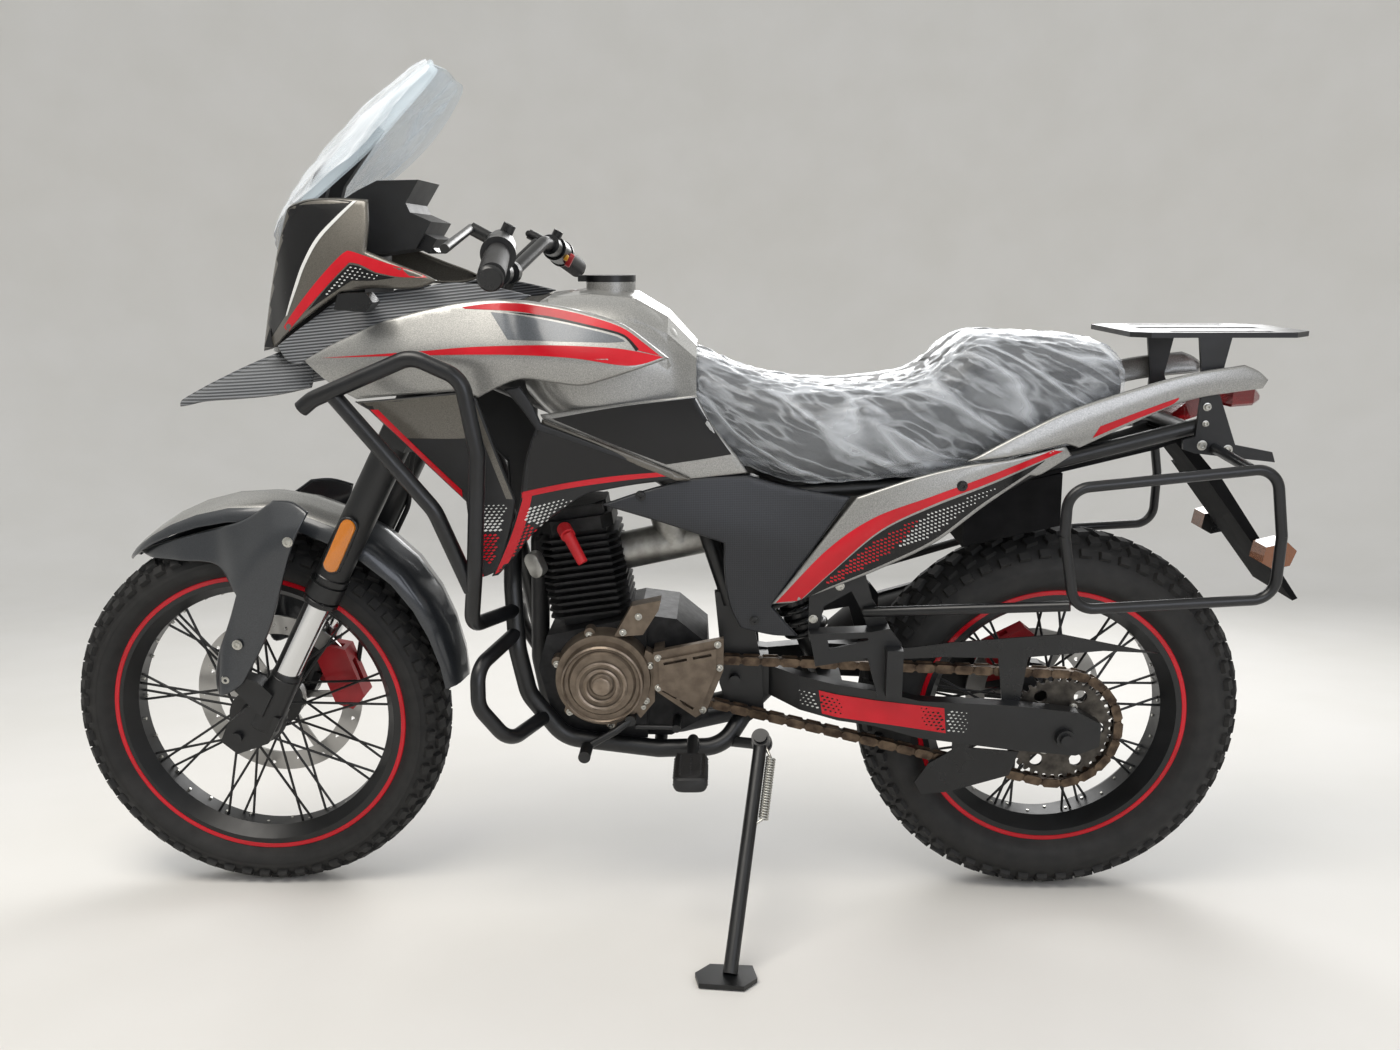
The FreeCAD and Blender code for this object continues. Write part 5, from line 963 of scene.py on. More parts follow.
# %% Corner panels of the tank
corner_outline = closed([(842, 868), (720, 884), (603, 897)], [(588, 868), (575, 845), (542, 802),
                        (523, 773)], [(570, 769), (612, 765)], [(650, 782), (740, 822), (838, 860)],
                        [(842, 868)])
CORNER_ROWS = [(850, 930, 149, 850, 152, 740, 147), (700, 930, 147, 830, 152, 740, 146),
               (600, 930, 139, 820, 146, 740, 138), (510, 930, 126, 800, 134, 740, 130)]
panel("tank_corners", [("corner", corner_outline, skin(CORNER_ROWS, 10.0), 4.0)], silver_paint,
      "lower_cowls")
band = closed([(824, 862), (720, 880), (602, 893)], [(588, 866), (575, 842), (549, 804)], [(590, 798),
              (650, 790)], [(740, 826), (824, 862)])
film("tank_black_bands", ["corner"], [band], black_film, "lower_cowls")
moulding = closed([(838, 862), (740, 822), (640, 780), (612, 766)], [(634, 764)], [(742, 808),
                  (842, 848)], [(838, 862)])
MOULDING_ROWS = [(850, 930, 154, 850, 158, 740, 154), (700, 930, 152, 830, 158, 740, 152),
                 (600, 930, 146, 800, 152, 740, 146)]
# The raised strips wear the darker silver that stands for painted shade.
panel("tank_diagonals", [("moulding", moulding, skin(MOULDING_ROWS, 6.0), 4.0)], painted_shade_paint,
      "lower_cowls", thickness=5.0)

# %% [markdown]
# ## Side covers and tail
# The cover under the seat is moulded to look like woven cloth. The tail has two silver panels on
# each side; a red stripe and a black field with dots run along the lower one.

# %% Side covers and tail panels
side_outline = closed([(752, 728), (690, 748), (620, 766)], [(572, 770), (524, 770)], [(474, 755),
                      (420, 744), (362, 735)], [(424, 646), (484, 556)], [(462, 528), (439, 501)],
                      [(482, 504), (534, 518)], [(550, 552), (559, 595)], [(561, 630), (561, 664)],
                      [(650, 696), (752, 728)])
SIDE_ROWS = [(770, 800, 150, 722, 158, 640, 150), (620, 800, 134, 694, 154, 600, 136),
             (520, 800, 124, 676, 148, 480, 124), (430, 800, 122, 660, 142, 480, 118),
             (350, 800, 124, 700, 138, 480, 116)]
panel("woven_side_covers", [("side", side_outline, skin(SIDE_ROWS, 6.0), 5.0)], woven_black,
      "side_covers", ["side_covers"])

tail_low = closed([(485, 560), (424, 644), (354, 737)], [(270, 768), (189, 789), (120, 799), (40, 818)],
                  [(28, 803)], [(73, 773), (91, 772)], [(160, 722), (232, 664), (312, 622), (394, 587),
                  (450, 563)], [(485, 560)])
tail_high = closed([(189, 794), (100, 842), (20, 878), (-128, 922), (-230, 937)], [(-252, 928),
                   (-269, 914)], [(-262, 901)], [(-148, 885), (-60, 850), (18, 814)], [(40, 821)],
                   [(120, 803), (189, 794)])
TAIL_ROWS = [(500, 620, 128, 566, 138, 540, 130), (400, 700, 136, 640, 152, 570, 138),
             (300, 790, 140, 710, 158, 620, 142), (189, 830, 142, 768, 160, 660, 144),
             (60, 900, 138, 834, 156, 740, 140), (-60, 940, 130, 882, 148, 800, 134),
             (-150, 960, 124, 908, 140, 850, 128), (-280, 960, 112, 918, 124, 880, 114)]
tail_skin = skin(TAIL_ROWS, 7.0)
panel("tail_panels", [("tail_low", tail_low, tail_skin, 4.0), ("tail_high", tail_high, tail_skin, 4.0)],
      silver_paint, "tail", ["tail"], thickness=4.0)
tail_stripe = closed([(478, 564), (404, 650), (330, 706), (240, 742), (150, 776), (60, 812)],
                     [(44, 810)], [(150, 764), (240, 728), (320, 686), (390, 620), (440, 568)],
                     [(478, 564)])
film("tail_red_stripes", ["tail_low"], [tail_stripe], red_film, "tail", grid=7.0)
tail_field = closed([(436, 570), (388, 620), (318, 684), (240, 724), (150, 760), (70, 796)],
                    [(92, 778)], [(165, 727), (235, 670), (314, 628), (394, 592)], [(436, 570)])
film("tail_black_fields", ["tail_low"], [tail_field], black_film, "tail", grid=7.0)
upper_dash = closed([(-10, 848), (-70, 870), (-128, 890)], [(-120, 880), (-60, 856), (0, 830)],
                    [(-10, 848)])
film("tail_red_dashes", ["tail_high"], [upper_dash], red_film, "tail", grid=7.0)

# %% [markdown]
# ## Repeats
# Tyre blocks, printed dots, bolts and spoke nipples repeat. Geometry Nodes copies one small shape to
# a list of spots, turns each copy by the spot's own angles and stretches it by the spot's own size.
# The copies are made real, given their material and kept as one mesh.

# %% Copying a shape to spots
def repeat_tree():
    tree = bpy.data.node_groups.new("shape_on_spots", "GeometryNodeTree")
    face = tree.interface
    face.new_socket("Spots", in_out="INPUT", socket_type="NodeSocketGeometry")
    face.new_socket("Shape", in_out="INPUT", socket_type="NodeSocketObject")
    face.new_socket("Finish", in_out="INPUT", socket_type="NodeSocketMaterial")
    face.new_socket("Copies", in_out="OUTPUT", socket_type="NodeSocketGeometry")
    given = tree.nodes.new("NodeGroupInput")
    shape = add(tree, "GeometryNodeObjectInfo", {"Object": given.outputs["Shape"]})
    turned = add(tree, "GeometryNodeInputNamedAttribute", data_type="FLOAT_VECTOR")
    turned.inputs["Name"].default_value = "turned"
    size = add(tree, "GeometryNodeInputNamedAttribute", data_type="FLOAT_VECTOR")
    size.inputs["Name"].default_value = "size"
    angles = add(tree, "FunctionNodeEulerToRotation", {0: turned})
    copies = add(tree, "GeometryNodeInstanceOnPoints",
                 {"Points": given.outputs["Spots"], "Instance": shape.outputs["Geometry"],
                  "Rotation": angles, "Scale": size})
    real = add(tree, "GeometryNodeRealizeInstances", {0: copies})
    dressed = add(tree, "GeometryNodeSetMaterial",
                  {"Geometry": real, "Material": given.outputs["Finish"]})
    out = tree.nodes.new("NodeGroupOutput")
    tree.links.new(dressed.outputs[0], out.inputs[0])
    return tree


REPEAT = repeat_tree()
REPEAT_INPUTS = {item.name: item.identifier for item in REPEAT.interface.items_tree
                 if item.in_out == "INPUT"}


def shape_object(name, bm):
    finish_normals(bm)
    return mesh_object(name, bm)


def repeats(name, shape, spots, finish, body, slot, sharp=SHARP):
    """Spots: (4 x 4 placement in upright millimetres, size)."""
    mesh = bpy.data.meshes.new(name + "_spots")
    mesh.from_pydata([place.to_translation() for place, size in spots], [], [])
    turned = mesh.attributes.new("turned", "FLOAT_VECTOR", "POINT")
    sizes = mesh.attributes.new("size", "FLOAT_VECTOR", "POINT")
    for k, (place, size) in enumerate(spots):
        turned.data[k].vector = place.to_euler()
        sizes.data[k].vector = size
    holder = bpy.data.objects.new(name + "_spots", mesh)
    bpy.context.scene.collection.objects.link(holder)
    modifier = holder.modifiers.new("copies", "NODES")
    modifier.node_group = REPEAT
    modifier[REPEAT_INPUTS["Shape"]] = shape
    modifier[REPEAT_INPUTS["Finish"]] = finish
    bpy.context.view_layer.update()
    solved = holder.evaluated_get(bpy.context.evaluated_depsgraph_get())
    baked = bpy.data.meshes.new_from_object(solved)
    bm = bmesh.new()
    bm.from_mesh(baked)
    for used in (holder, shape):
        bpy.data.objects.remove(used)
    bpy.data.meshes.remove(baked)
    print(len(spots), "copies:", end=" ")
    piece(name, bm, finish, body, slot, sharp=sharp)


def facing(at, out_way, along):
    """A placement whose Z points outwards and whose X lies along a direction."""
    z = Vector(out_way).normalized()
    x = (Vector(along) - z * Vector(along).dot(z)).normalized()
    y = z.cross(x)
    turned = Matrix((x, y, z)).transposed().to_4x4()
    return Matrix.Translation(Vector(at)) @ turned


# %% [markdown]
# ## Tyres
# Dual sport tyres have a rounded carcass and rubber blocks with gaps between them: angled pairs in
# the middle for the road, square ones at the shoulder for loose ground. The carcass is a turned
# profile. The blocks stand on it and follow its crown.

# %% Turned shapes
def join_turned(bm, rows):
    """Faces between rows of vertices that close both round the axle and round the profile."""
    for one, two in zip(rows, rows[1:] + rows[:1]):
        for i in range(len(one)):
            j = (i + 1) % len(one)
            bm.faces.new([one[i], two[i], two[j], one[j]])


def turned_shape(bm, profile, centre, steps=96):
    """Turns a closed (y, radius) profile round an axle."""
    rows = []
    for i in range(steps):
        angle = 2 * math.pi * i / steps
        rows.append([bm.verts.new((centre.x + r * math.cos(angle), y, centre.z + r * math.sin(angle)))
                     for y, r in profile])
    join_turned(bm, rows)


# %% Tyres with blocks
TREAD_DEPTH = 7.0
BLOCK_SINK = 1.0
BLOCK_TAPER = 0.86


def block_shape():
    bm = bmesh.new()
    bmesh.ops.create_cube(bm, size=1.0)
    for vertex in bm.verts:
        if vertex.co.z > 0:
            vertex.co.x *= BLOCK_TAPER
            vertex.co.y *= BLOCK_TAPER
    return shape_object("block", bm)


# Columns: share of the half width, width, length, turn about the crown, stagger, height
TREAD = [(0.16, 20, 25, 24, 0.0, 7.5), (-0.16, 20, 25, -24, 0.5, 7.5), (0.5, 18, 22, 12, 0.5, 7.5),
         (-0.5, 18, 22, -12, 0.0, 7.5), (0.80, 15, 19, 0, 0.0, 8.5), (-0.80, 15, 19, 0, 0.5, 8.5)]


def block_tyre(name, centre, radius, width, crown, seat, rim_width, count, body):
    """A carcass whose crown is an arc across the tyre, and rows of count blocks on it."""
    base = radius - TREAD_DEPTH
    half = width / 2
    edge = half * 0.86

    def crown_radius(y):
        return base - crown + math.sqrt(crown * crown - y * y)

    side = [(-edge + edge * i / 6, crown_radius(-edge + edge * i / 6)) for i in range(13)]
    wall = curve_through([(edge, crown_radius(edge)), (half * 0.985, crown_radius(edge) - 16),
                          (half - 1, seat + 44), (half * 0.93, seat + 28),
                          (rim_width / 2 - 5, seat + 9), (rim_width / 2 - 9, seat + 1.5)], 5.0)[1:]
    profile = side + wall + [(-y, r) for y, r in reversed(wall)]
    bm = bmesh.new()
    turned_shape(bm, profile, centre)
    finish_normals(bm)
    piece(name + "_carcass", bm, tyre_black, body, name, [name], sharp=math.radians(50))
    spots = []
    for share, wide, long, turn_by, stagger, height in TREAD:
        y = share * half
        slope = y / crown
        r = crown_radius(y)
        for k in range(count):
            angle = 2 * math.pi * (k + stagger) / count
            radial = Vector((math.cos(angle), 0, math.sin(angle)))
            along = Vector((-math.sin(angle), 0, math.cos(angle)))
            outward = (radial * math.sqrt(1 - slope * slope) + Vector((0, slope, 0))).normalized()
            spin = Matrix.Rotation(math.radians(turn_by), 3, outward)
            at = centre + radial * r + Vector((0, y, 0)) + outward * (height / 2 - BLOCK_SINK)
            spots.append((facing(at, outward, spin @ along), (long, wide, height)))
    repeats(name + "_blocks", block_shape(), spots, tyre_black, body, name)


block_tyre("rear_tyre", REAR_AXLE, 328.0, 138.0, 72.0, 216.0, 96.0, 56, "rear_wheel")
block_tyre("front_tyre", FRONT_AXLE, 326.0, 112.0, 60.0, 241.0, 76.0, 58, "front_wheel")

# %% [markdown]
# ## Rim lines and nipples
# A red line of film runs round the lip of each rim. It is a thin ring, turned from its profile. The
# spokes end in small nipples at the rim, which lean in turn to the left and the right flange of the
# hub. They repeat, so they are copied as the tyre blocks are.

# %% Rim lines and nipples
SPOKES = 36


def rim_trim(name, centre, seat, rim_width, body, slot):
    bm = bmesh.new()
    lip = seat + 13.0
    for side in (-1, 1):
        y = side * (rim_width / 2 + 0.15)
        turned_shape(bm, [(y, lip - 7.5), (y + side * 1.0, lip - 7.0), (y + side * 1.0, lip - 0.6),
                          (y, lip + 0.6), (y - side * 1.5, lip + 0.6), (y - side * 1.5, lip - 0.2)],
                     centre, 120)
    finish_normals(bm)
    piece(name + "_red_lines", bm, red_film, body, slot)
    bm = bmesh.new()
    bmesh.ops.create_cone(bm, segments=8, radius1=0.5, radius2=0.36, depth=1.0, cap_ends=True)
    spots = []
    for k in range(SPOKES):
        angle = 2 * math.pi * (k + 0.5) / SPOKES
        radial = Vector((math.cos(angle), 0, math.sin(angle)))
        y = 7.0 * (1 if k % 2 else -1)
        spots.append((facing(centre + radial * (seat - 14) + Vector((0, y, 0)), -radial, (0, 1, 0)),
                      (7.0, 7.0, 16.0)))
    repeats(name + "_nipples", shape_object("nipple", bm), spots, zinc_bolt, body, slot)


rim_trim("rear_rim", REAR_AXLE, 216.0, 96.0, "rear_wheel", "rear_rim")
rim_trim("front_rim", FRONT_AXLE, 241.0, 76.0, "front_wheel", "front_rim")

# %% [markdown]
# ## Printed dots
# Fields of small dots fade the red and black films into each other. Each dot is a little diamond of
# film that lies on the panel, and its size falls from one end of the field to the other.

# %% Dots
DOT_HEIGHT = 0.3


def dot_shape():
    """A slanted diamond, 1 long and 1 tall."""
    bm = bmesh.new()
    corners = [(0.5, 0), (0.15, 0.32), (-0.5, 0), (-0.15, -0.32)]
    low = [bm.verts.new((x, y, 0)) for x, y in corners]
    high = [bm.verts.new((x, y, 1)) for x, y in corners]
    bm.faces.new(low[::-1])
    bm.faces.new(high)
    for i in range(4):
        j = (i + 1) % 4
        bm.faces.new([low[i], low[j], high[j], high[i]])
    return shape_object("dot", bm)


def dots(name, field, skin_names, finish, slot, begin, end, tilt, pitch=(7.4, 5.0), sizes=(6.6, 2.6),
         lift=0.95):
    """Dots inside a field, largest at begin and smallest at end, in rows turned by tilt degrees."""
    start, run = Vector(begin), Vector(end) - Vector(begin)
    c, s = math.cos(math.radians(tilt)), math.sin(math.radians(tilt))
    low = Vector((min(x for x, z in field), min(z for x, z in field)))
    high = Vector((max(x for x, z in field), max(z for x, z in field)))
    middle, reach = (low + high) / 2, (high - low).length / 2
    spots = []
    across, up = int(reach / pitch[0]) + 1, int(reach / pitch[1]) + 1
    for i in range(-across, across + 1):
        for j in range(-up, up + 1):
            u, v = i * pitch[0] + (pitch[0] / 2 if j % 2 else 0.0), j * pitch[1]
            x, z = middle.x + u * c - v * s, middle.y + u * s + v * c
            if not inside(field, x, z) or away(field, x, z) < 2.0:
                continue
            share = max(0.0, min(1.0, (Vector((x, z)) - start).dot(run) / run.length_squared))
            size = sizes[0] + (sizes[1] - sizes[0]) * share
            hit = outermost(skin_names, x, z)
            if not hit:
                continue
            at, way = hit
            if way.y < 0:
                way = -way
            for side in (1, -1):
                outward = Vector((way.x, way.y * side, way.z))
                spot = Vector((at.x, at.y * side, at.z)) + outward * (lift - DOT_HEIGHT)
                spots.append((facing(spot, outward, (c, 0, s)), (size, size, DOT_HEIGHT)))
    repeats(name, dot_shape(), spots, finish, "chassis", slot)


# %% Fields of dots
dots("shroud_white_dots", closed([(862, 728), (800, 742), (775, 744)], [(812, 722), (846, 694)],
                                 [(872, 706)], [(862, 728)]),
     ["rear_shroud"], white_print_and_highlight_film, "lower_cowls", (860, 725), (790, 742), -14)
dots("shroud_red_dots", closed([(846, 692), (886, 650), (910, 622)], [(892, 662), (872, 704)],
                               [(846, 692)]),
     ["rear_shroud"], red_film, "lower_cowls", (880, 680), (900, 630), -14, sizes=(6.6, 5.0))
dots("front_leg_white_dots", closed([(951, 734), (952, 690)], [(904, 690)], [(892, 734)], [(951, 734)]),
     ["front_shroud"], white_print_and_highlight_film, "lower_cowls", (930, 700), (920, 745), 0)
dots("front_leg_red_dots", closed([(948, 686), (940, 640)], [(920, 632)], [(906, 686)], [(948, 686)]),
     ["front_shroud"], red_film, "lower_cowls", (930, 690), (930, 600), 0, sizes=(6.6, 6.0))
dots("tail_red_dots", closed([(404, 600), (330, 668), (250, 716)], [(300, 650), (394, 594)],
                             [(404, 600)]),
     ["tail_low"], red_film, "tail", (380, 610), (260, 700), 35, sizes=(6.6, 5.0))
dots("tail_white_dots", closed([(250, 716), (160, 752), (100, 780)], [(170, 730), (240, 674)],
                               [(296, 652)], [(250, 716)]),
     ["tail_low"], white_print_and_highlight_film, "tail", (280, 670), (120, 770), 35, sizes=(5.6, 2.4))
dots("cheek_dots", dot_field, ["cheek"], white_print_and_highlight_film, "nose", (1150, 1060), (1050, 1074), 10,
     sizes=(4.6, 2.6), lift=0.9)

# %% [markdown]
# ## Swingarm film
# Both arms carry a red film with black and white dots at its ends. A film on a flat side needs only
# a flat sheet, so the side of the arm is written down as a plane and cast on like a panel.

# %% Swingarm film
# Columns: x, side of the arm
ARM_ROWS = [(485, 58.0), (435, 91.0), (373, 117.0), (313, 125.0), (240, 126.2), (90, 126.2),
            (-58, 126.2)]
vertices = [Vector((x, y, z)) for x, y in ARM_ROWS for z in (440.0, 280.0)]
faces = [(k, k + 1, k + 3, k + 2) for k in range(0, len(vertices) - 2, 2)]
skins["arm"] = BVHTree.FromPolygons(vertices, faces)
arm_red = closed([(404, 402), (340, 396), (200, 380)], [(196, 336)], [(300, 352), (398, 362)],
                 [(404, 402)])
film("arm_red_fields", ["arm"], [arm_red], red_film, "swingarm", lift=0.3)
dots("arm_black_dots", closed([(404, 400), (366, 397)], [(362, 360)], [(398, 364)], [(404, 400)]),
     ["arm"], black_film, "swingarm", (404, 380), (362, 380), 6, (8.0, 5.6), (7.0, 3.0), 1.1)
dots("arm_black_rear_dots", closed([(240, 383), (202, 378)], [(198, 340)], [(236, 345)], [(240, 383)]),
     ["arm"], black_film, "swingarm", (200, 360), (240, 360), 6, (8.0, 5.6), (7.0, 3.0), 1.1)
dots("arm_white_dots", closed([(438, 402), (408, 402)], [(402, 366)], [(434, 370)], [(438, 402)]),
     ["arm"], white_print_and_highlight_film, "swingarm", (404, 380), (438, 380), 6, (8.0, 5.6), (6.0, 2.0), 0.6)
dots("arm_white_rear_dots", closed([(196, 378), (160, 374)], [(158, 334)], [(194, 338)], [(196, 378)]),
     ["arm"], white_print_and_highlight_film, "swingarm", (196, 360), (158, 360), 6, (8.0, 5.6), (6.0, 2.0), 0.6)

# %% [markdown]
# ## Front mudguard and fork guards
# The mudguard is drawn silver on its front ridge and dark grey on its sides and rear half. It is
# lofted through arched sections that stand on rays from the axle. On each side a dark guard sweeps
# from the mudguard out over the fork leg, where two bolts hold it. It is a panel like those beside
# the engine.

# %% Mudguard
RAKE = math.radians(28)
STEER_UP = Vector((-math.sin(RAKE), 0, math.cos(RAKE)))
STEER_AHEAD = Vector((math.cos(RAKE), 0, math.sin(RAKE)))
STEM_X, STEM_Z, STEM_UP = 1041.0, 830.5, 606.0


def on_fork(ahead, left, up):
    """A point given along the steering axis, with up 0 level with the front axle."""
    return Vector((STEM_X, left, STEM_Z)) + STEER_UP * (up - STEM_UP) + STEER_AHEAD * ahead


# Columns: angle from straight ahead, radius of the crown, half width, drop of the edges
ARCH_ROWS = [(54, 350, 14, 4), (58, 357, 34, 10), (66, 367, 54, 18), (80, 384, 64, 30),
             (98, 400, 70, 38), (116, 404, 74, 44), (136, 400, 70, 40), (154, 384, 64, 34),
             (170, 368, 58, 26)]
# Columns: share of the half width, share of the drop
ARCH_ACROSS = [(-1, 1), (-0.93, 0.72), (-0.84, 0.48), (-0.66, 0.3), (-0.4, 0.16), (-0.12, 0.05), (0, 0),
               (0.12, 0.05), (0.4, 0.16), (0.66, 0.3), (0.84, 0.48), (0.93, 0.72), (1, 1)]
bm = bmesh.new()
rings = []
for angle, radius, half, fall in curve_through(ARCH_ROWS, 12.0):
    way = Vector((math.cos(math.radians(angle)), 0, math.sin(math.radians(angle))))
    outer = [FRONT_AXLE + way * (radius - fall * d) + Vector((0, half * y, 0)) for y, d in ARCH_ACROSS]
    rings.append(outer + [place - way * 3.5 for place in reversed(outer)])
loft_rings(bm, rings)
finish_normals(bm)
for face in bm.faces:
    centre = face.calc_center_median()
    angle = math.degrees(math.atan2(centre.z - FRONT_AXLE.z, centre.x - FRONT_AXLE.x))
    half = between_rows([(-row[0], *row[1:]) for row in ARCH_ROWS], -angle)[1]
    if angle > 112 or abs(centre.y) > half * 0.85:
        face.material_index = 1
piece("mudguard", bm, [silver_paint, guard_grey], "steering", "front_fender", ["front_fender"],
      sharp=math.radians(30))

guard_outline = closed([(1562, 617), (1520, 634), (1472, 650), (1400, 670), (1340, 690), (1290, 722)],
                       [(1256, 722), (1224, 708)], [(1254, 640), (1292, 530), (1320, 474), (1350, 424)],
                       [(1372, 410), (1397, 406), (1404, 432), (1396, 466)], [(1372, 520), (1352, 572)],
                       [(1372, 594), (1405, 612), (1472, 613), (1530, 612)], [(1562, 617)])
GUARD_ROWS = [(1566, 640, 10, 618, 12, 600, 12), (1520, 660, 38, 632, 44, 600, 46),
              (1472, 670, 56, 634, 63, 600, 66), (1400, 690, 68, 610, 84, 450, 133),
              (1350, 700, 78, 610, 122, 450, 136), (1290, 730, 84, 660, 134, 450, 137),
              (1210, 730, 104, 690, 136, 450, 137)]
panel("fork_guards", [("guard", guard_outline, skin(GUARD_ROWS, 8.0), 4.0)], guard_grey, "front_fender",
      thickness=4.0, body="steering")


# %% [markdown]
# ## Turned bars and screws
# Collars, seals and bar ends are turned on a lathe, and so are the heads of screws. Each is a stack
# of circles with a small bevel at its edges, because a real edge always catches some light. Screws
# repeat, so one head is drawn 1 mm wide and copied at its real size.

# %% Round bars
def round_bar(bm, start, end, radius, end_radius=None, steps=32, round_off=1.2):
    """A turned bar with a small bevel at both ends."""
    start, end = Vector(start), Vector(end)
    length = (end - start).length
    far = radius if end_radius is None else end_radius
    profile = [(0, radius - round_off), (round_off, radius), (length - round_off, far),
               (length, far - round_off)]
    place = facing(start, end - start, (0.3, 1, 0.2))
    loft_rings(bm, [[place @ spot for spot in circle(r, along, steps)] for along, r in profile])


def bar_piece(name, bars, material, body, slot):
    """Bars in one piece. Columns: start, end, radius and, where they differ, the rest."""
    bm = bmesh.new()
    for row in bars:
        round_bar(bm, *row)
    finish_normals(bm)
    piece(name, bm, material, body, slot)


# %% Screws
def bolt_shape():
    """A socket head screw with its flange, 1 across and 1 tall."""
    bm = bmesh.new()
    profile = [(0.5, 0.0), (0.5, 0.2), (0.38, 0.24), (0.38, 0.9), (0.32, 1.0), (0.18, 1.0),
               (0.16, 0.55)]
    loft_rings(bm, [circle(r, z, 12) for r, z in profile])
    return shape_object("bolt", bm)


def bolts(name, rows, finish, body, slot):
    """Columns: x, y, z, the way it faces, diameter, height."""
    spots = []
    for x, y, z, way, across, tall in rows:
        spots.append((facing((x, y, z), way, (0.3, 0.2, 1)), (across, across, tall)))
    repeats(name, bolt_shape(), spots, finish, body, slot, sharp=math.radians(30))


LEFT, RIGHT = (0, 1, 0), (0, -1, 0)
SIDES = ((1, LEFT), (-1, RIGHT))
rows = [(x, side * y, z, way, 17, 5) for side, way in SIDES
        for x, z, y in [(1352, 492, 135.5), (1376, 432, 135.5), (1254, 664, 134.0)]]
bolts("guard_bolts", rows, zinc_bolt, "steering", "front_fender")

# %% Castings and seals of the fork
FORK_AHEAD, FORK_HALF = 30, 102.0
# Columns: low end, high end, radius and, where it differs, the radius at the high end
CASTINGS = [(34, 132, 26.5, 24.5), (132, 142, 24.5, 23.2)]
SEALS = [(276, 286, 28.6), (318, 330, 29.0)]


def collars(columns):
    """The same turned collars on both fork legs."""
    return [(on_fork(FORK_AHEAD, y, low), on_fork(FORK_AHEAD, y, high), *radii)
            for y in (-FORK_HALF, FORK_HALF) for low, high, *radii in columns]


bar_piece("fork_castings", collars(CASTINGS), frame_black, "steering", "fork_lower")
bar_piece("fork_seals", collars(SEALS), smooth_black, "steering", "fork_upper")

# %% [markdown]
# ## Amber reflectors
# A long amber reflector in a black base is screwed to the outer side of each fork tube. It is a bar
# with round ends and a bevelled face, so it is drawn once and made twice, the base a little larger.

# %% Reflectors
def rounded_bar(bm, place, length, wide, tall, bevel=3.0):
    """A bar with rounded ends along the X of its placement."""
    outline = []
    for i in range(24):
        angle = 2 * math.pi * i / 24
        x = math.cos(angle) * wide / 2 + math.copysign(length / 2 - wide / 2, math.cos(angle))
        outline.append((x, math.sin(angle) * wide / 2))
    rings = []
    for z, share in [(0.0, 1.0), (tall - bevel, 1.0), (tall - bevel * 0.3, 0.93), (tall, 0.8)]:
        rings.append([place @ Vector((x - math.copysign((1 - share) * wide / 2, x), y * share, z))
                      for x, y in outline])
    loft_rings(bm, rings)


for label, material, grow, lift in [("reflector_bases", smooth_black, 8.0, 0.0),
                                    ("reflectors", amber_lens, 0.0, 3.0)]:
    bm = bmesh.new()
    for side in (-1, 1):
        at = on_fork(34, side * 128.5, 392) + Vector((0, side * lift, 0))
        rounded_bar(bm, facing(at, (0.1, side, 0), STEER_UP), 96.0 + grow, 26.0 + grow, 5.5)
    finish_normals(bm)
    piece(label, bm, material, "steering", "fork_upper")

# %% [markdown]
# ## Beak and windscreen
# The beak's ribbed skin carries a raised ridge along its middle. The screen is clear acrylic, bowed
# across and swept back. It still wears its packing film, which clings in fine wrinkles and catches
# the light along each of them. Two layers of noise lift the film off the screen, and the creases
# themselves are in its material: white lines, partly the creased film and partly painted highlight.
# This costs far less time than a cloth simulation of them.

# %% Beak
# Columns: x, crown z, edge z, half width
BEAK_ROWS = [(1462, 874, 867, 8), (1440, 886, 871, 24), (1400, 906, 880, 48), (1330, 937, 888, 84),
             (1260, 962, 897, 112), (1200, 973, 910, 124)]
# Columns: share of the half width, share of the rise from edge to crown
BEAK_ACROSS = [(-1, 0), (-0.86, 0.3), (-0.62, 0.6), (-0.36, 0.82), (-0.16, 0.9), (-0.1, 1.0),
               (0.1, 1.0), (0.16, 0.9), (0.36, 0.82), (0.62, 0.6), (0.86, 0.3), (1, 0)]
rings = []
for x, top, low, half in curve_through(BEAK_ROWS, 10.0):
    outer = [(x, half * y, low + (top - low) * z) for y, z in BEAK_ACROSS]
    inner = [(x, half * y * 0.93, low - 3 + (top - low) * z * 0.86) for y, z in reversed(BEAK_ACROSS)]
    rings.append(outer + inner)
loft("beak_shell", rings, ribbed_grey, "beak", ["beak"], sharp=math.radians(24))

# %% Windscreen and its film
# Columns: centre x, centre z, half width, how far the edge sweeps back, drop of the edge
SCREEN_ROWS = [(1250, 1146, 66, 14, 8), (1236, 1178, 98, 28, 12), (1206, 1222, 112, 54, 16),
               (1165, 1270, 118, 78, 14), (1120, 1318, 116, 86, 10), (1050, 1372, 90, 62, 6),
               (1030, 1386, 70, 36, 5), (1016, 1396, 46, 15, 4)]
FILM_ROWS = [(1268, 1118, 44, 8, 6), (1256, 1146, 86, 14, 10), (1243, 1178, 108, 24, 12),
             (1214, 1222, 118, 50, 16), (1172, 1270, 123, 74, 14), (1126, 1318, 120, 82, 10),
             (1054, 1371, 94, 60, 6), (1032, 1385, 73, 34, 5), (1018, 1393, 48, 14, 4)]


def screen_rings(columns, offset, wall, ripple, across):
    """Rings of a bowed sheet. Ripple is how far noise lifts it, in wide folds and fine ones."""
    rings = []
    for x, z, half, sweep, fall in curve_through(columns, 8.0):
        outer, inner = [], []
        for i in range(across + 1):
            k = -1 + 2 * i / across
            place = Vector((x - sweep * k * k, half * k, z - fall * k * k))
            way = Vector((0.75, 0.35 * k, 0.62)).normalized()
            lift = offset
            if ripple:
                lift += ripple * (noise.noise(Vector((place.y / 26, place.z / 60, 1.7)))
                                  + 0.5 * noise.noise(Vector((place.y / 9, place.z / 22, 5.1))))
            outer.append(place + way * lift)
            inner.append(place + way * (lift - wall))
        rings.append(outer + inner[::-1])
    return rings


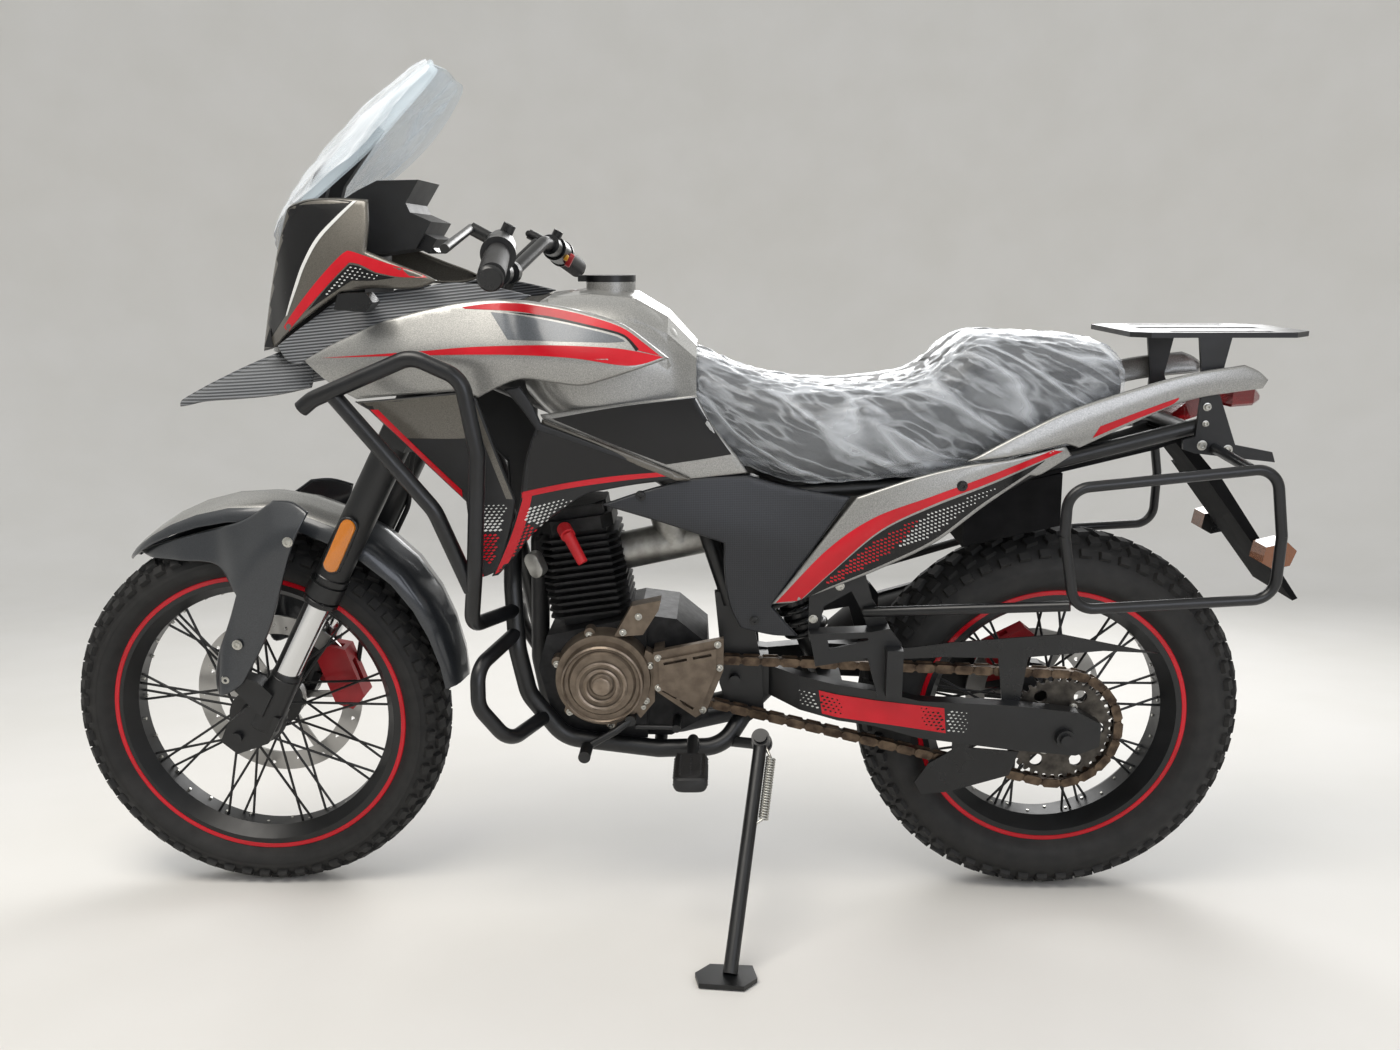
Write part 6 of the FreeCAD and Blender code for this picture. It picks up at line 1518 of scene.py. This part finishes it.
loft("screen_sheet", screen_rings(SCREEN_ROWS, 0.0, 3.6, 0.0, 18), clear_screen, "windscreen",
     ["windscreen"])
loft("screen_packing_film", screen_rings(FILM_ROWS, 4.0, 0.5, 6.0, 60), screen_film, "windscreen")
bm = bmesh.new()
for k in (-0.42, 0.42):
    x, z, half, sweep, fall = SCREEN_ROWS[1]
    at = Vector((x - sweep * k * k, half * k, z - fall * k * k))
    round_bar(bm, at, at + Vector((9, 4 * k, 8)), 8.0)
finish_normals(bm)
piece("screen_studs", bm, smooth_black, "chassis", "windscreen")

# %% [markdown]
# ## Seat and its packing film
# A seat is foam on a moulded pan under a stretched vinyl cover. Its top is crowned, so no part of it
# is flat, and the cover pulls in a little at the welded seams. A cloth simulation blows the cover up
# as foam does, and the seams are drawn in afterwards. The clear film over it is a second skin, a few
# millimetres further out. A layered noise lifts it, and its material draws the creases as white lines,
# which are partly the creased film and partly painted highlight.

# %% Sections of the seat
# Columns: x, half width, top z, low z, squareness
SEAT_ROWS = [(605, 84, 956, 784, 0.62), (570, 94, 943, 772, 0.58), (528, 106, 924, 760, 0.56),
             (446, 128, 905, 739, 0.52), (350, 140, 903, 742, 0.5), (262, 139, 916, 748, 0.5),
             (214, 134, 946, 750, 0.5), (184, 131, 973, 753, 0.52), (150, 128, 981, 758, 0.52),
             (50, 120, 976, 784, 0.52), (-30, 110, 966, 804, 0.54), (-58, 100, 950, 816, 0.6)]


# How far the lower edge is tucked in, as a share, and how far the shoulders sink beside the crown
SEAT_TUCK, SEAT_SINK = 0.22, 5.0


def seat_place(x, half, top, low, square, share, out):
    """A point round the seat's section, share 0 to 1, moved outwards by out."""
    angle = 2 * math.pi * share
    c, s = math.cos(angle), math.sin(angle)
    middle, height = (top + low) / 2, (top - low) / 2
    y = (half + out) * math.copysign(abs(c) ** square, c)
    if s < 0:
        y *= 1 - SEAT_TUCK * (-s)
    z = middle + (height + out) * math.copysign(abs(s) ** square, s)
    if s > 0:
        z -= SEAT_SINK * s * abs(c) ** 0.7
    return Vector((x, y, z))


def seat_rings(count, step, out, crease):
    """Rings round the seat. Crease is how far noise lifts them off it."""
    rings = []
    for x, half, top, low, square in curve_through(SEAT_ROWS, step):
        ring = []
        for i in range(count):
            share = (i + 0.5) / count
            place = seat_place(x, half, top, low, square, share, out)
            if crease:
                wrinkle = noise.noise(Vector((x / 62, place.y / 17, place.z / 17)))
                fine = noise.noise(Vector((x / 16, place.y / 9, place.z / 9 + 7)))
                way = Vector((0, place.y, place.z - (top + low) / 2)).normalized()
                place += way * (crease * (abs(wrinkle) * 1.6 + fine * 0.5))
            ring.append(place)
        rings.append(ring)
    return rings


# %% Foam under a stretched cover
CLOTH_FRAMES = 20


def solved_mesh(made):
    """The mesh as its modifiers leave it."""
    made.update_tag()
    bpy.context.view_layer.update()
    return bpy.data.meshes.new_from_object(made.evaluated_get(bpy.context.evaluated_depsgraph_get()))


def inflated(bm, voxel_mm=7.0, most_mm=7.0):
    """Foam under a stretched cover: remeshed, blown up as cloth, and held to a small move."""
    bm.transform(Matrix.Scale(MM, 4))
    holder = mesh_object("foam", bm)
    even = holder.modifiers.new("even_faces", "REMESH")
    even.mode = "VOXEL"
    even.voxel_size = voxel_mm * MM
    soft = holder.modifiers.new("soft", "SMOOTH")
    soft.iterations = 6
    start = solved_mesh(holder)
    holder.modifiers.clear()
    holder.data = start
    places = [vertex.co.copy() for vertex in start.vertices]
    cloth = holder.modifiers.new("stretched_cover", "CLOTH")
    cloth.settings.quality = 5
    cloth.settings.use_pressure = True
    cloth.settings.uniform_pressure_force = 4.0
    cloth.settings.effector_weights.gravity = 0.0
    cloth.point_cache.frame_start, cloth.point_cache.frame_end = 1, CLOTH_FRAMES
    for frame_number in range(1, CLOTH_FRAMES + 1):
        bpy.context.scene.frame_set(frame_number)
    blown = solved_mesh(holder)
    holder.modifiers.clear()
    for vertex, place in zip(blown.vertices, places):
        move = vertex.co - place
        if move.length > most_mm * MM:
            vertex.co = place + move.normalized() * most_mm * MM
    holder.data = blown
    bpy.context.scene.frame_set(1)
    finer = holder.modifiers.new("finer", "SUBSURF")
    finer.levels = finer.render_levels = 1
    made = bmesh.new()
    made.from_mesh(solved_mesh(holder))
    made.transform(Matrix.Scale(1 / MM, 4))
    bpy.data.objects.remove(holder)
    return made


# %% Seat cushion with its seams
SEAM_HALF, SEAM_DEPTH, STEP_SEAM_X = 5.0, 2.6, 232


def seam_depth(spot):
    """How far the cover is drawn in at a point: seams along both sides and across the step."""
    top, low = between_rows(SEAT_ROWS, spot.x)[1:3]
    share = (spot.z - (top + low) / 2) / ((top - low) / 2)
    along = max(0.0, 1 - abs(share - 0.5) * (top - low) / 2 / SEAM_HALF)
    across = 0.0
    if share > 0.5:
        across = max(0.0, 1 - abs(spot.x - STEP_SEAM_X - 0.12 * abs(spot.y)) / SEAM_HALF)
    return SEAM_DEPTH * max(along, across)


bm = bmesh.new()
loft_rings(bm, seat_rings(72, 9.0, -4.0, 0.0))
finish_normals(bm)
bm = inflated(bm)
bm.normal_update()
pulled = [(vertex, vertex.normal * seam_depth(vertex.co)) for vertex in bm.verts]
for vertex, way in pulled:
    vertex.co -= way
cushion = piece("seat_cushion", bm, seat_vinyl, "chassis", "seat", ["seat"], sharp=math.radians(70))

# %% Film over the seat
# The film covers the top and sides and is tucked under the edge, where the sine of the angle round
# the seat falls below the tuck
FILM_COLUMNS, FILM_TUCK, FILM_BEGIN = 150, -0.62, 38
bm = bmesh.new()
rows = [[bm.verts.new(place) for place in ring] for ring in seat_rings(FILM_COLUMNS, 6.0, 2.2, 4.5)]
inner = [[bm.verts.new(Vector((v.co.x, v.co.y * 0.995, v.co.z - 0.6))) for v in row] for row in rows]
upper = [i for i in range(FILM_COLUMNS) if math.sin(2 * math.pi * (i + 0.5) / FILM_COLUMNS) > FILM_TUCK]
steps = sorted(upper, key=lambda i: (i - FILM_BEGIN) % FILM_COLUMNS)
for a, b in zip(range(len(rows) - 1), range(1, len(rows))):
    for i, j in zip(steps, steps[1:]):
        bm.faces.new([rows[a][i], rows[a][j], rows[b][j], rows[b][i]])
        bm.faces.new([inner[a][j], inner[a][i], inner[b][i], inner[b][j]])
    for i, flip in ((steps[0], False), (steps[-1], True)):
        quad = [rows[a][i], rows[b][i], inner[b][i], inner[a][i]]
        bm.faces.new(quad[::-1] if flip else quad)
for a in (0, len(rows) - 1):
    for i, j in zip(steps, steps[1:]):
        bm.faces.new([rows[a][i], rows[a][j], inner[a][j], inner[a][i]])
drop_loose(bm)
finish_normals(bm)
piece("seat_packing_film", bm, seat_film, "chassis", "seat")

# %% [markdown]
# ## Solids with more than one finish
# Some solids of the model carry several finishes on the real machine: a fork leg is chromed steel
# above and a black casting below, and a control is rubber, plastic and metal. A merged copy of the
# solid takes a finish for each face by where the face lies, and stands for the solid.

# %% Dressed copies
def dressed(node, name, finishes, choose, body, sharp=math.radians(32)):
    """A merged copy of a solid. choose gives the finish number for a face's centre, upright, in mm."""
    bm = bmesh.new()
    bm.from_mesh(frame["nodes"][node].data)
    bmesh.ops.remove_doubles(bm, verts=bm.verts, dist=1e-6)
    bm.transform(TO_UPRIGHT)
    for face in bm.faces:
        face.material_index = choose(face.calc_center_median())
    piece(name, bm, finishes, body, node, [node], sharp=sharp)


def fork_finish(spot):
    """Chrome on the inner tubes above the castings, and black on the rest."""
    up = (spot - on_fork(FORK_AHEAD, spot.y, 0)).dot(STEER_UP)
    off = (spot - on_fork(FORK_AHEAD, math.copysign(FORK_HALF, spot.y), up)).length
    return 0 if up > 132 and off < 22.5 and abs(spot.y) > 70 else 1


dressed("fork_lower", "fork_legs", [chrome, frame_black], fork_finish, "steering")

# %% Controls, grips and bar ends
BAR_UP = STEM_UP + 274.0


def bar_run(side):
    """The end of the bar, and the way that its straight part runs out to it."""
    inner, end = on_fork(-4, side * 200.0, BAR_UP + 62), on_fork(-52, side * 430.0, BAR_UP + 34)
    return end, (end - inner).normalized()


def control_finish(side):
    """Rubber on the grip, black coat on the levers and smooth plastic on the rest."""
    end, way = bar_run(side)

    def choose(spot):
        along = (end - spot).dot(way)
        off = ((spot - end) - way * (spot - end).dot(way)).length
        if along < 131 and off < 26:
            return 1
        return 2 if off > 30 else 0
    return choose


for side, label in ((1, "left"), (-1, "right")):
    dressed("controls_" + label, "control_" + label, [smooth_black, rubber_black, lever_black],
            control_finish(side), "steering")
    end, way = bar_run(side)
    bm = bmesh.new()
    loft_rings(bm, [circle(r, z, 16) for r, z in [(1.0, -0.5), (1.06, -0.3), (1.06, 0.3), (1.0, 0.5)]])
    spots = [(facing(end - way * (12 + 7.5 * k), way, (0, 0, 1)), (16.1, 16.1, 4.0)) for k in range(14)]
    repeats("grip_ribs_" + label, shape_object("rib", bm), spots, rubber_black, "steering",
            "controls_" + label)
    bars = [(end - way * 1, end + way * 6, 17.0, 15.0)]
    bar_piece("bar_ends_" + label, bars, smooth_black, "steering", "controls_" + label)

# %% Switches on the right
end, way = bar_run(-1)
block = end - way * 152
for label, material, along, size, lift in [("kill_switch", caliper_red, 10, (26, 14, 9), 20.5),
                                           ("start_button", yellow_plastic, -12, (12, 10, 7), 20.5)]:
    bm = bmesh.new()
    at = block + way * along - STEER_AHEAD * lift
    rounded_bar(bm, facing(at, -STEER_AHEAD, STEER_UP), *size, bevel=2.0)
    finish_normals(bm)
    piece(label, bm, material, "steering", "controls_right")

# %% [markdown]
# ## Nose, lamp and dash
# The front of the nose is a smoked lens with two lamp bowls behind it. The lens is a bowed sheet,
# and each bowl is a profile turned about its own axis. The cheek's front strip is glossy black, with
# a thin white line where it meets the paint, which is a painted highlight. Behind the screen the dash
# has a dark glass.

# %% Strips beside the lamp
strip = closed([(1294, 962), (1270, 1040), (1246, 1110), (1222, 1176)], [(1184, 1186), (1140, 1187),
               (1108, 1184)], [(1133, 1161), (1165, 1130), (1189, 1094), (1208, 1058), (1228, 1020)],
               [(1262, 990), (1294, 962)])
film("cheek_gloss_strips", ["cheek"], [strip], black_film, "nose", lift=0.1)
# A thin white film along the strip's edge is a painted highlight.
painted_highlight_line = closed([(1231, 1016), (1210, 1058), (1192, 1094), (1168, 1131), (1136, 1162), (1110, 1185)],
                   [(1105, 1185)], [(1132, 1159), (1163, 1128), (1187, 1092), (1205, 1057),
                   (1227, 1018)], [(1231, 1016)])
film("cheek_bright_edges", ["cheek"], [painted_highlight_line], white_print_and_highlight_film, "nose", lift=0.5)

# %% Lens and lamp bowls
# Columns: x, z, half width
LENS_ROWS = [(1299, 955, 34), (1290, 982, 50), (1283, 1004, 58), (1266, 1056, 72), (1246, 1116, 74),
             (1224, 1176, 62)]
rings = []
for x, z, half in curve_through(LENS_ROWS, 10.0):
    outer = [Vector((x - 22 * k * k, half * k, z)) for k in [-1 + i / 8 for i in range(17)]]
    rings.append(outer + [place - Vector((4, 0, 1)) for place in reversed(outer)])
loft("lamp_lens", rings, smoke_screen, "headlight", ["headlight"])
bm = bmesh.new()
for z, radius in ((1020, 30), (1092, 36)):
    # The bowls lie along the slope of the lens, 26 mm behind it
    at = Vector((1300 - (z - 955) * 0.34 - 26, 0, z))
    profile = [(-20, 4), (-16, radius * 0.55), (-8, radius * 0.85), (0, radius), (2, radius + 3),
               (0, radius + 3), (-10, radius * 0.9), (-20, radius * 0.62), (-23, 4)]
    rows = []
    for i in range(32):
        angle = 2 * math.pi * i / 32
        rows.append([bm.verts.new(at + Vector((along, r * math.cos(angle), r * math.sin(angle))))
                     for along, r in profile])
    join_turned(bm, rows)
finish_normals(bm)
piece("lamp_bowls", bm, chrome, "chassis", "lamp_housing")

# %% Dash screen and signal stubs
bm = bmesh.new()
face_at = Vector((1036, 0, 1120))
face_way = Vector((-0.82, 0, 0.58)).normalized()
rounded_bar(bm, facing(face_at + face_way * 12, face_way, LEFT), 96, 44, 3.0, bevel=1.5)
finish_normals(bm)
piece("dash_glass", bm, dash_glass, "chassis", "lamp_housing")
dressed("signals", "signal_lamps", [smooth_black, amber_smoke],
        lambda spot: 1 if spot.x < 0 and abs(spot.y) > 98 else 0, "chassis")

# %% [markdown]
# ## Engine trim
# Screws hold the covers on, and turned rings stand round the middle of the round cover. A red
# rubber cap sits on the spark plug. Rings and plug are small profiles turned round the crankshaft's
# line, and the screws are copies of one head.

# %% Rings on the round cover
CRANK = Vector((761, 0, 420))
# Closed profiles: radius, distance from the middle of the machine
RINGS = [[(r, 135.2), (r + 3, 136.6), (r + 6, 135.0), (r + 3, 133.5)] for r in (24, 36)]
RINGS.append([(62, 128.0), (64, 130.4), (67, 128.0), (64, 125.5)])
PLUG = [[(0.5, 134.5), (0.5, 138.0), (13, 138.0), (15, 136.5), (15, 134.5)]]
for name, loops in (("generator_rings", RINGS), ("generator_plug", PLUG)):
    bm = bmesh.new()
    for loop in loops:
        turned_shape(bm, [(y, r) for r, y in loop], CRANK, 72)
    finish_normals(bm)
    piece(name, bm, bronze_light, "chassis", "generator_cover")


# %% Screws of the covers
def screw_circle(centre, radius, angles, y, way, across, tall):
    """Rows for screws on a circle, at angles in degrees."""
    turns = [math.radians(angle) for angle in angles]
    return [(centre.x + radius * math.cos(turn), y, centre.z + radius * math.sin(turn),
             way, across, tall) for turn in turns]


rows = screw_circle(CRANK, 81, (20, 75, 215, 262, 315), 104.0, LEFT, 12, 7)
for x, z in [(700, 532), (726, 505), (682, 446), (690, 384)]:
    rows.append((x, 110.0 if z > 500 else 106.0, z, LEFT, 12, 7))
bolts("generator_screws", rows, zinc_bolt, "chassis", "generator_cover")
rows = [(x, 116.0, z, LEFT, 12, 7)
        for x, z in [(669, 463), (571, 486), (568, 446), (596, 372), (669, 411)]]
bolts("sprocket_cover_screws", rows, zinc_bolt, "chassis", "sprocket_cover")
rows = screw_circle(Vector((700, 0, 410)), 92, (65, 120, 165, 205, 250, 300), -106.0, RIGHT, 12, 7)
bolts("clutch_screws", rows, zinc_bolt, "chassis", "clutch_cover")

# %% Plug cap and coil
foot = Vector((822, 74, 672))
bar_piece("plug_cap", [(foot, foot + Vector((-10, 22, -8)), 12.0),
                       (foot + Vector((-8, 20, -4)), foot + Vector((-34, 34, -50)), 10.0, 8.5)],
          plug_red, "chassis", "cylinder")
bm = bmesh.new()
rounded_bar(bm, facing((868, 62, 610), (0.25, 1, 0), (0.45, 0, 1)), 44, 26, 22)
finish_normals(bm)
piece("coil_cover", bm, cast_alloy, "chassis", "cylinder")

# %% [markdown]
# ## Fasteners of the running gear
# Discs, sprocket, panels and brackets are screwed on where the photograph shows heads. Screws of
# the wheels stand on circles round the axles. Those of the panels are set on the panel's own skin,
# and sink into it a little, as a pressed washer does.

# %% Fasteners
EVEN, BETWEEN = range(0, 360, 60), range(30, 360, 60)
rows = screw_circle(FRONT_AXLE, 40, BETWEEN, -68.0, RIGHT, 14, 6)
bolts("front_disc_screws", rows, zinc_bolt, "front_wheel", "front_disc")
rows = screw_circle(REAR_AXLE, 40, BETWEEN, -79.5, RIGHT, 14, 6)
bolts("rear_disc_screws", rows, zinc_bolt, "rear_wheel", "rear_disc")
rows = screw_circle(REAR_AXLE, 44, EVEN, 89.0, LEFT, 15, 7)
bolts("sprocket_nuts", rows, zinc_bolt, "rear_wheel", "rear_sprocket")
rows = []
for side, way in SIDES:
    for x, z, skin_name in [(512, 533, "side"), (196, 758, "tail_low"), (690, 742, "side")]:
        hit = outermost([skin_name], x, z)
        if hit:
            rows.append((x, side * (hit[0].y - 0.3), z, way, 17, 6))
bolts("panel_screws", rows, smooth_black, "chassis", "side_covers")
rows = [(x, side * 110.0, z, way, across, 6) for side, way in SIDES
        for x, z, across in [(-182, 812, 16), (-222, 805, 16), (-184, 872, 13), (-184, 846, 10)]]
bolts("rack_screws", rows, zinc_bolt, "chassis", "rear_rack")
rows = [(x, side * 110.0, z, way, 15, 6) for side, way in SIDES for x, z in [(374, 584), (416, 528)]]
bolts("hanger_screws", rows, zinc_bolt, "chassis", "pegs")

# %% [markdown]
# ## Peg rubbers
# A peg rubber is a thick moulded sleeve, and its studs keep a boot from slipping. A loft makes the
# sleeve, and the same section with fewer corners gives each stud its place.

# %% Sleeves and studs
PEG_X, PEG_Z, PEG_LONG, PEG_TALL = 613, 322, 26, 13


def peg_section(share, corners):
    """The peg's rounded section, at a share of its full size."""
    return ring_of(PEG_LONG * share, PEG_Z + PEG_TALL * share, PEG_Z - PEG_TALL * share, 0.5, corners)


bm = bmesh.new()
studs = []
for side in (-1, 1):
    loft_rings(bm, [[(PEG_X + along, side * out, z) for along, z in peg_section(share, 36)]
                    for out, share in [(201, 0.94), (204, 1.0), (281, 1.0), (287, 0.92), (290, 0.72)]])
    for out in range(210, 282, 9):
        for along, z in peg_section(1, 14):
            way = (along / PEG_LONG, 0, (z - PEG_Z) / PEG_TALL)
            studs.append((facing((PEG_X + along, side * out, z), way, LEFT), (5.5, 5.5, 2.2)))
finish_normals(bm)
piece("peg_sleeves", bm, rubber_black, "chassis", "pegs")
bm = bmesh.new()
bmesh.ops.create_cone(bm, cap_ends=True, segments=6, radius1=0.5, radius2=0.3, depth=1.0)
repeats("peg_studs", shape_object("stud", bm), studs, rubber_black, "chassis", "pegs")

# %% [markdown]
# ## The stand's spring
# A tight coil of spring steel beside the leg keeps the stand up or down. A ring of six corners is
# carried along the coil's line, which is a circle that rises, and a hook closes each end.

# %% Coil and hooks
COIL_TURNS, COIL_STEPS = 24, 14
COIL_RADIUS, WIRE_RADIUS = 7.0, 1.5
pivot, foot = Vector((500, 140, 328)), Vector((552, 391, 67.7))
down = (foot - pivot).normalized()
beside = Vector((-19, 6, 0))
start, end = pivot + down * 26 + beside, pivot + down * 128 + beside
place = facing(start, end - start, (0.2, 1, 0.1))
length, count = (end - start).length, COIL_TURNS * COIL_STEPS
rings = []
for i in range(count + 1):
    angle = 2 * math.pi * COIL_TURNS * i / count
    out = Vector((math.cos(angle), math.sin(angle), 0))
    centre = Vector((COIL_RADIUS * math.cos(angle), COIL_RADIUS * math.sin(angle), length * i / count))
    ring = []
    for k in range(6):
        b = 2 * math.pi * k / 6
        rise = Vector((0, 0, WIRE_RADIUS * math.sin(b)))
        ring.append(place @ (centre + out * WIRE_RADIUS * math.cos(b) + rise))
    rings.append(ring)
bm = bmesh.new()
loft_rings(bm, rings)
finish_normals(bm)
piece("stand_spring", bm, zinc_bolt, "side_stand", "side_stand", sharp=math.radians(80))
# Columns: start, end, both radii, corners, bevel
HOOKS = [(pivot + down * 8 + Vector((-8, 4, 0)), pivot + down * 27 + beside, 2.2, 2.2, 12, 0.4),
         (pivot + down * 127 + beside, pivot + down * 140 + Vector((-4, 2, 0)), 2.2, 2.2, 12, 0.4)]
bar_piece("stand_spring_hooks", HOOKS, zinc_bolt, "side_stand", "side_stand")
